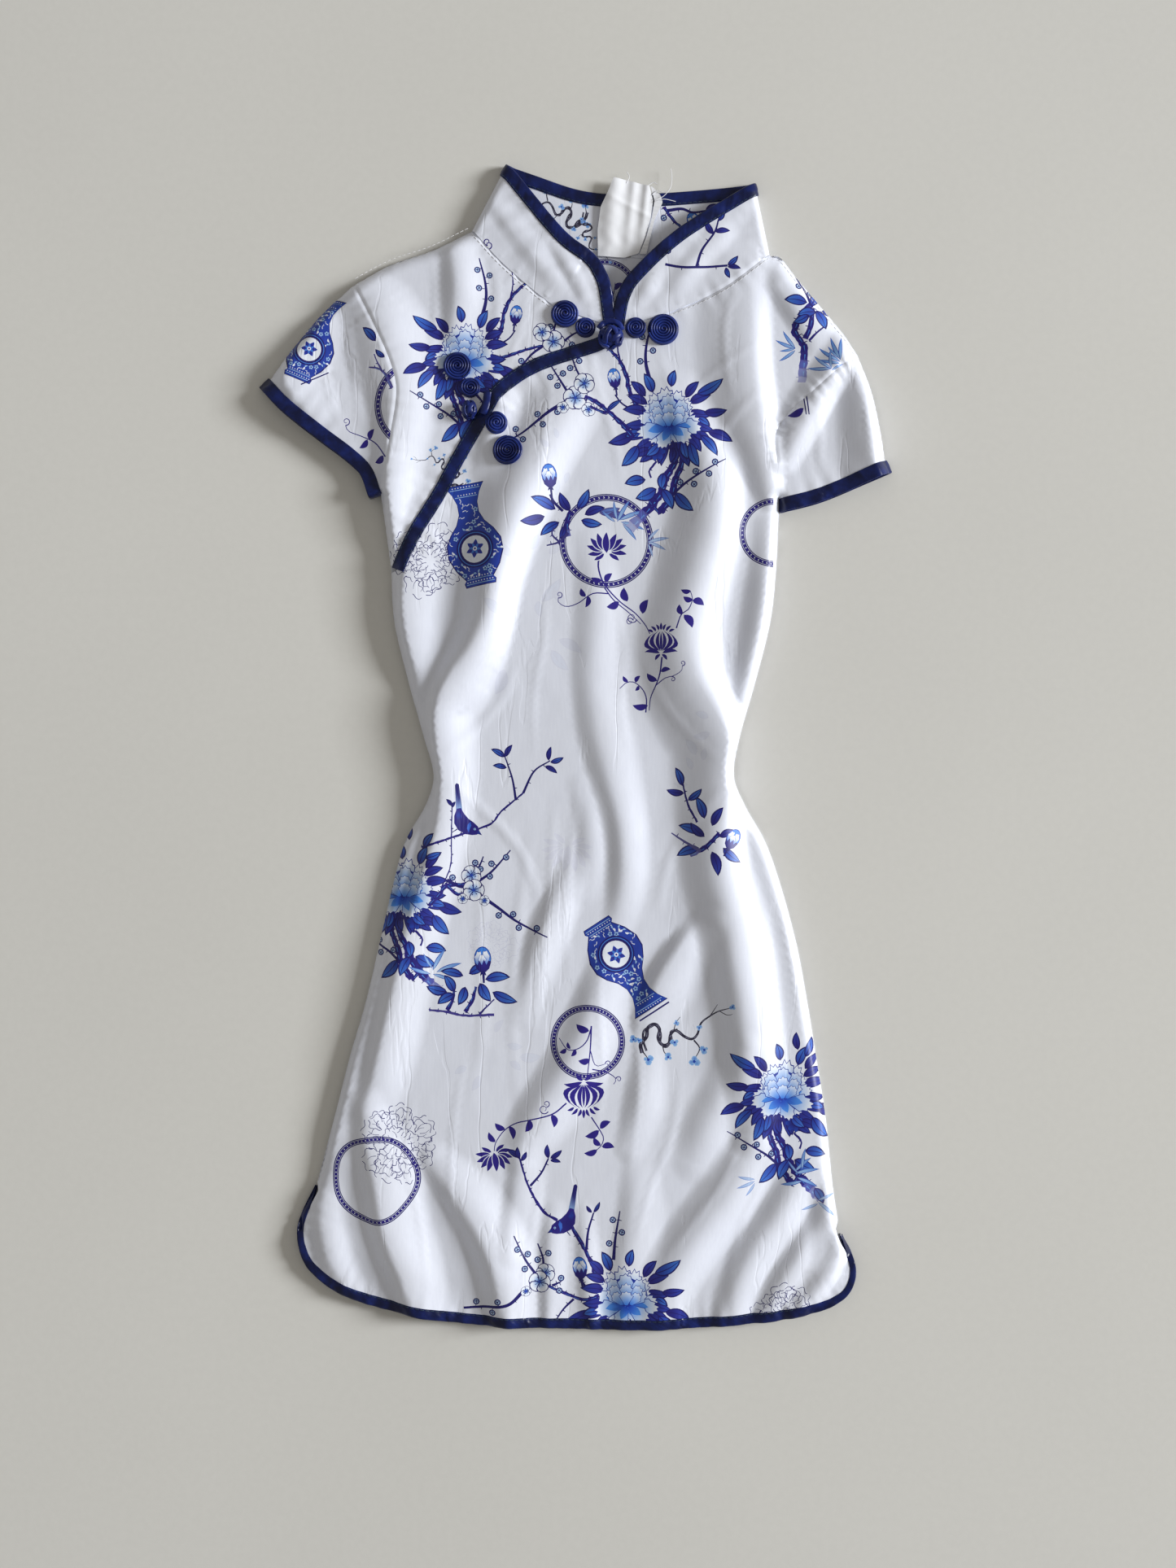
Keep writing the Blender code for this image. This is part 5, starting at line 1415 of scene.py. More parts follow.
def wound_branch(pen):
    """A dark branch with a thinner stem wound round it, and small blue blossoms."""
    for width, end_width, path in WOUND_STEMS:
        run = spline(path, max(4, int(length_of(np.array(path, float)) / 1.2)))
        widths = 0.85 * np.linspace(width, end_width, len(run))
        for k in range(0, len(run) - 1, 2):
            pen.line(run[k:k + 4], widths[k], SOOT, widths[min(k + 3, len(run) - 1)], 1.2)
            if width > 1.4 and k % 4 == 0:
                pen.line(run[k:k + 3], 0.3 * widths[k], (0.50, 0.50, 0.60), 0.2, 1.2)
    for number, (x, y, size) in enumerate(WOUND_BLOSSOMS):
        for k in range(4):
            angle = 1.9 * k + number
            petal_size = size * (0.38 + 0.09 * ((3 * k + number) % 4))
            pen.disc(x + 0.55 * size * math.cos(angle), y + 0.5 * size * math.sin(angle), petal_size,
                     (0.30, 0.50, 0.84), (0.62, 0.78, 0.95), 6)
        pen.disc(x, y, 0.3 * size, BLUE, count=5)


DARK_LEAVES = (
    # x, y, turn, length, width: close under the flower
    (-10, -1, 172, 15, 7), (-9, -6, 188, 15, 7), (-11, 4, 158, 12, 6), (-6, -13, 214, 15, 7),
    (-9, -11, 200, 15, 7), (-3, -16, 236, 14, 7), (0, -16, 256, 15, 6.5), (3, -16, 274, 14, 6.5),
    (6, -14, 292, 15, 7), (9, -12, 310, 15, 7), (12, -9, 326, 15, 7), (-7, -20, 226, 12, 6),
    (-2, -21, 250, 9, 5), (3, -20, 262, 9, 5), (-9, -21, 204, 11, 6), (6, -21, 300, 12, 6),
    (11, -1, -5, 14, 6.5), (12, 4, 22, 13, 6.5), (13, -6, -24, 14, 6.5), (10, 7, 52, 12, 6),
    (20, -1, 4, 13, 6), (22, -12, -20, 15, 7), (-12, 8, 134, 12, 6), (-18, -12, 202, 16, 7.5),
)
BRIGHT_LEAVES = (
    # on top of the dark ones and further out
    (16, 9, 29, 17, 7), (18, -14, -50, 15, 6.5), (12, -18, -70, 15, 7), (2, 13, 78, 10, 6),
    (-8, 10, 114, 12, 6.5), (-16, -19, 232, 15, 8), (-14, -12, 192, 10, 6), (-4, -18, 222, 11, 6),
    (8, -17, 286, 11, 5.5), (16, -4, -32, 9, 5),
)
FOOT_LEAVES = (
    (-12, -38, 190, 12, 7), (-6, -43, 206, 13, 8), (-2, -34, 262, 10, 6), (-3, -43, 298, 13, 7),
    (4, -45, 312, 15, 7.5),
)


def spray(pen, seed, upper=True):
    """A peony with its leaves, two climbing twigs, and below it gnarled stems that fade out."""
    stem = [(2, -19), (4, -28), (-1, -37), (-3, -44), (-8, -51), (-14, -58), (-21, -65)]
    trunk(pen, stem, 3.2, 5.4, 0.66, seed)
    trunk(pen, [(8, -18), (8, -29), (4, -39), (2, -47), (-4, -56)], 2.8, 3.8, None, seed + 1)
    trunk(pen, [(-6, -28), (-10, -33), (-9, -37)], 1.3, 1.0, None, seed + 2)
    trunk(pen, [(-4, -57), (-11, -48), (-10, -44)], 1.8, 1.0, None, seed + 3)
    twig(pen, [(3, -46), (10, -40), (18, -35), (32, -27)], 1.0, 0.3,
         ((7, -39.6), (14.5, -41), (15.4, -34), (22.6, -35.6), (26, -29)))
    if upper:
        stem = [(-16, 1), (-21, 11), (-22.5, 19), (-26, 27), (-31, 33), (-36, 37)]
        trunk(pen, stem, 3.0, 1.4, None, seed + 4)
        trunk(pen, [(-26, 26), (-27.6, 36), (-27, 44)], 1.1, 0.5, None, seed + 5)
        bud(pen.part(-29.5, 18.5, 8, 0.86))
        pen.line([(-29, 9), (-25, 4), (-18, 0)], 0.8, INDIGO, 1.1)
        twig(pen, [(-10, 18), (-12, 27), (-11.5, 37), (-8, 51)], 1.4, 0.4,
             ((-15, 27.5), (-8, 33.4), (-14, 41), (-7, 44)))
    leaves(pen, DARK_LEAVES, dark_leaf)
    for k in range(7):
        fringed_petal(pen.part(-6, -22.5, 51 * k), 5.6, 3.6, 3, INDIGO, BLUE, INDIGO, 40 * seed + k)
    leaves(pen, BRIGHT_LEAVES, leaf)
    leaves(pen, FOOT_LEAVES, leaf)
    peony(pen, seed)


def cluster(pen, table, stem):
    """A few leaves on a short stem."""
    trunk(pen, stem, 2.2, 3.0, 0.5)
    leaves(pen, table)


def blossoms_on_twigs(pen, twigs, flowers):
    """Blossoms on thin twigs with berries."""
    for path, width, berries in twigs:
        twig(pen, path, width, 0.4, berries)
    for x, y, radius, tilt in flowers:
        blossom(pen.part(x, y, 0, 1.25), radius, tilt)


def front_print():
    """Everything printed on the front."""
    shapes = []
    pen = partial(Pen, shapes)
    whole = pen(0, 0)

    # what shows faintly through from the back
    ghost = pen(-30, 66, 20, 1.0, fade=0.96)
    leaves(ghost, BRIGHT_LEAVES[:6])
    leaves(pen(-22, 92, 200, 0.9, fade=0.965), BRIGHT_LEAVES[3:9])
    sketched_flower(pen(-46, -110, 0, 0.6, fade=0.9), 22, 8)
    leaves(pen(84, 12, 80, 0.8, fade=0.96), BRIGHT_LEAVES[3:9])
    leaves(pen(76, -20, 250, 0.7, fade=0.965), BRIGHT_LEAVES[3:9])
    lotus(pen(-4, -60, 170, 1.3, fade=0.965))
    leaves(pen(-50, -172, 130, 0.8, fade=0.965), BRIGHT_LEAVES[3:9])
    leaves(pen(-6, 162, 30, 0.6, fade=0.96), BRIGHT_LEAVES[3:8])

    # rings lie under the other motifs
    roundel(pen(18.0, 113.4), 26.1, 22.3, 56)
    roundel(pen(7.7, -163.4), 20.7, 17.1, 60)
    roundel(pen(110.3, 117.9), 19.0, 15.5, 44, 90, 270)
    sketched_flower(pen(-96.8, -219.0), 21.0, 3)
    roundel(pen(-109.4, -239.0), 24.4, 21.2, 64, squash=0.025)
    sketched_flower(pen(-80.0, 102.2), 19.0, 4)
    sketched_flower(pen(116.0, -315.0), 17.0, 5)

    # the upper middle: leaves and a bud beside the ring, then the great flower
    cluster(whole, (
        (-10, 131, 155, 15, 6.8), (-16, 127, 195, 14, 6.5), (-8, 124, 215, 13, 6.0), (-2, 130, 120, 12, 6.0),
        (2, 131, 60, 13, 6.2), (6, 128, 20, 12, 5.8), (4, 125, -12, 12, 6.0), (-5, 122, -110, 8, 4.5),
    ), [(-2, 130), (-4, 122), (-3, 116)])
    pale = pen(10, 126, fade=0.25)
    leaves(pale, ((4, 3, 12, 12, 5.5), (9, 2, -8, 11, 5.0)))
    twig(pen(0, 0, fade=0.15), [(-3, 118), (-8, 113), (-15, 111)], 1.1, 0.4)
    twig(pen(0, 0, fade=0.15), [(-8, 113), (-12, 117), (-11, 121)], 0.8, 0.4)
    bamboo(pen(24, 124), ((0, 0, 60, 14), (1, 1, 20, 15), (0, 1, 100, 11), (2, 0, -18, 14), (3, -1, -50, 12),
                          (-1, 0, 140, 10)), 0.2)
    bamboo(pen(41, 113), ((0, 0, 10, 12), (0, 0, -25, 11), (0, 1, 45, 9), (0, -1, -70, 8)), 0.45)
    bud(pen(-13.5, 149.4, 6, 1.0))
    twig(whole, [(-13, 139), (-11, 135), (-6, 130)], 0.9, 0.9)
    spray(pen(51.8, 185.4), 1)
    blossoms_on_twigs(whole, (
        ([(8, 197), (2, 207), (-2, 218)], 0.9, ((-2, 209), (3, 213))),
        ([(-2, 193), (-8, 203), (-13, 211)], 1.0, ((-9, 199), (-6, 206), (-13, 204))),
        ([(-4, 190), (-14, 184), (-28, 173), (-38, 168)], 1.4,
         ((-9, 184), (-17, 177), (-20, 183), (-28, 169), (-32, 175))),
    ), ((0.9, 192.2, 5.6, 20), (5.8, 200.4, 4.8, 50), (-6.0, 186.6, 2.8, 0), (8.2, 186.0, 3.2, 30)))

    # lotus in the ring, its stem, and the seed head below it
    trunk(whole, [(33, 171), (25, 180), (18, 186), (13, 190), (6, 193)], 3.0, 2.0, None, 7)
    trunk(whole, [(18, 184), (13, 186), (9, 188)], 1.8, 1.2, None, 8)
    leaf(pen(18, 185, 38), 11, 3.4)
    sprig(whole, [(15, 108), (13.5, 100), (15.5, 92), (19.5, 86), (26, 79.5), (34, 73.5), (39.5, 67),
                  (42, 62)], (
        (15.4, 91.4, 165, 6, 2.6), (17.4, 90.4, 55, 6.4, 2.8), (29.6, 80.0, 105, 8, 3.6),
        (25.0, 79.8, 205, 7.5, 3.4), (38.0, 73.2, 70, 8.5, 3.6),
    ), ((35, 70, 160, 3.0, 1), (33, 69.6, 200, 2.2, -1)), 1.0)
    sprig(whole, [(17, 87.4), (22, 80.8), (30, 74.2), (37, 67.6)], ())
    sprig(whole, [(19.3, 84.2), (10.5, 84.2), (2.7, 79.2), (-3.9, 77.2), (-8.3, 79.4), (-8.6, 82.0)], (
        (6.5, 82.5, 120, 5.4, 2.4), (8.0, 83.0, 258, 6.6, 2.4),
    ), ((-8.6, 82.0, 70, 1.9, -1),))
    lotus(pen(18.2, 111.0))
    pod(pen(48.1, 57.8, 0, 0.8))
    sprig(whole, [(48.6, 49), (47.5, 40.1), (45.3, 33.5), (42.5, 26.9), (41.7, 19.7)], (
        (48.0, 41.0, 15, 5.4, 2.2), (46.0, 36.0, 145, 7, 2.8), (41.0, 22.4, 180, 8.5, 3.0),
    ), (), 0.9)
    sprig(whole, [(39.8, 18.6), (40.2, 26), (38.1, 31.3), (33.7, 35.2), (29.3, 35.2), (25.4, 31.8)], (
        (34, 35.2, 55, 4.6, 2.0), (30, 35.4, 130, 4.4, 1.8), (36, 33.4, 235, 3.4, 1.6),
    ))
    sprig(whole, [(45.3, 33.5), (50.3, 37.4), (54.7, 38.5), (59.1, 41.2), (59.6, 44.0)], (),
          ((59.6, 44.0, 80, 1.5, -1), (54, 38, -70, 1.4, 1)), 0.6)
    sprig(whole, [(56.4, 64.7), (59.1, 72.2), (63, 75), (65.2, 80.5), (64.1, 85.0)], (
        (60.5, 72, -55, 8.5, 3.6), (59.5, 72, 105, 6, 2.6), (65.2, 80, -20, 7, 3.4),
        (65.4, 80, 160, 5.6, 2.6), (64.4, 85, 172, 5.6, 2.2),
    ))

    # beside the opening: a vase, with a thin branch above it
    wound_branch(pen(-66.0, 148.0, 100, 0.55))
    vase(pen(-55.8, 116.5, 190, 1.06), 2)

    # the left hip
    trunk(whole, [(-84, -56), (-72, -52), (-60, -48), (-46, -43), (-40, -36), (-28, -26)], 1.3, 0.9)
    twig(whole, [(-32, -30), (-34, -18), (-38, -6)], 0.9, 0.4)
    twig(whole, [(-28, -26), (-22, -14), (-13, -8)], 0.9, 0.4)
    leaves(whole, ((-38, -6, 150, 9, 4.0), (-38, -6, 60, 8, 3.6), (-37, -12, 170, 8, 3.6),
                   (-14, -8, 80, 8, 3.4), (-13, -9, 20, 8, 3.6), (-16, -11, -30, 8, 3.4)))
    bird(pen(-61.4, -41.6, -19, 0.94))
    spray(pen(-93.0, -75.0, 0, 0.95, mirrored=True), 2, upper=False)
    leaves(whole, ((-91, -52, 100, 11, 5), (-83, -56, 55, 10, 5), (-82, -62, 20, 10, 5)), leaf)
    trunk(whole, [(-80, -88), (-74, -82), (-70, -77), (-56, -77)], 2.0, 2.6, None, 11)
    trunk(whole, [(-71, -76), (-64, -82), (-57, -80)], 2.2, 1.8, None, 12)
    trunk(whole, [(-73, -78), (-68, -66), (-67.5, -50), (-67.0, -33)], 0.7, 0.6, None, 13)
    leaves(whole, ((-67.0, -33, 130, 5, 2.6), (-67.2, -34, 60, 4, 2.2)), dark_leaf)
    blossoms_on_twigs(whole, (
        ([(-56, -74), (-52, -66), (-50, -61)], 1.0, ((-54.5, -64.5), (-51.6, -68.0))),
        ([(-53, -75), (-45, -69), (-35, -57.5)], 1.0, ((-45.5, -65), (-46.4, -72), (-37.4, -61.5))),
        ([(-48, -85), (-41, -90), (-33, -96), (-24, -101), (-14.5, -105.5)], 1.2,
         ((-41.5, -93.6), (-33.5, -93), (-30.4, -100.4), (-20.4, -100.6))),
        ([(-70, -74), (-62, -78), (-56, -76)], 1.4, ((-67, -72.6),)),
    ), ((-56.6, -71.4, 4.6, 40), (-55.4, -79.6, 5.0, 0), (-61.4, -84.4, 2.4, 20), (-49.4, -85.4, 2.4, 60)))
    bamboo(pen(-78, -124), ((0, 0, 60, 14), (2, -1, 20, 15), (0, 1, 120, 10), (-1, -2, 160, 13),
                            (0, -2, -20, 12)), 0.15)
    trunk(pen(0, 0, fade=0.15), [(-80, -146), (-70, -147), (-60, -149), (-44, -148.5)], 1.2, 1.4, None, 14)
    trunk(whole, [(-70, -146), (-67, -140), (-66, -134)], 2.2, 1.2, None, 15)
    trunk(whole, [(-60, -147), (-56, -140), (-54, -133)], 2.4, 1.4, None, 16)
    trunk(whole, [(-52, -148), (-47, -143), (-44, -140)], 1.2, 0.7, None, 17)
    leaves(whole, (
        (-66, -136, 120, 11, 6.2), (-70, -136, 165, 12, 6.2), (-66, -137, 210, 11, 6.2),
        (-60, -133, 250, 11, 6.4), (-61, -127, 168, 13, 5.6), (-58, -126, 25, 12, 6.0),
        (-52, -131, -60, 12, 7.0), (-49, -129, 6, 14, 6.6), (-45, -136, -22, 15, 6.6),
    ), leaf)
    bud(pen(-50.4, -117.6, 2, 1.12))

    # the right hip
    cluster(whole, (
        (72, -40, 110, 13, 6.0), (76, -44, 60, 12, 5.6), (70, -48, 160, 13, 6.0), (80, -50, 20, 10, 5.0),
        (82, -56, -40, 13, 6.0), (76, -58, -75, 14, 6.4), (69, -56, 200, 13, 6.2), (72, -50, 135, 11, 5.4),
    ), [(80, -48), (72, -56), (64, -60)])
    twig(pen(0, 0, fade=0.3), [(70, -58), (60, -52), (54, -48)], 1.2, 0.4)
    trunk(whole, [(60, -20), (63, -32), (68, -42)], 0.9, 1.2)
    leaves(whole, ((60, -22, 110, 11, 5.0), (61, -26, 170, 10, 4.6), (63, -30, 40, 10, 4.6)))
    bud(pen(87.8, -51.0, -30, 0.92))

    # the middle: a vase, a thin branch and the second ring with its seed head
    wound_branch(pen(46.4, -160.2))
    vase(pen(27.6, -121.5, 33, 1.04), 1)
    whole.line([(36.4, -151.8), (52.6, -141.2)], 0.9, INDIGO)
    sprig(whole, [(9.7, -154.2), (9.1, -167.3), (7.3, -183.9)], (
        (8.5, -157, 155, 8, 3.4), (9, -173, 185, 6.5, 3.0),
    ), (), 0.9)
    sprig(whole, [(9.4, -156), (7.2, -162.5), (2.5, -166.7), (-3.4, -167.3), (-8.1, -161.3)], (
        (1, -167, 240, 4.6, 2.0), (-4, -167, 210, 4.4, 2.0), (-2, -167, 110, 4, 1.6),
    ))
    sprig(whole, [(9.2, -168), (12, -176.2), (17.4, -175.6)], (), ((17.4, -175.6, 10, 1.6, 1),), 0.6)
    sprig(whole, [(10.2, -178.4), (18, -180.3), (23.3, -183.9), (22, -187)], (),
          ((23.3, -183.9, -10, 1.6, 1),), 0.7)
    pod(pen(5.5, -193.4, 180, 0.98))
    sprig(whole, [(-4, -196.9), (-11.7, -202.9), (-24.8, -206.4), (-32.1, -208.4), (-38.7, -212.8),
                  (-43.2, -219.4), (-44.0, -224)], (
        (-12, -203, -80, 7.6, 3.0), (-24, -206, 250, 7.4, 3.2), (-35.6, -210, -72, 7.6, 2.8),
        (-38, -212, 150, 6.6, 2.8), (-43.4, -219, 125, 6.6, 2.6),
    ), ((-14, -201.5, 150, 2.8, 1), (-15, -199, 90, 1.9, -1)), 0.9)
    lotus(pen(-43.7, -228.6, 188, 0.92))
    sprig(whole, [(9.7, -205.2), (14.4, -212.4), (16.5, -217.1), (14.4, -221.9), (9.7, -224.8)], (
        (14.5, -211.5, 35, 7, 3.0), (14, -212.5, 205, 8.5, 3.2), (14.8, -221, 130, 6, 2.6),
        (15.5, -221.5, -2, 7, 3.0), (13, -223.4, 195, 7.5, 2.8),
    ))

    # the right side above the hem
    spray(pen(116.0, -186.4, 0, 0.98, mirrored=True), 3, upper=False)
    leaves(whole, ((128, -172, 70, 12, 5.5), (124, -168, 96, 10, 5)))
    bamboo(pen(122, -236), ((0, 0, 10, 14), (1, -2, -25, 13), (0, 1, 40, 12), (4, -4, 190, 12),
                            (4, 2, 80, 12), (2, 0, 130, 9)), 0.15)
    leaf(pen(133, -244, -60, fade=0.25), 10, 6)
    bamboo(pen(100, -240), ((0, 0, 200, 11), (0, 1, 170, 10), (0, -1, 235, 9)), 0.5)
    bamboo(pen(135, -252), ((0, 0, -40, 12), (0, 1, 20, 10), (0, -1, 200, 10)), 0.5)

    # the middle of the hem
    twig(whole, [(-61, -311), (-48, -310), (-36, -308), (-28, -301)], 0.8, 1.2,
         ((-42, -306.6), (-54, -307.4), (-45, -313)))
    trunk(whole, [(-9, -262), (-17, -257), (-25, -243), (-30, -227)], 1.6, 1.0, None, 19)
    twig(whole, [(-24, -243), (-18, -236), (-14, -228)], 0.9, 0.5)
    leaves(whole, ((-30, -227, 150, 8, 4.0), (-30, -228, 100, 7, 3.4), (-29, -229, 60, 6, 3.0),
                   (-14, -228, 95, 8, 3.6), (-13, -228, 35, 8, 3.4), (-13, -229, -10, 6, 2.8)), dark_leaf)
    bird(pen(-3.6, -262.6, 14, 0.92, mirrored=True))
    trunk(whole, [(-1, -266), (5, -276), (10, -286), (12, -293)], 1.8, 2.4, None, 9)
    twig(whole, [(7, -278), (8, -268), (11, -258)], 1.0, 0.5)
    leaves(whole, ((11, -258, 60, 7, 2.6), (10, -258, 128, 5, 2.4)))
    spray(pen(28.4, -300.4), 4, upper=False)
    trunk(whole, [(14, -304), (4, -306), (-8, -301), (-16, -297)], 2.0, 1.4, None, 18)
    twig(whole, [(0, -306), (-6, -312), (-10, -318)], 0.9, 0.4)
    twig(whole, [(22, -284), (23, -272), (25.5, -257)], 1.2, 0.4,
         ((21.6, -262), (26.6, -268.6), (19.6, -275)))
    blossoms_on_twigs(whole, (
        ([(-17, -290), (-17, -283), (-20, -275)], 1.0, ((-20, -284), (-14, -280))),
        ([(-21, -292), (-27, -283), (-33, -270)], 1.0, ((-31, -277.6), (-25.4, -280.6), (-27, -288.6))),
        ([(-12, -298), (-7, -296)], 1.0, ((-7, -294), (-8, -301))),
    ), ((-15.6, -291.0, 4.4, 44), (-18.9, -296.1, 5.0, 10), (-26.4, -301.0, 2.4, 0)))
    bud(pen(3.4, -288.0, 6, 0.96))
    twig(whole, [(6, -298), (3, -294)], 0.9, 0.9)

    # the right shoulder
    trunk(whole, [(133, 246), (126, 238), (122, 230), (127, 221), (127, 212), (126, 201)], 3.0, 4.2, 0.62, 31)
    trunk(whole, [(132, 242), (131, 234), (128, 225)], 2.6, 3.0, None, 32)
    trunk(whole, [(130, 224), (135, 229), (140, 233)], 1.4, 0.8, None, 33)
    twig(whole, [(131, 244), (128, 252), (124, 259), (122, 266)], 1.0, 0.5,
         ((131, 251), (124.4, 254.6), (127, 261)))
    leaves(whole, (
        (129, 245, 172, 13, 7.2), (134, 241, -62, 12, 7.0), (134, 240, 190, 11, 6.4), (131, 243, 55, 12, 6.0),
        (137, 240, 20, 10, 5.4), (130, 238, 205, 10, 5.4), (136, 246, -15, 10, 5.6),
    ), leaf)
    bamboo(pen(122.6, 220), ((0, 0, 126, 12), (0, 0, 158, 12), (0, 0, 190, 9), (0, -1, 214, 11)), 0.1)
    bamboo(pen(147, 213), ((0, 0, 112, 14), (0, 0, 86, 13), (0, -1, 146, 14), (0, -2, 168, 12),
                           (-1, 1, 130, 9)), 0.05)
    bamboo(pen(142, 208), ((0, 0, 92, 11), (0, 0, 140, 12), (0, 0, 176, 13), (0, -1, 30, 8)), 0.2)
    return shapes


def yoke_print():
    """What is printed on the overlapping piece above the opening, beside the left sleeve."""
    shapes = []
    pen = partial(Pen, shapes)
    whole = pen(0, 0)

    trunk(whole, [(-50, 212), (-36, 216), (-24, 220), (-14, 222)], 2.0, 1.4)
    spray(pen(-59.9, 221.4, 0, 0.95, mirrored=True), 5)
    blossoms_on_twigs(whole, (
        ([(-12, 226), (-10, 234), (-8, 241)], 0.9, ((-13, 232), (-6, 236))),
        ([(-16, 222), (-24, 216), (-32, 206)], 1.0, ((-21, 213), (-29, 213))),
        ([(-8, 222), (0, 228), (6, 230)], 1.0, ((-1, 222),)),
    ), ((-11.3, 223.7, 5.2, 0), (-17.5, 229.0, 4.2, 30)))
    sketched_flower(pen(-84, 104), 17.0, 6)
    wound_branch(pen(-72.0, 156.0, 150, 0.4))
    return shapes


def sleeve_print(which):
    """What is printed on the upper layer of a sleeve."""
    shapes = []
    pen = partial(Pen, shapes)
    whole = pen(0, 0)

    if which == "left":
        roundel(pen(-84.6, 187.7), 25.4, 21.6, 58, 100, 260)
        vase(pen(-143.5, 225.5, 158, 0.92), 3)
        whole.line([(-150.5, 199.5), (-135.5, 206.5)], 0.7, INDIGO)
        sprig(whole, [(-103.7, 159.3), (-109.6, 167.5), (-117, 171.2), (-124.4, 174.1), (-126.2, 177.4)], (
            (-113, 169.4, 68, 6.6, 2.6), (-114, 169.6, 228, 6.6, 2.6), (-104.8, 160, 215, 6, 3.2),
        ), ((-126.2, 177.4, 80, 2.2, -1),))
        leaves(whole, ((-109, 223, 132, 11, 5.6), (-104, 214, 140, 7, 3.6)), leaf)
        trunk(pen(0, 0, fade=0.25), [(-100, 197), (-104, 205), (-108, 208), (-113, 209)], 1.8, 0.7, None, 4)
        trunk(pen(0, 0, fade=0.25), [(-105, 206), (-108, 211), (-110, 216)], 1.1, 0.6, None, 5)
    else:
        for offset in (0.0, 1.6):
            pen(offset, 0).line([(126.4, 196.0), (127.2, 189.0), (128.0, 182.6)], 0.8, INDIGO, 0.6)
        silhouette(pen(126.6, 186.2, 206), 9.4, 3.4)
    return shapes


def collar_print(which):
    """What is printed on the outer side of one of the collar's front flaps."""
    shapes = []
    pen = partial(Pen, shapes)
    whole = pen(0, 0)

    if which == "right":
        twig(whole, [(50.5, 266.2), (60, 264.4), (67.7, 264.4), (84.9, 265.6)], 0.9, 0.7)
        twig(whole, [(67.7, 264.4), (70.8, 273.8), (77.7, 283.7), (80, 291)], 1.0, 0.5)
        twig(whole, [(46.0, 272.0), (50.0, 275.6), (51.0, 281)], 0.9, 0.5, ((48, 276.5), (52, 273.5)))
        leaves(whole, ((85, 265.6, 42, 8, 3.8), (85, 265, -8, 7.5, 3.2), (84, 264.6, -70, 6.5, 3.4),
                       (77, 282.6, 118, 9, 4.2), (80, 290, 66, 8, 3.6), (78, 284, 6, 8.5, 3.8)))
    else:
        curl(pen(-47.6, 277.0, 100), 2.0, 1.1, 1, 0.8)
        curl(pen(-48.4, 275.0, 60), 2.4, 0.9, -1, 0.8)
    return shapes


def inside_print():
    """What is printed on the collar's inside and on the inside of the back below it."""
    shapes = []
    pen = partial(Pen, shapes)
    whole = pen(0, 0)

    roundel(pen(17.2, 252.6), 18.6, 15.4, 46)
    sprig(whole, [(20, 246), (22.4, 253), (23.0, 258)], ((22, 252, 140, 6, 2.4), (22.6, 254, 40, 6, 2.4)))
    wound_branch(pen(-2.0, 294.0, 150, 0.78))
    wound_branch(pen(7.0, 287.0, 285, 0.5))
    trunk(whole, [(50, 300), (55, 293), (60, 288), (63, 281)], 1.8, 1.2, None, 21)
    bud(pen(67, 292, 30, 0.9))
    twig(whole, [(52, 298), (60, 299), (66, 297), (74, 298)], 1.2, 0.6, ((50, 294), (80, 297)))
    twig(whole, [(50, 281), (54, 276), (60, 274)], 1.0, 0.4, ((50, 277), (56, 280)))
    leaves(whole, ((60, 288, 240, 9, 4.2), (73, 298, 20, 9, 4.2), (80, 300, -30, 8, 3.6)))
    return shapes


# The sprays on the outer side of the back: x, y, size, whether mirrored, and seed
OUTSIDE_SPRAYS = (
    (-54, 178, 1.0, True, 6), (72, -66, 1.0, False, 7), (-96, -190, 1.0, True, 8), (62, 208, 0.9, False, 9),
    (40, -286, 0.9, True, 10),
)


def outside_print():
    """The print on the outer side of the back, which lies on the floor."""
    shapes = []
    pen = partial(Pen, shapes)

    for x, y, size, mirrored, seed in OUTSIDE_SPRAYS:
        spray(pen(x, y, 0, size, mirrored), seed)
    roundel(pen(-30, 72), 24.0, 20.4, 52)
    lotus(pen(-30, 74))
    roundel(pen(-20, -120), 21.0, 17.4, 48)
    pod(pen(-20, -122, 0, 0.9))
    vase(pen(62, 96, -25, 0.95), 5)
    vase(pen(-72, -40, 30, 0.95), 6)
    bird(pen(-40, -236, 0, 0.9))
    return shapes


def whole_print():
    """The inked shapes of each surface that bears a print, by its name."""
    ink = {"front_panel": front_print(), "front_yoke": yoke_print()}
    for which in ("left", "right"):
        ink["sleeve_" + which] = sleeve_print(which)
        ink["collar_" + which] = collar_print(which)
    ink["collar_inside"] = ink["back_inside"] = inside_print()
    ink["back_outside"] = outside_print()
    return ink


# The collar

COLLAR_THICK = 1.0
COLLAR_SPRING = 2.2
COLLAR_BEND = 4.5


def line_gap(path, x, y):
    """How far each point is from the path."""
    return nearest_on(path, x, y)[0]


COLLAR_FOLDS = (
    # x, y, rise, west, east: soft ridges of the collar's two flaps
    ((-44, 302, 0.5, 7, 9), (-34, 287, 1.2, 8, 10), (-22, 271, 1.3, 8, 10), (-10, 256, 0.6, 7, 8)),
    ((-10, 276, 0.4, 5, 6), (-3, 265, 1.1, 6, 6), (3, 255, 1.1, 6, 6), (8, 245, 0.4, 5, 5)),
    ((92, 296, 0.4, 8, 8), (80, 282, 1.1, 9, 9), (68, 268, 1.2, 9, 9), (58, 254, 0.5, 8, 8)),
    ((48, 266, 0.4, 6, 6), (42, 255, 1.0, 6, 7), (37, 246, 0.5, 5, 6)),
)


# Spacing of the mesh on top and underneath, for the collar's front and for its back
COLLAR_STEPS = (1.8, 2.6)
COLLAR_BACK_STEPS = (3.2, 3.2)
# How far the collar's sheets come together at the outer fold: at 1 they would meet in one line
BEND_SHARE = 0.98


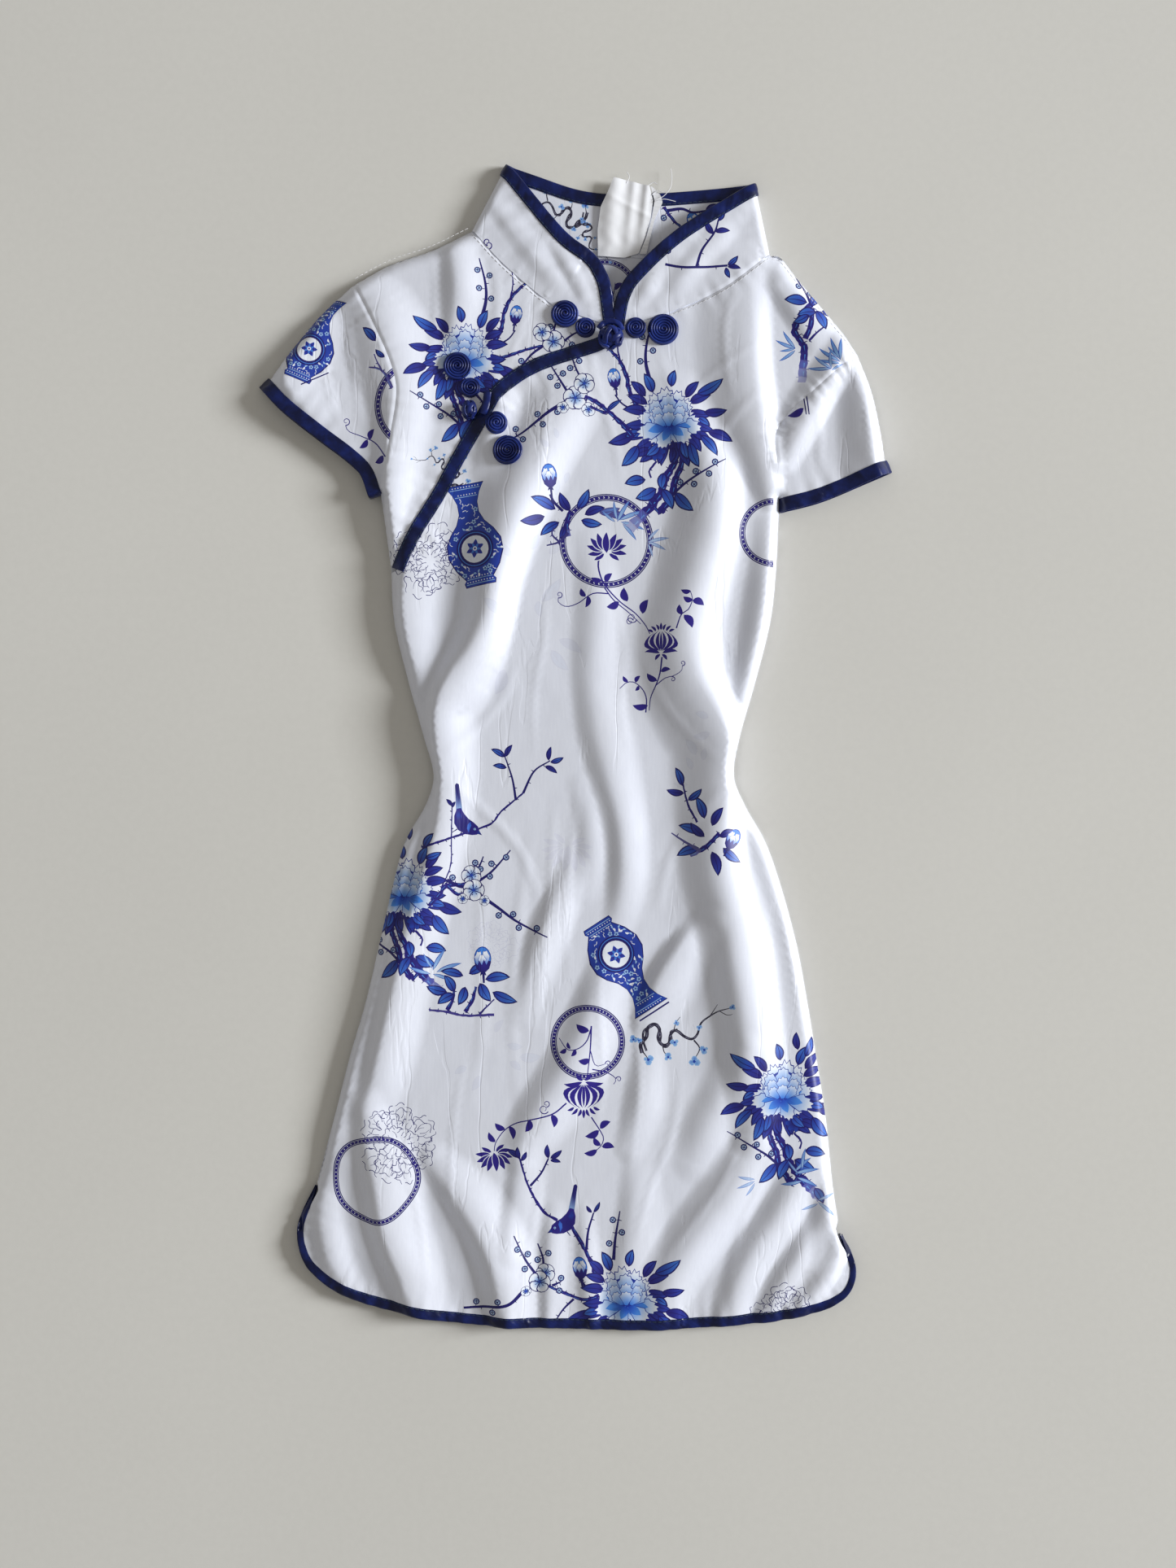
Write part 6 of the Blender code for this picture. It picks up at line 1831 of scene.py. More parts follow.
class Flap:
    """One front flap of the collar as a height over the plan, bent down at its outer fold."""

    def __init__(self, seam, edge):
        self.seam, self.edge = run_of(seam, 4.0), run_of(edge, 4.0)
        self.fold = np.array([self.seam[0], self.edge[0]])

    def top(self, x, y):
        from_seam, place, _ = nearest_on(self.seam, x, y)
        from_edge = line_gap(self.edge, x, y)
        u = from_seam / (from_seam + from_edge + 1e-6)
        v = place / (len(self.seam) - 1)
        flat = np.maximum(UPPER.z(x, y), LEVEL) + COLLAR_SPRING * u * np.sin(np.clip(v, 0, 1) * math.pi)
        folds = 0.35 * soft_noise(x + 7, y, 26.0, 1.0, 11) + rise_of(COLLAR_FOLDS, x, y)
        flat += folds * np.minimum(u * 2, 1)
        inner = 1.0 - np.clip(line_gap(self.fold, x, y) / COLLAR_BEND, 0.0, 1.0)
        middle = 0.5 * LEVEL
        return middle + (flat - middle) * np.sqrt(1.0 - BEND_SHARE * inner**2)

    def under(self, x, y):
        thick = COLLAR_THICK * steepness(self.top, x, y)
        return self.top(x, y) - thick * np.clip((self.top(x, y) - 0.5 * LEVEL) / 2.0, 0.3, 1.0)


def back_of_collar(fold):
    """Heights of the collar's back sheet: flat on the surface, and bent up at its outer fold."""
    def rise(x, y):
        """How far the sheets bend up at a place."""
        inner = 1.0 - np.clip(line_gap(fold, x, y) / COLLAR_BEND, 0.0, 1.0)
        return (0.5 * LEVEL - COLLAR_THICK) * (1.0 - np.sqrt(1.0 - BEND_SHARE * inner**2))
    return (lambda x, y: COLLAR_THICK + rise(x, y)), rise


COLLARS = {
    "left": (NECK_SEAM_LEFT, COLLAR_EDGE_LEFT),
    "right": (NECK_SEAM_RIGHT, COLLAR_EDGE_RIGHT),
}


def build_collar(ink):
    """Both halves of the collar, each with a front flap and a back sheet that meet at the outer fold."""
    zip_x = CENTRE_BACK[0][0]
    for which, (seam, edge) in COLLARS.items():
        flap = Flap(seam, edge)
        name = "collar_" + which
        front = np.vstack([run_of(seam)[:-1], back_along(edge), even(flap.fold[::-1], 14)[:-1]])
        back_seam, back_top = run_of(NECK_SEAM_BACK), run_of(COLLAR_TOP_BACK)
        if which == "left":
            back_seam = back_seam[back_seam[:, 0] < zip_x - 0.5]
            back_top = back_top[back_top[:, 0] < zip_x - 0.5]
            back = np.vstack([even(flap.fold[::-1], 14)[:-1], back_seam, back_top[::-1][:-1]])
        else:
            back_seam = back_seam[back_seam[:, 0] > zip_x + 0.5]
            back_top = back_top[back_top[:, 0] > zip_x + 0.5]
            back = np.vstack([back_seam[:-1], even(flap.fold, 14)[:-1], back_top[::-1]])
        sheet = Sheet()
        sheet.layer(front, flap.top, flap.under, COLLAR_STEPS, ink.get(name, ()))
        top, under = back_of_collar(flap.fold)
        sheet.layer(back, top, under, COLLAR_BACK_STEPS, ink.get("collar_inside", ()))
        sheet.build(name + "_cloth", SATIN, "printed_satin", (name,))


# Bindings: strips folded over an edge, with faint slanting ripples and a few pleats

COLLAR_BINDING_WIDTH = 7.4
# Where the binding's path has points between the collar's back and its front
COLLAR_BEND_STEPS = np.linspace(0, 1, 11)[1:-1]
# How far from its ends the hem's binding has reached which share of its width
HEM_TAPER = ((0.0, 12.0, 34.0, 66.0), (0.12, 0.55, 0.66, 1.0))
# Where a binding has a pleat: how far along, how wide and how deep
COLLAR_PLEATS = ((18.0, 1.2, 0.25), (70.0, 1.6, 0.35), (112.0, 1.2, 0.3), (140.0, 1.4, 0.3))
OPENING_PLEATS = ((12.0, 1.4, 0.3), (47.0, 1.6, 0.35), (66.0, 1.2, 0.3), (118.0, 1.5, 0.3))
HEM_PLEATS = ((60.0, 1.6, 0.4), (128.0, 1.8, 0.5), (172.0, 1.5, 0.6), (206.0, 1.6, 0.7), (214.0, 1.2, 0.4),
              (258.0, 1.0, 0.9), (330.0, 1.6, 0.4), (392.0, 1.8, 0.5))
CUFF_PLEATS = ((22.0, 1.4, 0.3), (48.0, 1.6, 0.35))
HEM_BINDINGS = (
    # name, how far inside the front's edge, thickness, ripple, seed and pleats
    ("front", 0.0, 1.7, 0.08, 5, HEM_PLEATS),
    ("back", BACK_HEM_INSET, 1.1, 0.04, 6, ()),
)
# How deep the front hem's binding sits in the cloth
HEM_BINDING_SINK = 1.35
# How deep a cuff's binding sits, how high its lower part lies, and how far it stands out at its fold
CUFF_SINK = 0.4
CUFF_LOW = 0.45
CUFF_BULGE = 0.6


def strip_section(width, thick, fold, puff):
    """A flat section as (across, up) points, anticlockwise.

    Its side at -across stands straight, and its side at +across does so too unless `fold` rounds it.
    """
    half = width / 2
    if fold:
        outer = [(half - fold * (1 - math.cos(turn)), thick * (0.5 + 0.5 * math.sin(turn)))
                 for turn in np.radians((-60.0, -20.0, 20.0, 50.0, 75.0))]
    else:
        outer = [(half, 0.0), (half, thick - 0.35), (half - 0.12, thick - 0.1)]
    reach = half - max(fold, 0.4)
    top = [(share * reach, thick + puff * math.cos(0.5 * math.pi * share))
           for share in (1.0, 0.5, 0.0, -0.5, -1.0)]
    inner = [(-half + 0.12, thick - 0.1), (-half, thick - 0.35), (-half, 0.0)]
    return np.array(outer + top + inner + [(0.0, 0.0)])


def swept(path, across, up, section, ripple=0.0, seed=0, pleats=()):
    """Rings of the section along a path; `across` and `up` are the section's two directions at each point."""
    draw = np.random.default_rng(seed)
    along = np.concatenate([[0.0], np.cumsum(np.linalg.norm(np.diff(path, axis=0), axis=1))])
    phases = draw.uniform(0, 2 * math.pi, 6)
    rates = 2 * math.pi / draw.uniform(2.6, 11.0, 6)
    slants = draw.uniform(0.15, 0.5, 6)
    rings = []
    top = section[:, 1].max()
    for k in range(len(path)):
        wave = np.zeros(len(section))
        for rate, phase, slant in zip(rates, phases, slants):
            wave += np.sin(rate * (along[k] + slant * 3.0 * section[:, 0]) + phase)
        wave *= ripple / 2.4 * (section[:, 1] / top) ** 2
        for place, width, depth in pleats:
            from_pleat = (along[k] - place + 0.25 * section[:, 0]) / width
            wave += depth * (section[:, 1] / top) ** 2 * np.where(from_pleat > 0, np.exp(-from_pleat),
                                                                  -0.6 * np.exp(3.0 * from_pleat))
        rings.append(path[k] + across[k] * section[:, :1] + up[k] * (section[:, 1] + wave)[:, None])
    return np.array(rings)


def on_cloth(path, lift):
    """A level path laid on the upper cloth, `lift` above it."""
    return np.column_stack([path, UPPER.z(path[:, 0], path[:, 1]) + lift])


def upright(count):
    """Straight up, once for each of the points."""
    return np.tile([0.0, 0.0, 1.0], (count, 1))


def build_tube(rings, name, look, slot, part, closed=False):
    """A piece that is a single tube, in the place of the node `part`."""
    sheet = Sheet()
    sheet.tube(rings, closed)
    sheet.build(name, look, slot, (part,))


def flat_across(path):
    """The level direction to the left of a line at each of its points."""
    along = np.gradient(path[:, :2], axis=0)
    along /= np.linalg.norm(along, axis=1)[:, None]
    return np.column_stack([-along[:, 1], along[:, 0], 0 * along[:, 0]])


def lifted(rings, sink):
    """The rings carried by the upper cloth under each of their points, less `sink`."""
    places = rings.reshape(-1, 3)
    places[:, 2] += UPPER.z(places[:, 0], places[:, 1]) - sink
    return places.reshape(rings.shape)


def level_rings(path, across, section, ripple, seed, pleats):
    """A section swept along a level path on the floor."""
    path = np.column_stack([path, 0 * path[:, 0]])
    return swept(path, across, upright(len(path)), section, ripple, seed, pleats)


def build_bindings():
    """The opening's binding and the two bindings of the hem."""
    path = run_of(OPENING, BINDING_STEP)
    section = strip_section(BINDING_WIDTH, 0.95, 0.0, 0.35)
    rings = level_rings(path, flat_across(path), section, 0.12, 3, OPENING_PLEATS)
    build_tube(lifted(rings, 0.15), "opening_binding_cloth", NAVY, "navy_binding", "opening_binding")
    for name, inset, thick, ripple, seed, pleats in HEM_BINDINGS:
        path = moved_sideways(run_of(HEM_EDGE, BINDING_STEP), HEM_BINDING_WIDTH / 2 + inset)[2:-9]
        across = flat_across(path)
        from_end = BINDING_STEP * np.minimum(np.arange(len(path)), np.arange(len(path))[::-1])
        share = np.interp(from_end, *HEM_TAPER)[:, None, None]
        # its rounded side lies outside
        section = (strip_section(HEM_BINDING_WIDTH, thick, 1.3, 0.15) * (-1, 1))[::-1]
        rings = level_rings(path, across, section, ripple, seed, pleats)
        edge = (path - across[:, :2] * HEM_BINDING_WIDTH / 2)[:, None]
        rings[:, :, :2] = edge + share * (rings[:, :, :2] - edge)
        if name == "front":
            lowest = rings[:, :, 2] * 0.3 + 1.12
            rings = lifted(rings, HEM_BINDING_SINK)
            rings[:, :, 2] = np.maximum(rings[:, :, 2], lowest)
        build_tube(rings, "hem_binding_%s_cloth" % name, NAVY, "navy_binding", "hem_binding_" + name)


def build_cuffs():
    """The binding round each cuff: over the upper layer, round the fold, and back under the lower layer."""
    section = strip_section(BINDING_WIDTH, 1.25, 0.6, 0.15) + (BINDING_WIDTH / 2, -0.35)
    for which, (_, cuff, _, _) in SLEEVES.items():
        path = run_of(cuff, BINDING_STEP)
        # outward from the sleeve, level
        out = flat_across(path)
        if which == "left":
            out = -out
        upper = on_cloth(path, -CUFF_SINK)
        lower = np.column_stack([path, np.full(len(path), CUFF_LOW)])
        bends, ways = [], []
        for end, beside in ((-1, -2), (0, 1)):
            way = path[end] - path[beside]
            way = np.append(way / np.linalg.norm(way), 0.0)
            middle = 0.5 * (upper[end] + lower[end])
            radius = 0.5 * (upper[end][2] - lower[end][2])
            rise = np.array([0, 0, radius])
            bends.append([middle + way * CUFF_BULGE * math.cos(turn) + rise * math.sin(turn)
                          for turn in (0.25 * math.pi, 0.0, -0.25 * math.pi)])
            ways.append(np.tile(way, (3, 1)))
        loop = np.vstack([upper, bends[0], lower[::-1], bends[1][::-1]])
        outs = np.vstack([out, np.tile(out[-1], (3, 1)), out[::-1], np.tile(out[0], (3, 1))])
        ups = np.vstack([upright(len(path)), ways[0], -upright(len(path)), ways[1]])
        rings = swept(loop, outs, ups, section, 0.12, 8, CUFF_PLEATS)
        rings[:, :, 2] = np.maximum(rings[:, :, 2], 0.0)
        build_tube(rings, "cuff_binding_%s_cloth" % which, NAVY, "navy_binding", "cuff_binding_" + which,
                   closed=True)


def turned_towards(ways, aim):
    """The directions, all turned round if they point away from `aim`."""
    return ways if (ways @ np.array(aim)).sum() > 0 else -ways


def collar_edge_ring(which):
    """The collar's upper edge from the centre back round the fold to the front: points, out and up."""
    zip_x = CENTRE_BACK[0][0]
    flap = Flap(*COLLARS[which])
    back = run_of(COLLAR_TOP_BACK, BINDING_STEP)
    back = back[back[:, 0] < zip_x][::-1] if which == "left" else back[back[:, 0] > zip_x]
    front = run_of(COLLARS[which][1], BINDING_STEP)
    back_keep = np.linalg.norm(back - back[-1], axis=1) > COLLAR_BEND
    front_keep = np.linalg.norm(front - front[0], axis=1) > COLLAR_BEND
    front_z = flap.top(front[:, 0], front[:, 1]) - 0.5 * COLLAR_THICK
    back_points = np.column_stack([back, np.full(len(back), 0.5 * COLLAR_THICK)])[back_keep]
    front_points = np.column_stack([front, front_z])[front_keep]
    start, end = back_points[-1], front_points[0]
    bend = []
    for t in COLLAR_BEND_STEPS:
        angle = math.pi * (t - 0.5)
        level = 0.5 * (start[2] + end[2]) + 0.5 * (end[2] - start[2]) * math.sin(angle)
        chord = (1 - t) * start[:2] + t * end[:2]
        bend.append([*(chord + (front[0] - 0.5 * (start[:2] + end[:2])) * math.cos(angle)), level])
    path = np.vstack([back_points, bend, front_points])
    fold = flap.edge[0] - flap.seam[0]
    fold = np.append(fold / np.linalg.norm(fold), 0.0)
    inwards = 1.0 if which == "left" else -1.0
    back_out = turned_towards(flat_across(back), (0, 1, 0))[back_keep]
    front_out = turned_towards(flat_across(front), (inwards, 0, 0))[front_keep]
    outs = []
    for t in COLLAR_BEND_STEPS:
        share = abs(2 * t - 1)
        other = back_out[-1] if t < 0.5 else front_out[0]
        way = share * other + (1 - share) * fold
        outs.append(way / np.linalg.norm(way))
    out = np.vstack([back_out, outs, front_out])
    # the outer side of the collar: down at its back, up at its front
    along = np.gradient(path, axis=0)
    up = np.cross(along, out)
    up /= np.linalg.norm(up, axis=1)[:, None]
    if up[-1, 2] < 0:
        up = -up
    return path, out, up


def build_collar_bindings():
    """The binding round the upper edge of each half of the collar."""
    section = strip_section(COLLAR_BINDING_WIDTH, 1.9, 1.2, 0.2) + (COLLAR_BINDING_WIDTH / 2 - 0.3, -0.9)
    for which in COLLARS:
        path, out, up = collar_edge_ring(which)
        rings = swept(path, out, up, section, 0.14, 12, COLLAR_PLEATS)
        rings[:, :, 2] = np.maximum(rings[:, :, 2], 0.0)
        name = "collar_binding_" + which
        build_tube(rings, name + "_cloth", NAVY, "navy_binding", name)


# The frogs

COILS = (
    # name, x, y, diameter, the way that the cord winds and where its end is
    ("neck_frog_coil_outer_left", -5.0, 239.0, 15.3, 1, -0.6),
    ("neck_frog_coil_inner_left", 6.4, 231.4, 11.4, -1, 2.6),
    ("neck_frog_coil_inner_right", 34.2, 231.3, 11.7, 1, 0.4),
    ("neck_frog_coil_outer_right", 49.4, 230.4, 17.4, -1, 3.4),
    ("chest_frog_coil_outer_top", -64.4, 210.2, 15.6, 1, -1.2),
    ("chest_frog_coil_inner_top", -57.2, 198.2, 11.2, -1, 2.2),
    ("chest_frog_coil_inner_low", -42.6, 178.2, 12.4, 1, 1.9),
    ("chest_frog_coil_outer_low", -36.5, 163.2, 16.5, -1, 1.6),
)
CORD_PITCH = 1.42
CORD_WIDTH = 1.46
CORD_HEIGHT = 1.9
# Where a spiral starts, how far apart its points are, and how many points the ring under its rim has
COIL_HOLE = 0.35
COIL_STEP = 0.42
RIM_COUNT = 48


def round_section(width, height, count=8):
    """An oval section as (across, up) points that stands on the path."""
    angles = np.linspace(0, 2 * math.pi, count, endpoint=False)
    return np.column_stack([0.5 * width * np.cos(angles), 0.5 * height * (1 + np.sin(angles))])


def build_coils():
    """Cords wound into flat spirals that dome a little, each on a ring that carries its rim."""
    for name, x, y, diameter, way, start in COILS:
        radius = diameter / 2 - CORD_WIDTH / 2
        turns = (radius - COIL_HOLE) / CORD_PITCH
        count = int(2 * math.pi * radius * turns * 0.5 / COIL_STEP)
        # even steps along the spiral
        r = np.sqrt(np.linspace((COIL_HOLE / radius) ** 2, 1.0, count)) * radius
        angle = start + way * 2 * math.pi * (r - radius) / CORD_PITCH
        path = np.column_stack([x + r * np.cos(angle), y + r * np.sin(angle)])
        lowest = UPPER.z(np.array([x]), np.array([y]))[0] - 0.6
        ground = np.maximum(UPPER.z(path[:, 0], path[:, 1]), lowest) + 0.75
        dome = 0.7 * np.sqrt(np.clip(1 - (r / (radius + 0.8)) ** 2, 0, 1))
        path = np.column_stack([path, ground + dome])
        sheet = Sheet()
        sheet.tube(swept(path, flat_across(path), upright(count), round_section(CORD_WIDTH, CORD_HEIGHT),
                         0.0, 1))
        rim = np.linspace(0, 2 * math.pi, RIM_COUNT, endpoint=False)
        path = np.column_stack([x + (radius + 0.1) * np.cos(rim), y + (radius + 0.1) * np.sin(rim)])
        path = np.column_stack([path, np.maximum(UPPER.z(path[:, 0], path[:, 1]), lowest) - 0.1])
        across = np.column_stack([np.cos(rim), np.sin(rim), 0 * rim])
        sheet.tube(swept(path, across, upright(RIM_COUNT), round_section(1.2, 1.3), 0.0, 1), closed=True)
        sheet.build(name + "_wound", CORD, "frog_cord", (name,))


KNOT_TILT = 0.9
# The core's radius as a share of the knot's size
KNOT_CORE = 0.40
KNOTS = (
    # name, x, y, size, how far its foot is above the cloth, the cord's width, and how far it is turned
    ("neck_frog_knot", 20.4, 225.0, (13.5, 13.2, 8.4), 1.0, 3.6, 0.5),
    ("chest_frog_knot", -57.6, 185.4, (8.2, 11.6, 6.0), 0.9, 2.9, 1.1),
)


def build_knots():
    """Ball knots: a cord that winds over and under itself round a ball, like a turk's head."""
    for name, x, y, size, seat, cord, turn in KNOTS:
        t = np.linspace(0, 2 * math.pi, 260, endpoint=False)
        lat = 0.92 * np.sin(5 * t)
        lon = 3 * t + turn
        radius = 0.5 - 0.5 * cord / size[0] * 0.62 + 0.03 * np.sin(10 * t + 0.6)
        unit = np.column_stack([np.cos(lat) * np.cos(lon), np.cos(lat) * np.sin(lon), np.sin(lat)])
        cos, sin = math.cos(KNOT_TILT), math.sin(KNOT_TILT)
        normal = unit @ np.array([[1, 0, 0], [0, cos, sin], [0, -sin, cos]])
        foot = UPPER.z(np.array([x]), np.array([y]))[0] + seat
        middle = np.array([x, y, foot + size[2] / 2])
        path = middle + normal * radius[:, None] * np.array(size)
        across = np.cross(normal, np.roll(path, -1, axis=0) - np.roll(path, 1, axis=0))
        across /= np.linalg.norm(across, axis=1)[:, None]
        section = round_section(cord, cord * 0.55) - (0.0, cord * 0.2)
        sheet = Sheet()
        sheet.tube(swept(path, across, normal, section, 0.0, 1), closed=True)
        # a core so that nothing shows through between the strands
        angles = np.linspace(0, 2 * math.pi, 16, endpoint=False)
        rows = [np.column_stack([KNOT_CORE * math.cos(row) * np.cos(angles),
                                 KNOT_CORE * math.cos(row) * np.sin(angles),
                                 np.full(16, KNOT_CORE * math.sin(row))]) * size + middle
                for row in np.linspace(-1.5, 1.5, 9)]
        sheet.tube(rows)
        sheet.build(name + "_tied", CORD, "frog_cord", (name,))


LOOP_LIFT = 1.5
LOOPS = (
    # name, width and path
    ("neck_frog_loop", 3.2, ((13.9, 230.4), (16.2, 233.4), (20.6, 234.6), (24.8, 233.0), (26.8, 229.6))),
    ("chest_frog_loop", 4.4, ((-47.4, 195.2), (-48.2, 189.0), (-50.2, 183.2))),
)


def build_loops():
    """The loops that hold the knots."""
    for name, width, points in LOOPS:
        path = on_cloth(run_of(points, 0.7), LOOP_LIFT)
        rings = swept(path, flat_across(path), upright(len(path)), round_section(width, 2.0, 12), 0.12, 4)
        build_tube(rings, name + "_cord", CORD, "frog_cord", name)


# The facing and the zip's tape at the centre back of the collar

ZIP_FACING = ((13.4, 272.5), (28.0, 271.5), (36.0, 274.0), (39.6, 283.0), (42.6, 293.0), (44.0, 303.0),
              (42.0, 311.0), (32.0, 313.4), (22.1, 315.5), (19.0, 308.0), (14.9, 299.7), (13.2, 287.0))
ZIP_TAPE = ((36.6, 273.6), (40.3, 273.4), (44.8, 292.4), (49.3, 302.2), (48.2, 306.0), (43.4, 311.0),
            (42.8, 311.0), (44.8, 303.0), (43.2, 292.8), (40.2, 282.8))


def closed_run(points, step):
    """A polygon's outline with points about every `step`."""
    points = np.array(points + points[:1], float)
    return even(points, int(length_of(points) / step) + 1)[:-1]


def facing_top(x, y):
    """Broad soft folds that fade out towards the neck, where the facing meets the back."""
    up_share = np.clip((y - 271.0) / 40.0, 0.0, 1.0)
    lean = x - 0.10 * (y - 290.0)
    fold = 2.2 * np.exp(-((lean - 20.5) / 5.5) ** 2) + 0.9 * np.exp(-((lean - 31.0) / 2.6) ** 2)
    fold += 0.8 * np.exp(-((lean - 38.5) / 2.0) ** 2)
    across = 0.35 * np.exp(-((y - 301.0 + 0.5 * (x - 28.0)) / 1.8) ** 2) * np.clip((x - 18.0) / 8.0, 0.0, 1.0)
    height = 2.0 + 1.4 * up_share + fold * (0.35 + 0.65 * up_share) + across
    return height + 0.12 * soft_noise(x, y, 13.0, 1.5, 21)


# Threads that have come loose at the facing's raw edge
LOOSE_THREADS = (
    ((44.6, 303.5), (49.5, 305.0), (53.6, 310.0), (54.4, 315.5), (53.8, 320.6)),
    ((45.4, 302.2), (50.0, 303.6), (56.6, 302.4)), ((29.4, 312.6), (30.8, 316.0), (29.6, 318.8)),
    ((40.4, 310.6), (44.0, 313.0), (46.2, 312.2)), ((43.4, 306.0), (46.4, 308.4), (49.8, 307.2)),
)


def build_facing():
    """The facing with its loose threads, and the zip's tape."""
    steps = (1.2, 1.2)
    sheet = Sheet()
    sheet.layer(closed_run(ZIP_FACING, 1.0), facing_top, lambda x, y: facing_top(x, y) - 0.8, steps)
    for number, points in enumerate(LOOSE_THREADS):
        path = spline(points, 16)
        path = np.column_stack([path, 3.6 + 0.4 * np.sin(np.linspace(0, 3, 16) + number)])
        sheet.tube(swept(path, flat_across(path), upright(16), round_section(0.4, 0.4, 5)))
    sheet.build("zip_facing_cloth", PLAIN, "plain_satin", ("zip_facing",))
    sheet = Sheet()
    sheet.layer(closed_run(ZIP_TAPE, 0.8), lambda x, y: 3.0 + 0.12 * np.sin(3.0 * y), flat_at(2.1), steps)
    sheet.build("zip_tape_cloth", PLAIN, "plain_satin", ("zip_tape",))


# Sewing: rows of short stitches along the seams and the bindings

STITCH_PITCH = 2.9
STITCH_LENGTH = 2.1
STITCH_WIDTH = 0.34


def stitch_row(sheet, path, ups):
    """Small beads of thread along a path of points in space; `ups` point away from the cloth."""
    run = np.concatenate([[0.0], np.cumsum(np.linalg.norm(np.diff(path, axis=0), axis=1))])
    section = round_section(STITCH_WIDTH, 0.8 * STITCH_WIDTH, 5)
    for start in np.arange(0.6, run[-1] - STITCH_LENGTH, STITCH_PITCH):
        places = start + STITCH_LENGTH * np.array([0.0, 0.25, 0.75, 1.0])
        points = np.column_stack([np.interp(places, run, path[:, axis]) for axis in range(3)])
        up = np.column_stack([np.interp(places, run, ups[:, axis]) for axis in range(3)])
        points -= up * np.array([0.22, 0.0, 0.0, 0.22])[:, None]
        along = np.gradient(points, axis=0)
        across = np.cross(up, along)
        across /= np.linalg.norm(across, axis=1)[:, None]
        sheet.tube(swept(points, across, up, section))


# Rows of white stitches: the line, how far beside it and above the cloth they lie, and how far from its ends
WHITE_ROWS = (
    (NECK_SEAM_LEFT, -1.7, 0.0, 1), (NECK_SEAM_RIGHT, 1.7, 0.0, 1),
    (SHOULDER_LEFT, -2.0, 0.0, 1), (SHOULDER_RIGHT, -2.0, 0.0, 1),
)
# Rows of navy stitches on the bindings
NAVY_ROWS = (
    (OPENING, 0.5 * BINDING_WIDTH - 0.9, 0.86, 1), (OPENING, 0.9 - 0.5 * BINDING_WIDTH, 0.86, 1),
    (HEM_EDGE, HEM_BINDING_WIDTH - 0.7, 0.42, 76),
)


def build_stitches():
    """The white rows along the seams and the navy ones along the bindings."""
    for name, look, slot, rows in (("white", WHITE_THREAD, "plain_satin", WHITE_ROWS),
                                   ("navy", TEAL_THREAD, "navy_binding", NAVY_ROWS)):
        sheet = Sheet()
        for line, sideways, lift, clear in rows:
            path = on_cloth(moved_sideways(run_of(line, 1.0), sideways), lift)[clear:-clear]
            stitch_row(sheet, path, upright(len(path)))
        if name == "navy":
            for which in COLLARS:
                path, out, up = collar_edge_ring(which)
                for seen, way in ((up[:, 2] > 0.6, 1.0), (up[:, 2] < -0.6, -1.0)):
                    stitch_row(sheet, (path + 0.5 * out + 1.02 * way * up)[seen], way * up[seen])
        sheet.build(name + "_stitches", look, slot)


# The setting: floor, light and camera

FLOOR_DARK = (0.735, 0.722, 0.682, 1)
FLOOR_LIGHT = (0.770, 0.757, 0.716, 1)
FLOOR_HALF_SIDE = 3.0
FLOOR_LEVEL = -0.0001
WINDOW_PLACE = (10.0, 1.3, 4.15)
WINDOW_SIZE = 3.2
WINDOW_POWER = 1440.0
WINDOW_COLOUR = (0.95, 0.975, 1.0)
SKY_COLOUR = (1.0, 0.965, 0.90, 1.0)
SKY_STRENGTH = 0.295
CAMERA_PLACE = (0.007555, -0.021295, 1.2124)


def floor_material():
    """A pale grey floor with faint mottling and a fine grain."""
    made = new_material("floor_look", Roughness=0.6, Specular_IOR_Level=0.3)
    clouds = noise(made, 3.0, EVEN, 3.0)
    grain = noise(made, 240.0, EVEN, 4.0)
    colour = mix_colours(made, ramp(made, clouds, 0.3, 0.7), FLOOR_DARK, FLOOR_LIGHT)
    speckle = mix_colours(made, ramp(made, grain, 0.35, 0.65), (0.85, 0.85, 0.85, 1), WHITE)
    colour = mix_colours(made, 0.12, colour, speckle, "MULTIPLY")
    finish_shader(made, colour, ((grain, 0.08, 0.0003),))
    return made


def build_floor():
    """A square floor just under the garment."""
    corners = [(x * FLOOR_HALF_SIDE, y * FLOOR_HALF_SIDE, FLOOR_LEVEL)
               for x, y in ((-1, -1), (1, -1), (1, 1), (-1, 1))]
    mesh = bpy.data.meshes.new("floor")
    mesh.from_pydata(corners, [], [(0, 1, 2, 3)])
    mesh.materials.append(floor_material())
    floor = bpy.data.objects.new("floor", mesh)
    bpy.context.scene.collection.objects.link(floor)


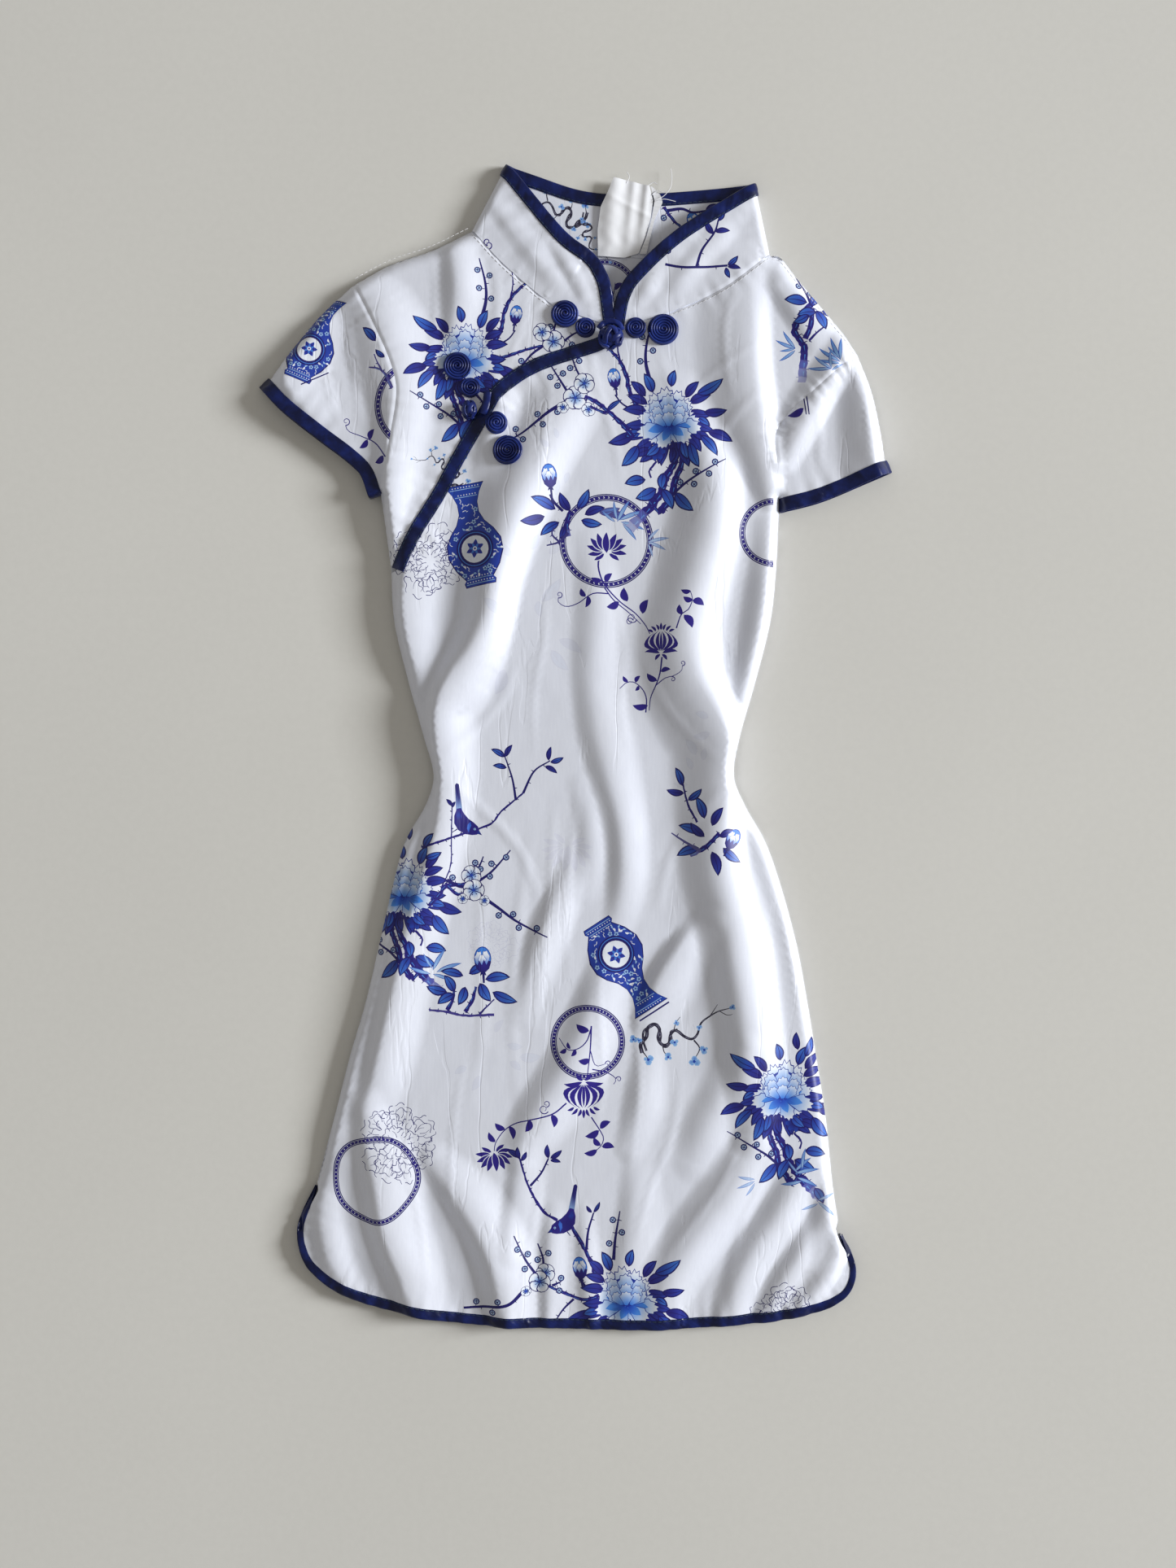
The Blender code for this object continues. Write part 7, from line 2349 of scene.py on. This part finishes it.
def build_light():
    """One soft square window, low on the right, that shines at the garment, and a dim sky."""
    lamp = bpy.data.lights.new("window", "AREA")
    lamp.shape = "SQUARE"
    lamp.size = WINDOW_SIZE
    lamp.energy = WINDOW_POWER
    lamp.color = WINDOW_COLOUR
    window = bpy.data.objects.new("window", lamp)
    window.location = WINDOW_PLACE
    window.rotation_euler = (-Vector(WINDOW_PLACE)).to_track_quat("-Z", "Y").to_euler()
    bpy.context.scene.collection.objects.link(window)
    world = bpy.context.scene.world or bpy.data.worlds.new("world")
    bpy.context.scene.world = world
    world.use_nodes = True
    background = world.node_tree.nodes["Background"]
    background.inputs["Color"].default_value = SKY_COLOUR
    background.inputs["Strength"].default_value = SKY_STRENGTH


def build_camera():
    """Straight above the garment."""
    camera = bpy.data.cameras.new("view")
    camera.lens = 50
    camera.sensor_fit = "VERTICAL"
    camera.sensor_height = 36
    camera.clip_end = 20
    eye = bpy.data.objects.new("view", camera)
    eye.location = CAMERA_PLACE
    bpy.context.scene.collection.objects.link(eye)
    bpy.context.scene.camera = eye
    bpy.context.scene.view_settings.view_transform = "Standard"


# How each piece of cloth was cut

SEAM_ALLOWANCE = 4.0
BACKS = ["back_left_cloth", "back_right_cloth"]
PANELS = (
    # piece, its outline, how many times it shows, what it lies on
    ("front_panel", front_outline(), 1, BACKS), ("front_yoke", yoke_outline(), 1, BACKS),
    ("back_left", back_outline("left"), 1, ["floor"]), ("back_right", back_outline("right"), 1, ["floor"]),
    ("sleeve_left", sleeve_outline("left"), 2, ["floor"]),
    ("sleeve_right", sleeve_outline("right"), 2, ["floor"]),
)


def declare_sheets():
    """Works out the cut area of each piece, its outline with a seam allowance all round; the area is not
    used.
    """
    for name, outline, layers, under in PANELS:
        area = abs(area_of(outline)) + SEAM_ALLOWANCE * length_of(np.vstack([outline, outline[:1]]))


INK = whole_print()
build_panels(INK)
build_collar(INK)
build_bindings()
build_cuffs()
build_collar_bindings()
build_coils()
build_knots()
build_loops()
build_facing()
build_stitches()
build_floor()
build_light()
build_camera()
declare_sheets()
